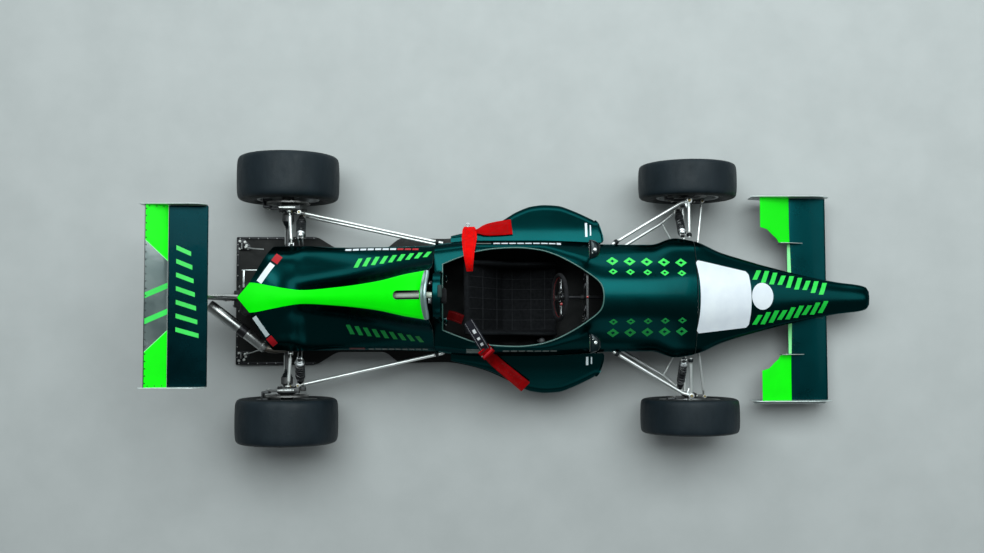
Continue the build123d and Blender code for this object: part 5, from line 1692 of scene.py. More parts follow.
# ---- front uprights with steering arm, stub axle and caliper
for side_name, sg in (("left", 1), ("right", -1)):
    p = Piece(f"{side_name}_front_knuckle")
    web_out = round_outline([(2278, 162.5), (2306, 162.5), (2314, 190), (2316, 240), (2316, 318), (2313, 352), (2306, 373.5), (2278, 373.5), (2272.5, 340), (2272.5, 200)], [5, 5, 20, 30, 30, 20, 5, 5, 20, 20], 4)
    p.prism(web_out, "y", 541, 563, "iron_dark", r=2.5, seg=2)
    for a in ([(2283, 178), (2303, 178), (2306, 226), (2280, 226)], [(2280, 330), (2308, 330), (2304, 358), (2282, 358)]):
        o = round_outline(a, 6, 4)
        p.tube([(x, 540.6, z) for x, z in o], 1.7, "iron_dark", 6, closed=True)
    p.rev([(0, 538.4), (30, 538.4), (33, 541), (39.6, 542), (39.6, 562), (37, 565.6), (20, 565.8), (0, 565.8)], (2300, 0, 281), (0, 1, 0), "iron_dark", 40)
    p.rev([(0, 560), (13.8, 560), (13.8, 646), (11, 651.6), (0, 651.6)], (2300, 0, 281), (0, 1, 0), "steel_tube", 28)
    p.rev([(0, 532), (16, 532), (16, 538.6), (0, 538.6)], (2300, 0, 281), (0, 1, 0), "zinc", 6)
    for k in range(6):
        t = math.radians(60 * k + 30)
        p.bolt((2300 + 30 * math.cos(t), 541.6, 281 + 30 * math.sin(t)), (0, -1, 0), "zinc", 4.4, 3.0)
    for z0, z1 in ((373, 376.5), (159.5, 163)):
        p.rev([(0, z0), (11, z0), (11, z1), (0, z1)], (2292, 552, 0), (0, 0, 1), "zinc", 20)
    # steering arm
    p.prism(round_outline([(2302, 547), (2384, 549), (2395, 553), (2395, 567), (2384, 571), (2302, 563)], [3, 10, 5, 5, 10, 3], 4), "z", 282.2, 291.8, "iron_dark", r=2)
    p.bolt((2384, 560, 291.6), (0, 0, 1), "bronze_bolt", 7, 7, washer="zinc")
    for x in (2322, 2340):
        p.bolt((x, 556, 291.6), (0, 0, 1), "zinc", 4.4, 4)
    # caliper: two halves over the disc, bridge behind
    for y0, y1 in ((566.4, 577.8), (604.2, 617.6)):
        o = round_outline([(2173, 246), (2216, 244.5), (2221.5, 262), (2221.5, 300), (2216, 317.5), (2173, 316)], [6, 10, 14, 14, 10, 6], 4)
        p.prism(o, "y", y0, y1, "caliper", r=2.2)
        for z in (264, 298):
            yy = y0 if y0 < 590 else y1
            d = -1 if y0 < 590 else 1
            p.rev([(0, -1.5), (12.5, -1.5), (12.5, 0.2), (11, 1.4), (0, 1.4)], (2200, yy, z), (0, d, 0), "caliper", 24)
            p.bolt((2200, yy + d * 0.6, z), (0, d, 0), "zinc", 4.2, 1.6 if d > 0 else 3.2)
    for z0, z1 in ((245, 262), (274, 288), (300, 317)):
        p.box(2172.6, 2180, 567, 617, z0, z1, "caliper", 2)
    p.box(2172.4, 2176, 574, 610, 258, 304, "anodised_black", 1)
    p.prism(round_outline([(2197, 264), (2278, 262.5), (2280, 299), (2197, 298)], 6, 3), "y", 560.4, 571.6, "iron_dark", r=1.6)
    for z in (270, 292):
        p.bolt((2212, 560.6, z), (0, -1, 0), "zinc", 5, 5, washer="zinc")
    p.rev([(0, 0), (5.4, 0), (5.4, 5), (0, 5)], (2196, 566.6, 281), (0, -1, 0), "bronze_bolt", 6)
    if sg < 0:
        V = np.concatenate(p.V) * np.array([1, -1, 1.0])
        p.V, p.F = [V], [tuple(reversed(f)) for f in p.F]
    p.done(f"{side_name}_front_upright", f"{side_name}_front_upright", "brake_iron")

# ---- rack bar with its tie rods
rk = Piece("steering_rack_bar")
rk.rev([(0, -292), (11, -292), (11, -238), (10, -236), (10, 236), (11, 238), (11, 292), (0, 292)], (2351, 0, 300), (0, 1, 0), "steel_tube", 28)
for k in range(26):
    rk.box(2344, 2358, -62.5 + k * 5, -59.5 + k * 5, 308.4, 310.9, "steel_tube", 0.5)
half = Piece("half")
half.rev([(0, 280), (12.6, 280), (12.6, 290), (0, 290)], (2351, 0, 300), (0, 1, 0), "zinc", 6)
ball(half, (2351, 300, 300), 12.6, "zinc", 20)
d = unit(np.array([2384, 560, 268]) - np.array([2351, 300, 300.0]))
a0, a1 = np.array([2351, 300, 300.0]), np.array([2384, 560, 268.0])
half.tube([a0 + d * 8, a0 + d * 34], 6.2, "zinc", 14)
half.tube([a0 + d * 30, a1 - d * 34], 7.3, "steel_tube", 16)
half.tube([a1 - d * 40, a1 - d * 8], 5.4, "zinc", 14)
half.rev([(0, 0), (7.4, 0), (7.4, 6), (0, 6)], a1 - d * 36, d, "zinc", 6)
half.rev([(0, 0), (7.4, 0), (7.4, 7), (0, 7)], a0 + d * 28, d, "zinc", 6)
ball(half, a1, 10.6, "zinc", 20)
half.rev([(0, -8.4), (6.5, -8.4), (6.5, -10.6), (0, -10.6)], a1, (0, 0, 1), "zinc", 6)
half.mirror()
rk.join(half)
rk.done("steering_rack", "steering_rack", "tube_steel")

# ---------------------------------------------------------------- rear suspension
ru = Piece("rear_upright_castings")
ru.prism(round_outline([(-33, 330), (52, 330), (60, 371), (91, 373), (91, 407), (60, 409), (28, 411.5), (-14, 411.5), (-30, 372)], [6, 6, 14, 10, 10, 14, 6, 10, 16], 4), "y", 502.5, 529.5, "iron_dark", r=2.4)
ru.prism(round_outline([(-33, 168.5), (30, 168.5), (56, 173), (91, 173), (91, 199), (60, 202), (54, 256), (-33, 256)], [8, 10, 8, 10, 10, 14, 6, 6], 4), "y", 502.5, 529.5, "iron_dark", r=2.4)
ru.rev([(30.2, 498.4), (50, 498.4), (55.8, 503), (55.8, 535), (50, 539.6), (30.2, 539.6), (30.2, 498.4)], (0, 0, 292), (0, 1, 0), "iron_dark", 48)
for k in range(8):
    t = math.radians(45 * k + 22.5)
    ru.bolt((43 * math.cos(t), 498.6, 292 + 43 * math.sin(t)), (0, -1, 0), "zinc", 5, 4)
# the bright steel strap over the top is a painted highlight along the upright's lit top edge
ru.box(-33, 60, 511, 521, 409, 414.5, "steel_tube", 1.5)                   # bright strap over the top
for x in (-24, 4, 50):
    ru.bolt((x, 516, 414), (0, 0, 1), "zinc", 5, 4)
for a in ([(-24, 180), (40, 180), (44, 226), (-20, 226)], [(-16, 352), (40, 352), (36, 394), (-8, 394)]):
    o = round_outline(a, 8, 4)
    ru.tube([(x, 502, z) for x, z in o], 1.9, "iron_dark", 6, closed=True)
for y0, y1 in ((524.4, 537.6), (564.4, 577.6)):
    o = round_outline([(-139, 254), (-98, 252.5), (-92.5, 270), (-92.5, 314), (-98, 331.5), (-139, 330)], [6, 10, 14, 14, 10, 6], 4)
    ru.prism(o, "y", y0, y1, "caliper", r=2.2)
for z in (272, 312):
    ru.rev([(0, -1.5), (12.5, -1.5), (12.5, 0.2), (11, 1.4), (0, 1.4)], (-114, 524.2, z), (0, -1, 0), "caliper", 24)
    ru.bolt((-114, 523, z), (0, -1, 0), "zinc", 4.2, 3.2)
for z0, z1 in ((253, 270), (284, 300), (314, 331)):
    ru.box(-139.6, -132, 525, 577, z0, z1, "caliper", 2)
ru.prism(round_outline([(-119, 274), (-40, 272.5), (-40, 311.5), (-119, 310)], 6, 3), "y", 516.4, 529.6, "iron_dark", r=1.6)
for z in (280, 304):
    ru.bolt((-104, 516.6, z), (0, -1, 0), "zinc", 5, 5, washer="zinc")
ru.mirror()
ru.done("chassis", "rear_uprights", "brake_iron")

lk = Piece("rear_link_tubes")
for a, b, pin in (((40, 304, 404), (26, 498, 400), (1, 0, 0)), ((-30, 293, 182), (-28, 499, 182), (1, 0, 0))):
    a, b = np.array(a, float), np.array(b, float)
    d = unit(b - a)
    rod_end(lk, a + d * 6, b, pin, 8.5, 34, 12)
    rod_end(lk, b - d * 4, a, pin, 8.5, 34, 12)
    lk.tube([a + d * 34, b - d * 34], 9.8, "steel_tube", 18)
    for q, s in ((a + d * 34, 1), (b - d * 34, -1)):
        lk.rev([(0, 0), (9.8, 0), (7, -5), (0, -5)] if s > 0 else [(0, 0), (9.8, 0), (7, 5), (0, 5)], q, d, "steel_tube", 18)
lk.mirror()
lk.done("chassis", "rear_links", "tube_steel")

rr = Piece("radius_rod_tubes")
for a, b in (((896, 309, 417.9), (80, 490, 390)), ((896, 307, 221.8), (74, 490, 186))):
    a, b = np.array(a, float), np.array(b, float)
    d = unit(b - a)
    rod_end(rr, b, a, (0, 0, 1), 8.5, 38, 14)
    rr.tube([a, b - d * 38], 8.8, "steel_tube", 18)
    rr.rev([(0, 0), (8.8, 0), (6, 6), (0, 6)], b - d * 38, d, "steel_tube", 18)
    q = a + (b - a) * 0.04
    rr.rev([(8.8, -9), (13, -9), (14, -6), (14, 5), (11, 9), (8.8, 9)], q, d, "rubber", 20)
    rr.rev([(8.8, 9), (11.6, 9), (11.6, 16), (8.8, 16)], q, d, "zinc", 6)
rr.mirror()
rr.done("chassis", "radius_rods", "tube_steel")

dm = Piece("coilover_dampers")
for a, b, rs, rb, rr_ in (((2262, 512, 178), (2246, 352, 424), 24, 22, 9), ((66, 478, 224), (96, 340, 438), 28, 24, 10)):
    coilover(dm, a, b, rs, rb, rr_)
    a, b = np.array(a, float), np.array(b, float)
    d = unit(b - a)
    # bright top cap
    dm.rev([(0, 0), (16, 0), (17, 3), (16, 9), (10, 14), (0, 16)], b - d * 28, unit(d + np.array([0, 0, 0.25])), "bright_cap", 24)
dm.mirror()
dm.done("chassis", "dampers", "damper_black")

# ---------------------------------------------------------------- gearbox, engine, exhaust
gb = Piece("gearbox_casting")
gb.box(-248, 112, -93, 93, 132, 378, "case_dark", 16)
for x in (-226, -168, -110, -52):
    for sgn in (1, -1):
        gb.prism(round_outline([(x - 4, 140), (x + 4, 140), (x + 4, 370), (x - 4, 370)], 3, 2), "y", min(sgn * 92, sgn * 97), max(sgn * 92, sgn * 97), "case_dark", r=1.2)
for z in (196, 240, 344):
    for sgn in (1, -1):
        gb.prism(round_outline([(-240, z - 3.5), (-40, z - 3.5), (-40, z + 3.5), (-240, z + 3.5)], 3, 2), "y", min(sgn * 92, sgn * 96), max(sgn * 92, sgn * 96), "case_dark", r=1.0)
bell = [(112, -90), (328, -164), (328, 164), (112, 90)]
gb.prism(round_outline(bell, 10, 4), "z", 92, 418, "case_dark", r=9, seg=3)
for x0, w, z0, z1 in ((312, 166, 90, 420), (104, 98, 126, 384)):
    gb.box(x0 - 3, x0 + 13, -w, w, z0, z1, "case_dark", 5)
for k in range(9):
    for y in (-150, 150):
        gb.bolt((309.5, y, 110 + k * 36), (-1, 0, 0), "zinc", 5.5, 6, washer="zinc")
for k in range(7):
    gb.bolt((309.5, -120 + k * 40, 406), (-1, 0, 0), "zinc", 5.5, 6, washer="zinc")
for k in range(6):
    for y in (-89, 89):
        gb.bolt((102, y, 150 + k * 42), (-1, 0, 0), "zinc", 5.5, 6)
# selector cover on top and rear cover plate
gb.prism(round_outline([(-200, -52), (-20, -52), (-20, 52), (-200, 52)], 14, 4), "z", 376, 386, "alloy", r=2)
for x in (-190, -140, -80, -30):
    for y in (-44, 44):
        gb.bolt((x, y, 385.6), (0, 0, 1), "zinc", 5, 5, washer="zinc")
gb.rev([(0, 0), (13, 0), (13, 16), (9, 20), (0, 20)], (-110, 0, 385), (0, 0, 1), "anodised_black", 20)
gb.box(-262, -246, -78, 78, 150, 366, "case_dark", 6)
for y in (-70, 70):
    for k in range(6):
        gb.bolt((-261.6, y, 164 + k * 38), (-1, 0, 0), "zinc", 5, 5, washer="zinc")
gb.box(-299, -242, -49, 49, 181, 339, "case_dark", 8)
for y in (-38, 38):
    for z in (196, 324):
        gb.bolt((-298.6, y, z), (-1, 0, 0), "zinc", 6, 6, washer="zinc")
# drive flanges
for sgn in (1, -1):
    gb.rev([(0, 92), (58, 92), (58, 98), (50, 102), (49.6, 117), (46, 117.8), (0, 117.8)] if sgn > 0 else [(0, -92), (58, -92), (58, -98), (50, -102), (49.6, -117), (46, -117.8), (0, -117.8)], (0, 0, 292), (0, 1, 0), "iron_dark", 40)
    for k in range(8):
        t = math.radians(45 * k)
        gb.bolt((54 * math.cos(t), sgn * 97.6, 292 + 54 * math.sin(t)), (0, sgn, 0), "zinc", 4, 4)
# cross beams that carry the links and the dampers
gb.box(17, 111, -298, 298, 389, 419, "case_dark", 5)
for x in (32, 96):
    for k in range(9):
        y = -240 + k * 60
        gb.bolt((x, y, 418.6), (0, 0, 1), "zinc", 5, 4.6, washer="zinc")
for sgn in (1, -1):
    for x in (84.5, 105.5):
        gb.prism(round_outline([(sgn * 298, 401), (sgn * 346, 424), (sgn * 352, 444), (sgn * 334, 452), (sgn * 298, 419)][:: sgn], 6, 3), "x", x - 2, x + 2, "alloy", r=0.6)
    for x in (28, 52):
        gb.prism(round_outline([(sgn * 292, 392), (sgn * 318, 396), (sgn * 318, 412), (sgn * 292, 416)][:: sgn], 6, 3), "x", x - 2, x + 2, "alloy", r=0.6)
gb.box(-47, 1, -289, 289, 169, 195, "case_dark", 5)
for sgn in (1, -1):
    for x in (-42, -18):
        gb.prism(round_outline([(sgn * 284, 171), (sgn * 306, 174), (sgn * 306, 190), (sgn * 284, 193)][:: sgn], 5, 3), "x", x - 2, x + 2, "alloy", r=0.6)
# light angle over the left corner of the tail
gb.box(-246, -156, 160, 165.5, 374, 380, "bright_cap", 1.2)
gb.box(-240, -229, 64, 165, 374, 380, "bright_cap", 1.2)
gb.tube([(-234, 66, 377), (-234, 40, 366)], 5, "case_dark", 10)
gb.tube([(-160, 162, 377), (-120, 92, 360)], 4, "case_dark", 10)
gb.done("chassis", "gearbox", "gearbox_alloy")

en = Piece("engine_assembly")
en.box(332, 786, -150, 150, 170, 400, "engine_cast", 14)
en.box(336, 782, -164, 164, 82, 172, "engine_cast", 16)
en.box(340, 778, -120, 120, 398, 470, "engine_cast", 10)
en.box(352, 766, -74, 74, 468, 498, "black_paint", 10)
for k in range(9):
    for y in (-66, 66):
        en.bolt((372 + k * 46, y, 490), (0, 0, 1), "zinc", 5.5, 5, washer="zinc")
for k in range(9):
    for sgn in (1, -1):
        x = 356 + k * 52
        en.box(x - 3, x + 3, min(sgn * 148, sgn * 156), max(sgn * 148, sgn * 156), 186, 388, "engine_cast", 1.5)
for k in range(11):
    for sgn in (1, -1):
        en.bolt((352 + k * 42, sgn * 158, 171), (0, 0, 1), "zinc", 4.5, 5)
for k in range(4):
    x = 396 + k * 108
    en.bend([(x, 118, 440), (x, 158, 446), (x, 168, 486)], 17, "alloy", 16)
    en.rev([(17, 0), (20, 0), (24, 26), (21, 27), (17, 4)], (x, 168, 486 - 14), (0, 0, 1), "anodised_black", 20)
    en.bend([(x, -118, 420), (x - 10, -158, 400), (x - 50, -166, 300)], 13, "hot_steel", 14)
en.tube([(720, -162, 292), (340, -164, 262)], 17, "hot_steel", 16)
en.done("chassis", "engine_block", "engine_iron")

ex = Piece("exhaust_pipe")
A, B = np.array([-112, -278, 350.0]), np.array([-424, -34, 400.0])
d = unit(B - A)
L = np.linalg.norm(B - A)
ex.rev([(0, -4), (26, -4), (31, 0), (32.6, 5), (32.6, L - 26), (31.4, L - 8), (30, L - 1), (26.5, L), (25.5, L - 6), (25.5, L - 60), (0, L - 60)], A, d, "silencer", 56)
ex.rev([(25.4, L - 90), (25.4, L - 7), (24.6, L - 7), (24.6, L - 90)], A, d, "hot_steel", 40)
for s, w in ((0.40 * L, 25),):
    ex.rev([(32.4, s - w), (34.4, s - w), (34.8, s - w + 2), (34.8, s + w - 2), (34.4, s + w), (32.4, s + w), (32.4, s - w)], A, d, "anodised_black", 56)
for s in (0.06 * L, 0.93 * L):
    ex.rev([(32.4, s - 3), (33.6, s - 2), (33.6, s + 2), (32.4, s + 3)], A, d, "silencer", 56)
for k in range(12):
    t = 2 * math.pi * k / 12
    u = unit(np.cross(d, [0, 0, 1.0]))
    v = np.cross(d, u)
    q = A + d * 0.06 * L + 33 * (math.cos(t) * u + math.sin(t) * v)
    ex.bolt(q, math.cos(t) * u + math.sin(t) * v, "zinc", 2.6, 1.6, hexed=False)
P, _ = rounded([(330, -200, 240), (120, -262, 330), (-60, -290, 342), (-114, -277, 350)], 0.4, 8, 2)
ex.tube(P, 21.6, "hot_steel", 24)
ex.rev([(21.5, -6), (26, -6), (26.6, -4), (26.6, 4), (26, 6), (21.5, 6)], (120 + 14, -257, 324), unit([210, 62, -90]), "zinc", 32)
# grey centre tube that leaves under the tail, with its bright end
ex.tube([(-262, 11, 386), (-300, 12, 384), (-436, 14, 380)], 12.5, "silencer", 24)
ex.rev([(12.4, 0), (14.2, 0), (14.2, 18), (12.4, 18), (10.4, 16), (10.4, 0)], (-436, 14, 380), (-1, 0.01, -0.03), "bright_cap", 28)
ex.done("chassis", "exhaust", "exhaust_steel")


# ---------------------------------------------------------------- roll hoop
rh = Piece("roll_hoop_tubes")
legs = [(884, 128, 57.0), (884, 128, 600), (884, 110, 812), (884, 92, 864), (884, 58, 890), (884, 0, 897), (884, -58, 890), (884, -92, 864), (884, -110, 812), (884, -128, 600), (884, -128, 57.0)]
P, _ = rounded(legs, [0, 0.12, 0.3, 0.42, 0.45, 0.48, 0.45, 0.42, 0.3, 0.12, 0], 8, 2)
rh.tube(P, 17.8, "paint", 28)
# the pale stay glows a little: a painted glow
rh.bend([(872, 0, 893), (810, 0, 884), (640, 0, 812), (432, 0, 556)], 14.8, "stay_pale", 24, cut=0.3, steps=10)
rh.tube([(884, -108, 780), (884, 108, 780)], 8.8, "paint", 18)
rh.box(416, 444, -39, 39, 500.5, 559, "paint", 4)
for y in (-28, 28):
    rh.bolt((430, y, 500.6), (0, 0, -1), "zinc", 5, 5)
# block round the top of the hoop, following its arch
arch_path = [q for q in P if q[2] > 852 and abs(q[1]) < 100]
T_, _, _ = frames_along(arch_path)
block = []
for q, tt in zip(arch_path, T_):
    nrm_ = np.cross(tt, [1.0, 0, 0])
    if nrm_[2] < 0:
        nrm_ = -nrm_
    sec = round_outline([(-25, -20), (21, -20), (21, 22), (-25, 22)], 7, 4)
    block.append([q + np.array([a_, 0, 0]) + nrm_ * b_ for a_, b_ in sec])
block = np.array(block)
G_ = np.concatenate([[block[0].mean(0) + (block[0] - block[0].mean(0)) * 0.9 - T_[0] * 2.5], block, [block[-1].mean(0) + (block[-1] - block[-1].mean(0)) * 0.9 + T_[-1] * 2.5]])
R_, C_ = G_.shape[:2]
F_ = grid_faces(R_, C_, True) + [tuple(range(C_)), tuple((R_ - 1) * C_ + j for j in range(C_ - 1, -1, -1))]
V_ = G_.reshape(-1, 3)
nn = vertex_normals(V_, F_[:-2])
if ((V_.reshape(R_, C_, 3) - G_.mean(1)[:, None]) * nn.reshape(R_, C_, 3)).sum() < 0:
    F_ = [tuple(reversed(f)) for f in F_]
rh.add(V_, F_, "paint")
# dark lug in front of it, latch and bolt behind it
rh.box(888, 912, -14, 52, 886, 921, "lug_dark", 5)
rh.box(838, 862, -46, -12, 872, 880, "anodised_black", 2)
for x in (840, 847):
    rh.box(x, x + 3, -43, -17, 878, 890, "bright_cap", 1)
rh.box(838, 862, 50, 74, 862, 870, "anodised_black", 2)
rh.bolt((845, 61, 869), (0, 0, 1), "bright_cap", 4.2, 4)
for sgn in (1, -1):
    rh.rev([(17.6, -5), (22, -3), (22, 3), (17.6, 5)], (884, sgn * 128, 565), (0, 0, 1), "paint", 24)
    rh.box(862, 906, sgn * 128 - 24, sgn * 128 + 24, 57, 63, "paint", 3)
    for x in (868, 900):
        for y in (-18, 18):
            rh.bolt((x, sgn * 128 + y, 63), (0, 0, 1), "zinc", 4, 4)
rh.done("chassis", "roll_hoop", "tube_steel")


# ---------------------------------------------------------------- padding
def stuffed(piece_name, build, voxel, pressure, cap, mat, body, node_name, sharp=60, pins=None):
    """Foam pad: the mesh is remeshed, blown up as cloth and capped, then subdivided once."""
    p = Piece(piece_name + "_start")
    build(p)
    V = np.concatenate(p.V)
    me = bpy.data.meshes.new(piece_name)
    me.from_pydata(W(V).tolist(), [], p.F)
    me.update()
    o = bpy.data.objects.new(piece_name, me)
    SC.collection.objects.link(o)
    bpy.context.view_layer.objects.active = o
    o.select_set(True)
    r = o.modifiers.new("remesh", "REMESH")
    r.mode = "VOXEL"
    r.voxel_size = voxel
    bpy.ops.object.modifier_apply(modifier="remesh")
    start = np.array([tuple(v.co) for v in o.data.vertices])
    c = o.modifiers.new("cloth", "CLOTH")
    c.settings.use_pressure = True
    c.settings.uniform_pressure_force = pressure
    c.settings.effector_weights.gravity = 0
    c.settings.tension_stiffness = 12
    c.settings.compression_stiffness = 12
    c.settings.bending_stiffness = 0.6
    c.point_cache.frame_start = 1
    c.point_cache.frame_end = 21
    for f in range(1, 21):
        SC.frame_set(f)
    dg = bpy.context.evaluated_depsgraph_get()
    ev = o.evaluated_get(dg)
    moved = np.array([tuple(v.co) for v in ev.data.vertices])
    o.modifiers.remove(c)
    SC.frame_set(1)
    d = moved - start
    L = np.linalg.norm(d, axis=1, keepdims=True)
    k = np.minimum(1.0, (cap / 1000) / np.maximum(L, 1e-9))
    new = start + d * k
    if pins:
        w = np.array([pins(q[0] * 1000 + S, q[1] * 1000, q[2] * 1000) for q in start])[:, None]
        new = start + (new - start) * w
    o.data.vertices.foreach_set("co", new.ravel())
    o.data.update()
    bm = bmesh.new()
    bm.from_mesh(o.data)
    for _ in range(3):
        bmesh.ops.smooth_vert(bm, verts=bm.verts[:], factor=0.5, use_axis_x=True, use_axis_y=True, use_axis_z=True)
    bm.to_mesh(o.data)
    bm.free()
    s = o.modifiers.new("sub", "SUBSURF")
    s.levels = s.render_levels = 1
    bpy.ops.object.modifier_apply(modifier="sub")
    o.select_set(False)
    o.data.materials.append(MAT[mat])
    o.data.polygons.foreach_set("use_smooth", [True] * len(o.data.polygons))
    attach(o, body)
    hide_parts(*([node_name] if isinstance(node_name, str) else node_name))
    TRIS[piece_name] = sum(len(f.vertices) - 2 for f in o.data.polygons)
    return o


def surface_line(o, pts, r, mat, p, n=6, side=None, lift=0.5):
    """A piping or seam laid on the pad's surface, below the given points (or beside them along an axis)."""
    bpy.context.view_layer.update()
    out = []
    for q, d in pts:
        a = Vector(W(q))
        ok, loc, nor, _ = o.ray_cast(a, Vector(d).normalized())
        if ok:
            loc = loc + nor * lift / 1000
            out.append((loc.x * 1000 + S, loc.y * 1000, loc.z * 1000))
    if len(out) > 2:
        p.tube(np.array(out), r, mat, n)


def head_pad(p):
    o = round_outline([(-40, 728), (40, 728), (43, 770), (38, 812), (-38, 812), (-43, 770)], [10, 10, 16, 12, 12, 16], 4)
    p.prism(o, "x", 900, 928, "suede", r=6, seg=3)


head = stuffed("headrest_pad", head_pad, 0.0045, 4.0, 6.0, "suede", "chassis", "headrest")
hp = Piece("headrest_plate")
hp.prism(round_outline([(-44, 724), (44, 724), (46, 770), (42, 816), (-42, 816), (-46, 770)], 8, 4), "x", 894.5, 899, "anodised_black", r=0.8)
for y in (-30, 30):
    for z in (742, 800):
        hp.bolt((894.8, y, z), (-1, 0, 0), "zinc", 4.5, 4)
ring = [((960, y, z), (-1, 0, 0)) for y, z in round_outline([(-30, 738), (30, 738), (32, 770), (28, 804), (-28, 804), (-32, 770)], [12] * 6, 5)]
surface_line(head, ring + ring[:1], 1.0, "thread_dark", hp, lift=0.3)
hp.done("chassis", (), "seat_fabric")


def seat_shape(p):
    """Reclined bucket: shell sides, back and base in one thick form."""
    # back and base panel between the sides
    strip = [(1008, 522), (1226, 68), (1552, 68), (1552, 172), (1538, 168), (1304, 108), (1232, 142), (1036, 524)]
    p.prism(strip, "y", -186, 186, "seat_cloth", r=4, seg=2)
    side = [(1008, 522), (1040, 528), (1080, 504), (1160, 444), (1300, 324), (1478, 294), (1554, 246), (1554, 68), (1222, 68)]
    for sgn in (1, -1):
        p.prism(round_outline(side, [8, 14, 20, 30, 40, 40, 20, 8, 14], 5), "y", min(sgn * 186, sgn * 209), max(sgn * 186, sgn * 209), "seat_cloth", r=7, seg=3)


seat = stuffed("seat_padding", seat_shape, 0.0077, 3.0, 5.0, "seat_cloth", "chassis", "seat")
sp = Piece("seat_seams")
for y in (-120, -60, 0, 60, 120):
    pts = [((x, y, 620), (0, 0, -1)) for x in np.linspace(1046, 1548, 60)]
    surface_line(seat, pts, 1.1, "thread_dark", sp, lift=0.2)
for sgn in (1, -1):
    pts = [((x, sgn * 198, 620), (0, 0, -1)) for x in np.linspace(1014, 1548, 60)]
    surface_line(seat, pts, 2.2, "rubber", sp, lift=0.4)
for x in (1120, 1200, 1290, 1400, 1480):
    pts = [((x, y, 620), (0, 0, -1)) for y in np.linspace(-176, 176, 30)]
    surface_line(seat, pts, 1.1, "thread_dark", sp, lift=0.2)
sp.done("chassis", (), "seat_fabric")

# ---------------------------------------------------------------- dash, gauges, switches
da = Piece("dash_panel_board")
outline = round_outline([(-195, 401), (195, 401), (177, 519), (130, 545), (-130, 545), (-177, 519)], [12, 12, 20, 26, 26, 20], 5)
hz = 520 + math.tan(math.radians(14.3)) * (1698 - 1545) * -1
hole = [(17.5 * math.cos(t), hz + 17.5 * math.sin(t)) for t in np.linspace(0, 2 * math.pi, 48, endpoint=False)]
n_out = len(outline)
angs = np.array([math.atan2(z - hz, y) for y, z in outline])
order = np.argsort(angs)
out_sorted = np.array(outline)[order]
hole_match = np.array([(17.5 * math.cos(a), hz + 17.5 * math.sin(a)) for a in angs[order]])
rings = []
for t in (0.0, 0.05, 0.5, 0.97, 1.0):
    rings.append(hole_match * (1 - t) + out_sorted * t)
G = np.array([np.column_stack([np.full(n_out, 1692.4), r]) for r in rings])
F = grid_faces(len(rings), n_out, True)
V = G.reshape(-1, 3)
nrm = vertex_normals(V, F)
if nrm[:, 0].sum() > 0:
    F = [tuple(reversed(f)) for f in F]
N = len(V)
V2 = V + np.array([11.2, 0, 0])
directed = {(a, b) for f in F for a, b in zip(f, f[1:] + f[:1])}
sides = [(b, a, a + N, b + N) for (a, b) in sorted(directed) if (b, a) not in directed]
da.add(np.concatenate([V, V2]), F + [tuple(i + N for i in reversed(f)) for f in F] + sides, "carbon")


def gauge(p, y, z, r, needle):
    x = 1692.4
    p.rev([(0, 0), (r + 4, 0), (r + 4.5, 2), (r + 3, 7), (r, 7.5), (r - 0.5, 3), (0, 3)], (x, y, z), (-1, 0, 0), ["anodised_black"] * 5 + ["gauge_face"], 36)
    for k in range(11):
        a = math.radians(225 - 27 * k)
        L = 0.16 if k % 2 == 0 else 0.10
        R4 = Matrix.Translation(Vector((0, y, z))) @ Matrix.Rotation(-(a - math.pi / 2), 4, "X")
        p.box(x - 3.8, x - 2.9, -0.6, 0.6, r * (0.94 - L), r * 0.90, "gauge_white", 0, R4)
    R4 = Matrix.Translation(Vector((0, y, z))) @ Matrix.Rotation(math.radians(needle), 4, "X")
    p.box(x - 5.2, x - 4.2, -0.9, 0.9, -r * 0.15, r * 0.72, "vinyl_red", 0, R4)
    p.rev([(0, 0), (3.2, 0), (3.0, 2), (0, 2.6)], (x - 3, y, z), (-1, 0, 0), "black_plastic", 16)


for y, z, r, nd in ((-64, 500, 25, 118), (64, 500, 25, 82), (-124, 492, 20, 60), (124, 492, 20, 100), (-104, 444, 17, 130), (104, 444, 17, 40)):
    gauge(da, y, z, r, nd)
for k in range(5):
    y = -160 + k * 14
    da.rev([(0, 0), (5, 0), (5, 3), (3, 4), (2.4, 14), (0, 15)], (1692.4, y, 418), (-1, 0, 0.25), "zinc", 10)
for k in range(4):
    y = 118 + k * 15
    da.rev([(0, 0), (6, 0), (6, 4), (4.8, 5.5), (0, 6.2)], (1692.4, y, 418), (-1, 0, 0), "lamp_red" if k == 0 else "black_plastic", 16)
for y, z in ((-182, 412), (182, 412), (-162, 512), (162, 512)):
    da.bolt((1692.4, y, z), (-1, 0, 0), "zinc", 4, 3, washer="zinc", hexed=False)
# kill switch
da.rev([(0, 0), (13, 0), (13, 3), (11, 6), (0, 6)], (1692.4, 0, 424), (-1, 0, 0), "black_plastic", 24)
da.box(1672, 1688, -2.6, 2.6, 412, 436, "vinyl_red", 2)
# red lamp on the top edge
da.box(1690, 1706, -9, 9, 540, 549, "black_plastic", 2)
da.rev([(0, 0), (6, 0), (6, 4), (4.4, 6.4), (0, 7)], (1698, 0, 548.6), (0, 0, 1), "lamp_red", 20)
da.done("chassis", "dash_panel", "floor_black")
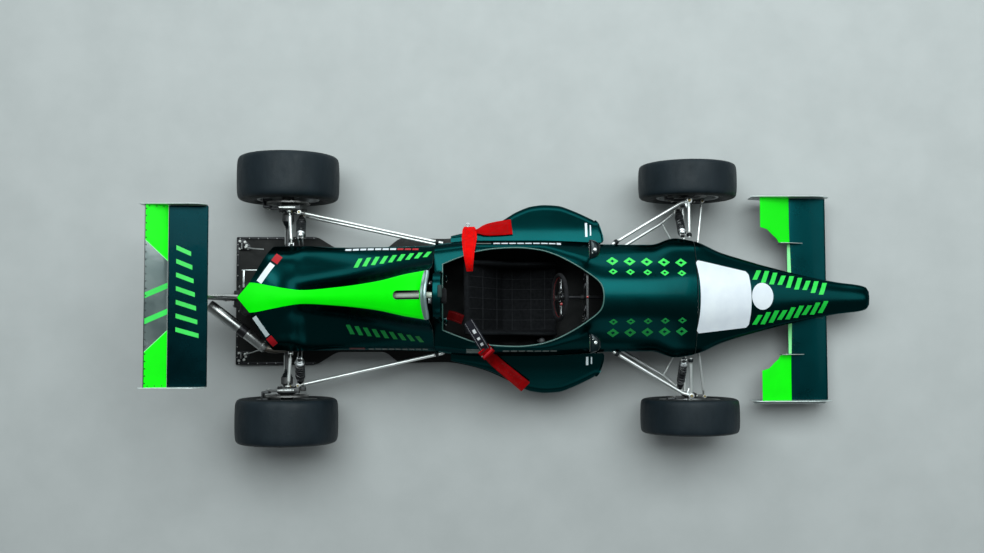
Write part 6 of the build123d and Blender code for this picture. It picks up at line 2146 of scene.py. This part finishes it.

# ---------------------------------------------------------------- gear lever with its gaiter
gl = Piece("gear_lever_stick")
gl.tube([(1440, -240, 57.5), (1446, -242, 220), (1452, -244, 372)], [8, 7.6, 7.0], "steel_tube", 18)
gl.rev([(0, -20), (7, -20), (9, -18), (14, -10), (19, 2), (19.6, 8), (17, 15), (10, 19.4), (0, 20)], (1452, -244, 392), (0.04, -0.01, 1), "black_plastic", 32)
gl.rev([(7, 0), (15, 0), (15, 4), (13, 5), (7, 6)], (1440, -240, 57), (0, 0, 1), "zinc", 24)
bell = [(24, 0)]
for k in range(5):
    q = 23 - 2.8 * k
    bell += [(q, 5 + k * 10), (q - 4, 10 + k * 10)]
bell += [(8, 58), (8, 0)]
gl.rev(bell, (1440, -240, 60), (0.03, -0.01, 1), "rubber", 28)
gl.done("chassis", "gear_lever", "floor_black")

# ---------------------------------------------------------------- steering wheel
HUB = np.array([1545.0, 0.0, 520.0])
ca, sa = math.cos(math.radians(14.3)), math.sin(math.radians(14.3))
AX = np.array([-ca, 0.0, sa])                    # towards the seat
UP = np.array([sa, 0.0, ca])
LEFT = np.array([0.0, 1.0, 0.0])


def on_wheel(a, r, h=0.0):
    return HUB + r * (math.cos(a) * LEFT + math.sin(a) * UP) + h * AX


sw = Piece("steering_wheel_rim")
N = 120
P, R = [], []
for k in range(N):
    a = 2 * math.pi * k / N
    s = math.sin(a)
    rr_ = 122 - (6.0 * max(0.0, -s - 0.75) / 0.25 if s < -0.75 else 0)
    P.append(on_wheel(a, rr_, 1.2 * math.cos(2 * a)))
    R.append(11.2 + 1.3 * math.cos(4 * a) ** 2)
sw.tube(P, R, "suede", 16, closed=True)
# stitched seam inside the rim
for k in range(150):
    a = 2 * math.pi * k / 150
    b = a + 0.016
    q = 122 - 12.2 - (6.0 * max(0.0, -math.sin(a) - 0.75) / 0.25 if math.sin(a) < -0.75 else 0)
    sw.tube([on_wheel(a, q - 0.3, 2.2), on_wheel(b, q - 0.5, 0), on_wheel(b + 0.01, q - 0.3, -2.2)], 0.7, "thread_red", 5)
for a in (0.0, math.pi, -math.pi / 2):
    u = math.cos(a) * LEFT + math.sin(a) * UP
    v = -math.sin(a) * LEFT + math.cos(a) * UP
    prof = round_outline([(22, -17), (60, -12), (104, -15), (117, -20), (117, 20), (104, 15), (60, 12), (22, 17)], [4, 20, 10, 4, 4, 10, 20, 4], 4)
    Q = [(q[0], q[1]) for q in prof]
    M4 = Matrix(((u[0], v[0], AX[0], HUB[0]), (u[1], v[1], AX[1], HUB[1]), (u[2], v[2], AX[2], HUB[2]), (0, 0, 0, 1)))
    sw.prism(Q, "z", -8.6, -3.6, "alloy", r=1.0, M4=M4)
    for x in (52, 78):
        c = HUB + u * x - AX * 3.8
        ring = [c + 6.2 * (math.cos(t) * u + math.sin(t) * v) for t in np.linspace(0, 2 * math.pi, 20, endpoint=False)]
        sw.tube(ring, 1.1, "alloy", 6, closed=True)
        sw.rev([(0, 0), (5.6, 0), (5.6, 0.5), (0, 0.5)], c, AX, "inside_black", 18)
sw.rev([(0, -13), (32, -13), (33.6, -11), (33.6, -4), (32, -3), (24, -2.4), (20, 1), (0, 1.6)], HUB, AX, "anodised_black", 40)
for k in range(6):
    a = math.radians(60 * k + 30)
    sw.bolt(on_wheel(a, 27, -2.8), AX, "zinc", 3.4, 2.6, hexed=False)
sw.rev([(0, 1), (14, 1), (14, 3), (12, 5.4), (0, 6)], HUB, AX, "black_plastic", 28)
for y, m in ((-1, "lamp_red"), (1, "black_plastic")):
    c = on_wheel(math.pi / 2 - y * 1.1, 44, -4)
    sw.rev([(0, -4), (7.5, -4), (7.5, 3), (5.6, 6), (0, 6.6)], c, AX, m, 18)
# quick release and column
sw.rev([(0, -38), (17, -38), (20, -34), (20, -20), (16, -13), (0, -13)], HUB, AX, "anodised_black", 32)
sw.rev([(20, -31), (23, -30), (23, -26), (20, -25)], HUB, AX, "bright_cap", 32)
sw.rev([(0, -765), (9.8, -765), (9.8, -30), (0, -30)], HUB, AX, "anodised_black", 24)
sw.rev([(9.7, -140), (14.5, -139), (14.5, -120), (9.7, -119)], HUB, AX, "case_dark", 24)
sw.done("steering_wheel", "steering_wheel", "wheel_rim_grip")

# ---------------------------------------------------------------- harness
def webbing(name, points, width, mats, t=2.6, steps=9, cut=0.42, belly=0.0):
    """Ribbon along a smooth line; width lies across the line's plan direction."""
    p = Piece(name)
    P, _ = rounded(points, cut, steps, 2)
    keep = [0] + [i for i in range(1, len(P)) if np.linalg.norm(P[i] - P[i - 1]) > 0.5]
    P = P[keep]
    d = P[-1] - P[0]
    d = np.array([d[0], d[1], 0.0])
    d /= np.linalg.norm(d)
    side = np.array([-d[1], d[0], 0.0])
    L = np.concatenate([[0], np.cumsum(np.linalg.norm(np.diff(P, axis=0), axis=1))])
    cols = 15
    top, bot = [], []
    T, _, _ = frames_along(P)
    for i in range(len(P)):
        n = np.cross(T[i], side)
        if n[2] < 0 and abs(n[2]) > 0.02:
            n = -n
        if i and np.dot(n, last_n) < 0:
            n = -n
        last_n = n
        w = width(P[i]) if callable(width) else width
        row_t, row_b = [], []
        for j in range(cols):
            u = j / (cols - 1) * 2 - 1
            lift = belly * math.sin(math.pi * L[i] / L[-1]) * (1 - u * u)
            wave_ = 0.9 * math.sin(L[i] / 31.0 + 2.0 * u)
            th = t * (0.55 if abs(u) > 0.99 else (1.18 if 0.80 < abs(u) < 0.95 else 1.0))
            c = P[i] + side * u * w / 2 + n * (lift + wave_ + 2.0)
            row_t.append(c + n * th / 2)
            row_b.append(c - n * th / 2)
        top.append(row_t)
        bot.append(row_b)
    G = np.concatenate([np.array(top), np.array(bot)[:, ::-1]], axis=1)
    R_, C_ = G.shape[:2]
    F = grid_faces(R_, C_, True)
    F += [tuple(range(C_)), tuple((R_ - 1) * C_ + j for j in range(C_ - 1, -1, -1))]
    V = G.reshape(-1, 3)
    nrm = vertex_normals(V, F[:-2])
    cen = V.reshape(R_, C_, 3).mean(1)
    if ((nrm.reshape(R_, C_, 3)) * (V.reshape(R_, C_, 3) - cen[:, None])).sum() < 0:
        F = [tuple(reversed(f)) for f in F]
    p.add(V, F, mats[0])
    # two rows of stitches along the edges
    top = np.array(top)
    for j in (2, cols - 3):
        line = top[:, j]
        LL = np.concatenate([[0], np.cumsum(np.linalg.norm(np.diff(line, axis=0), axis=1))])
        s = 4.0
        while s < LL[-1] - 6:
            a = np.array([np.interp(s, LL, line[:, k]) for k in range(3)])
            b = np.array([np.interp(s + 4.2, LL, line[:, k]) for k in range(3)])
            up_ = np.array([0, 0, 0.5])
            p.tube([a, (a + b) / 2 + up_ * 0.9, b], 0.75, mats[1], 5)
            s += 6.6
    return p, top, L


def box_stitch(p, top, i0, i1, mat):
    """Sewn box with a cross near an end."""
    a, b, c, d = top[i0, 3], top[i0, -4], top[i1, -4], top[i1, 3]
    for q, r in ((a, b), (b, c), (c, d), (d, a), (a, c), (b, d)):
        n = 8
        for k in range(n):
            u, v = q + (r - q) * (k / n), q + (r - q) * ((k + 0.6) / n)
            p.tube([u, (u + v) / 2 + np.array([0, 0, 0.8]), v], 0.8, mat, 5)


wide_a = smooth([140, 165, 205, 245, 278, 335, 385, 404], [34, 40, 52, 62, 72, 84, 76, 56])
left_a, top, L = webbing("harness_left_shoulder", [(1050, 142, 596), (1049, 172, 622), (1047, 214, 632), (1046, 262, 606), (1046, 300, 540), (1046, 336, 440), (1044, 402, 404)], lambda q: float(wide_a(q[1])), ("web_red", "thread_red"), belly=5.0)
box_stitch(left_a, top, 2, 8, "thread_red")
box_stitch(left_a, top, len(top) - 9, len(top) - 2, "thread_red")
# bright loop at the outer end
q = top[-1].mean(0)
ring = [(1036 + 10 * math.cos(t), 412 + 10 * math.sin(t), 412 + 2 * math.sin(t)) for t in np.linspace(0, 2 * math.pi, 20, endpoint=False)]
left_a.tube(ring, 2.2, "bright_cap", 8, closed=True)
left_a.done("chassis", "harness_straps", "webbing", sharp=50)
wide_b = smooth([1076, 1092, 1120, 1150, 1200, 1284], [22, 27, 52, 68, 78, 85])
# the lap strap is the red webbing in a darker red: painted half shade
left_b, top, L = webbing("harness_left_lap", [(1076, 374, 417), (1120, 381, 417), (1160, 388, 412), (1284, 402, 412)], lambda q: float(wide_b(q[0])), ("web_red_mid", "thread_red"), belly=3.0)
box_stitch(left_b, top, len(top) - 9, len(top) - 2, "thread_red")
left_b.done("chassis", (), "webbing", sharp=50)

# this strap end is the red webbing in a very dark red: painted deep shade inside the cockpit
right_in, top, L = webbing("harness_right_inner", [(930, -98, 576), (966, -106, 598), (1012, -126, 606)], 52, ("web_red_deep", "thread_red"))
right_in.done("chassis", (), "webbing", sharp=50)
right_a, top, L = webbing("harness_right_shoulder", [(1040, -134, 611), (1084, -204, 627), (1118, -262, 617), (1134, -288, 584)], 56, ("web_black", "thread_light"))
# row of plain pale marks along the black webbing
for i in range(4, len(top) - 6, 7):
    a, b = top[i, 5:10], top[i + 3, 5:10]
    G = np.array([a, (a + b) / 2, b]) + np.array([0, 0, 0.4])
    right_a.shell(G, 0.4, "thread_light", core=(G[:, :, 1].mean(), G[:, :, 2].mean() - 300))
right_a.done("chassis", (), "webbing", sharp=50)
# the right lap strap is the red webbing in a dark red: painted shade on the car's right side
right_b, top, L = webbing("harness_right_lap", [(1126, -276, 596), (1150, -313, 536), (1176, -344, 444), (1204, -370, 418), (1360, -500, 370)], lambda q: 60 + 0.045 * (q[0] - 1126), ("web_red_dark", "thread_red"))
box_stitch(right_b, top, len(top) - 9, len(top) - 2, "thread_red")
right_b.done("chassis", (), "webbing", sharp=50)
# adjusters; the webbing at them is the red webbing in darker reds, painted shade
ad = Piece("harness_adjusters")
u = unit([48, -52, -44])
side = unit([52, 48, 0])
n = unit(np.cross(side, u))
if n[2] < 0:
    n = -n
c = np.array([1137.0, -298.0, 574.0])
M4 = Matrix(((u[0], side[0], n[0], c[0]), (u[1], side[1], n[1], c[1]), (u[2], side[2], n[2], c[2]), (0, 0, 0, 1)))
ad.box(-30, 34, -38, 38, 2, 9, "web_red_dark", 3, M4)
ad.box(-18, -13, -30, 30, 8, 11, "anodised_black", 1.5, M4)
ad.box(6, 20, -35, 35, 7, 14, "vinyl_red", 4, M4)
ad.box(-30, -24, -36, 36, 4, 10, "web_red_mid", 2, M4)
for y in (-33, 33):
    ad.rev([(0, 0), (4, 0), (4, 4), (0, 5)], c + side * y + n * 9, n, "zinc", 12)
ad.done("chassis", (), "webbing")

# ---------------------------------------------------------------- mirrors
mi = Piece("mirror_pods")
prof = np.array(round_outline([(1702, 612), (1702, 666), (1722, 674), (1750, 662), (1766, 640), (1750, 618), (1722, 606)], [6, 6, 14, 16, 18, 16, 14], 5))
rows = []
for t_ in np.linspace(-1, 1, 27):
    y = 255.0 + 52.5 * math.sin(t_ * math.pi / 2)
    s_ = abs((y - 255.0) / 53.0)
    kz = (1 - s_ ** 4) ** 0.25
    kx = (1 - s_ ** 2.4) ** (1 / 2.0)
    z = 640.0 + (prof[:, 1] - 640.0) * max(kz, 0.25)
    x = 1702.0 + (prof[:, 0] - 1702.0) * max(kx, 0.10)
    rows.append(np.column_stack([x, np.full(len(prof), y), z]))
G = np.array(rows)
R_, C_ = G.shape[:2]
F = grid_faces(R_, C_, True)
F += [tuple(range(C_)), tuple((R_ - 1) * C_ + j for j in range(C_ - 1, -1, -1))]
V = G.reshape(-1, 3)
nrm = vertex_normals(V, F[:-2])
if ((V - V.mean(0)) * nrm).sum() < 0:
    F = [tuple(reversed(f)) for f in F]
mi.add(V, F, "mirror_shell")
mi.prism(round_outline([(208, 614), (302, 614), (302, 664), (208, 664)], 14, 5), "x", 1699.6, 1702.5, "black_plastic", r=1.0)
mi.prism(round_outline([(213, 619), (297, 619), (297, 659), (213, 659)], 10, 5), "x", 1698.8, 1700.4, "mirror_glass", r=0.4, seg=1)
mi.bend([(1730, 246, 452), (1730, 251, 530), (1728, 254, 610)], 6.8, "anodised_black", 16)
mi.rev([(0, 0), (13, 0), (15, 3), (13, 8), (7, 12), (0, 12)], (1728, 254, 602), (0, 0, 1), "anodised_black", 24)
mi.bolt((1730, 252, 670), (0.1, 0, 1), "bright_cap", 6.0, 4.4, washer="zinc")
mi.bolt((1716, 234, 673), (0.1, 0, 1), "zinc", 3.4, 2.4, hexed=False)
mi.mirror()
mi.done("chassis", "mirrors", "body_paint")


# ---------------------------------------------------------------- plain stripes, blank panel and patches
def cover_z(x, y):
    """Height of the engine cover's skin above (x, y), from its widest place upwards."""
    P, mids = cover_half(float(min(x, 849.0)))
    T = P[mids[1] - 4:]
    return float(np.interp(-abs(y), -T[:, 0], T[:, 1]))


def laid(p, corners, n, m, mat, zf, lift=0.9, t=0.5, bow=0.0):
    """Thin film over a four-sided place (x, y), laid on the skin below it."""
    a, b, c, d = [np.asarray(q, float) for q in corners]
    G = np.zeros((n + 1, m + 1, 3))
    for i in range(n + 1):
        u = i / n
        for j in range(m + 1):
            v = j / m
            q = (1 - u) * (1 - v) * a + u * (1 - v) * b + u * v * c + (1 - u) * v * d
            x, y = q[0], q[1] + bow * 4 * u * (1 - u)
            G[i, j] = (x, y, zf(x, y))
    V = G.reshape(-1, 3)
    F = grid_faces(n + 1, m + 1)
    nn = vertex_normals(V, F)
    if nn[:, 2].sum() < 0:
        nn = -nn
    G = (V + nn * lift).reshape(G.shape)
    p.shell(G, t, mat, core=(G[:, :, 1].mean(), G[:, :, 2].mean() - 400))


def disc_laid(p, cx, cy, rx, ry, mat, zf, lift=1.4, t=0.6, rings=6, n=40):
    G = np.zeros((rings + 1, n, 3))
    for i in range(rings + 1):
        k = max(0.02, i / rings)
        for j in range(n):
            a = 2 * math.pi * j / n
            x, y = cx + rx * k * math.cos(a), cy + ry * k * math.sin(a)
            G[i, j] = (x, y, zf(x, y) + lift)
    p.shell(G, t, mat, closed=True, core=(G[:, :, 1].mean(), G[:, :, 2].mean() - 400))
    p.add([G[0, j] for j in range(n)], [tuple(range(n))], mat)


# blank number panel: rounded corners come from rows that shorten near the ends
pn = Piece("number_panel_blank")
NP = 22
rowsG = []
for i in range(NP + 1):
    u = i / NP
    xa = 2306 + (2614 - 2306) * u
    yl = 208 + (143 - 208) * u
    yr = -203 + (-168 + 203) * u
    e = min(u, 1 - u) * (2614 - 2306)
    cutc = 0.0 if e > 16 else 16 - math.sqrt(max(0.0, 16 ** 2 - (16 - e) ** 2))
    ys = np.linspace(yl - cutc, yr + cutc, 41)
    bow = (19.0 + (12.0 - 19.0) * u)
    xs = [xa + bow * (1 - (2 * (y - yr) / (yl - yr) - 1) ** 2) for y in ys]
    rowsG.append([(x, y, top_z(x, y)) for x, y in zip(xs, ys)])
G = np.array(rowsG)
F = grid_faces(*G.shape[:2])
nn = vertex_normals(G.reshape(-1, 3), F)
if nn[:, 2].sum() < 0:
    nn = -nn
G = (G.reshape(-1, 3) + nn * 1.5).reshape(G.shape)
pn.shell(G, 0.9, "vinyl_white", core=(0, 100))
disc_laid(pn, 2694, 6, 64, 76, "vinyl_white", top_z)
pn.done("chassis", (), "body_paint", sharp=60)

# lozenges on the front deck, in straight rows
# the lozenges on the right side are drawn in a darker green: painted shade
de = Piece("deck_lozenges")
for k in range(5):
    x = 1838 + k * 96
    for y, sx, sy in ((198, 34, 24), (138, 25, 17)):
        for sgn in (1, -1):
            c = np.array([x, sgn * (y - 0.02 * (x - 1838))])
            outer = [c + np.array(q) for q in ((-sx, 0), (0, sy), (sx, 0), (0, -sy))]
            mat = "neon_soft" if sgn > 0 else "green_shaded"
            for q, r in zip(outer, outer[1:] + outer[:1]):
                qi, ri = c + (q - c) * 0.36, c + (r - c) * 0.36
                laid(de, (q, r, ri, qi), 3, 1, mat, top_z)
de.done("chassis", (), "body_paint", sharp=60)

# slanted bars on the nose, in two groups
# the bars on the right side are drawn in a darker green that also glows: painted shade and a painted glow
nb = Piece("nose_bars")
for sgn in (1, -1):
    for k in range(9):
        x = 2652 + k * 50
        yc = sgn * (126 - 0.185 * (x - 2652))
        h = 34 if k % 3 else 27
        sl = 16
        laid(nb, ((x - sl, yc - h), (x + 28 - sl, yc - h), (x + 28 + sl, yc + h), (x + sl, yc + h)), 2, 6, "neon_soft" if sgn > 0 else "green_half_shade_glow", top_z)
nb.done("chassis", (), "body_paint", sharp=60)

# bars on both flanks of the engine cover
# the bars on the right flank are drawn in a darker green: painted shade
fb = Piece("cover_flank_bars")
for sgn, x0, mat in ((1, 420, "neon_soft"), (-1, 378, "green_shaded")):
    for k in range(9):
        x = x0 + k * 48
        yc = 190 + 0.115 * (x - x0) if sgn > 0 else 176 + 0.14 * (x - x0)
        h = 26 - 1.2 * k
        laid(fb, ((x - 12, sgn * (yc - h)), (x + 12, sgn * (yc - h)), (x + 36, sgn * (yc + h)), (x + 12, sgn * (yc + h))), 2, 5, mat, cover_z, lift=1.2)
fb.done("chassis", (), "body_paint", sharp=60)

# plain pale strips with red ends at the tail, and the thin lines along the sides
st = Piece("plain_strips")


def strip(p, a, b, w, mat, zf, n=8, bow=0.0, lift=0.9, m=2):
    a, b = np.array(a, float), np.array(b, float)
    d = (b - a) / np.linalg.norm(b - a)
    s = np.array([-d[1], d[0]]) * w / 2
    laid(p, (a - s, b - s, b + s, a + s), n, m, mat, zf, lift=lift, bow=bow)


# on the car's right side the white and red marks are drawn in darker copies of their colours: painted shade
strip(st, (-107, 84), (-38, 186), 33, "vinyl_white", cover_z, 8)
strip(st, (-30, 195), (-4, 234), 42, "vinyl_red", cover_z, 4)
strip(st, (-134, -106), (-63, -211), 26, "vinyl_white_shaded", cover_z, 8)
strip(st, (-59, -217), (-29, -260), 38, "vinyl_red", cover_z, 4)
for k in range(10):
    x = 352 + k * 42
    strip(st, (x, 268 + 3 * math.sin(k / 3)), (x + 34, 268 + 3 * math.sin((k + 1) / 3)), 11, "vinyl_white" if k < 7 else "vinyl_red", cover_z, 3, lift=1.2)
for k in range(9):
    x = 482 + k * 38
    strip(st, (x, -284 - 0.3 * k), (x + 28, -284.3 - 0.3 * k), 7, "grey_and_shaded_white", cover_z, 3, lift=1.2)
strip(st, (374, -282), (462, -282), 8, "red_shaded", cover_z, 4, lift=1.2)
for k in range(9):
    x = 1180 + k * 44
    strip(st, (x, 297), (x + (37 if k < 8 else 24), 297), 7 if k < 8 else 12, "vinyl_white", top_z, 3, lift=1.2)
strip(st, (1085, 297), (1168, 297), 4, "grey_and_shaded_white", top_z, 6, lift=1.2)
for k in range(7):
    x = 1230 + k * 44
    strip(st, (x, -297), (x + 36, -297), 6, "grey_and_shaded_white", top_z, 3, lift=1.2)
strip(st, (1030, -296), (1130, -296), 22, "grey_and_shaded_white", top_z, 6, lift=1.2)
for sgn, mat in ((1, "vinyl_white"), (-1, "vinyl_white_shaded")):
    y0, y1 = (345, 425) if sgn > 0 else (300, 372)
    zf = lambda x, y: float(pod_top(abs(y)))
    strip(st, (1706, sgn * y0 if sgn > 0 else -332), (1706, sgn * y1 if sgn > 0 else -378), 13, mat, zf, 6)
    strip(st, (1730, sgn * y0 + 6 if sgn > 0 else -332), (1730, sgn * y1 - 12 if sgn > 0 else -372), 7, mat, zf, 6)
st.done("chassis", (), "body_paint", sharp=60)


# ---------------------------------------------------------------- plain finishes of the kept nodes: a helper, never called
def finish(names, m):
    for n in names.split():
        if n in NODES:
            NODES[n].data.materials.clear()
            NODES[n].data.materials.append(MAT[m])



print("triangles", sum(TRIS.values()), sorted(TRIS.items(), key=lambda kv: -kv[1])[:8])
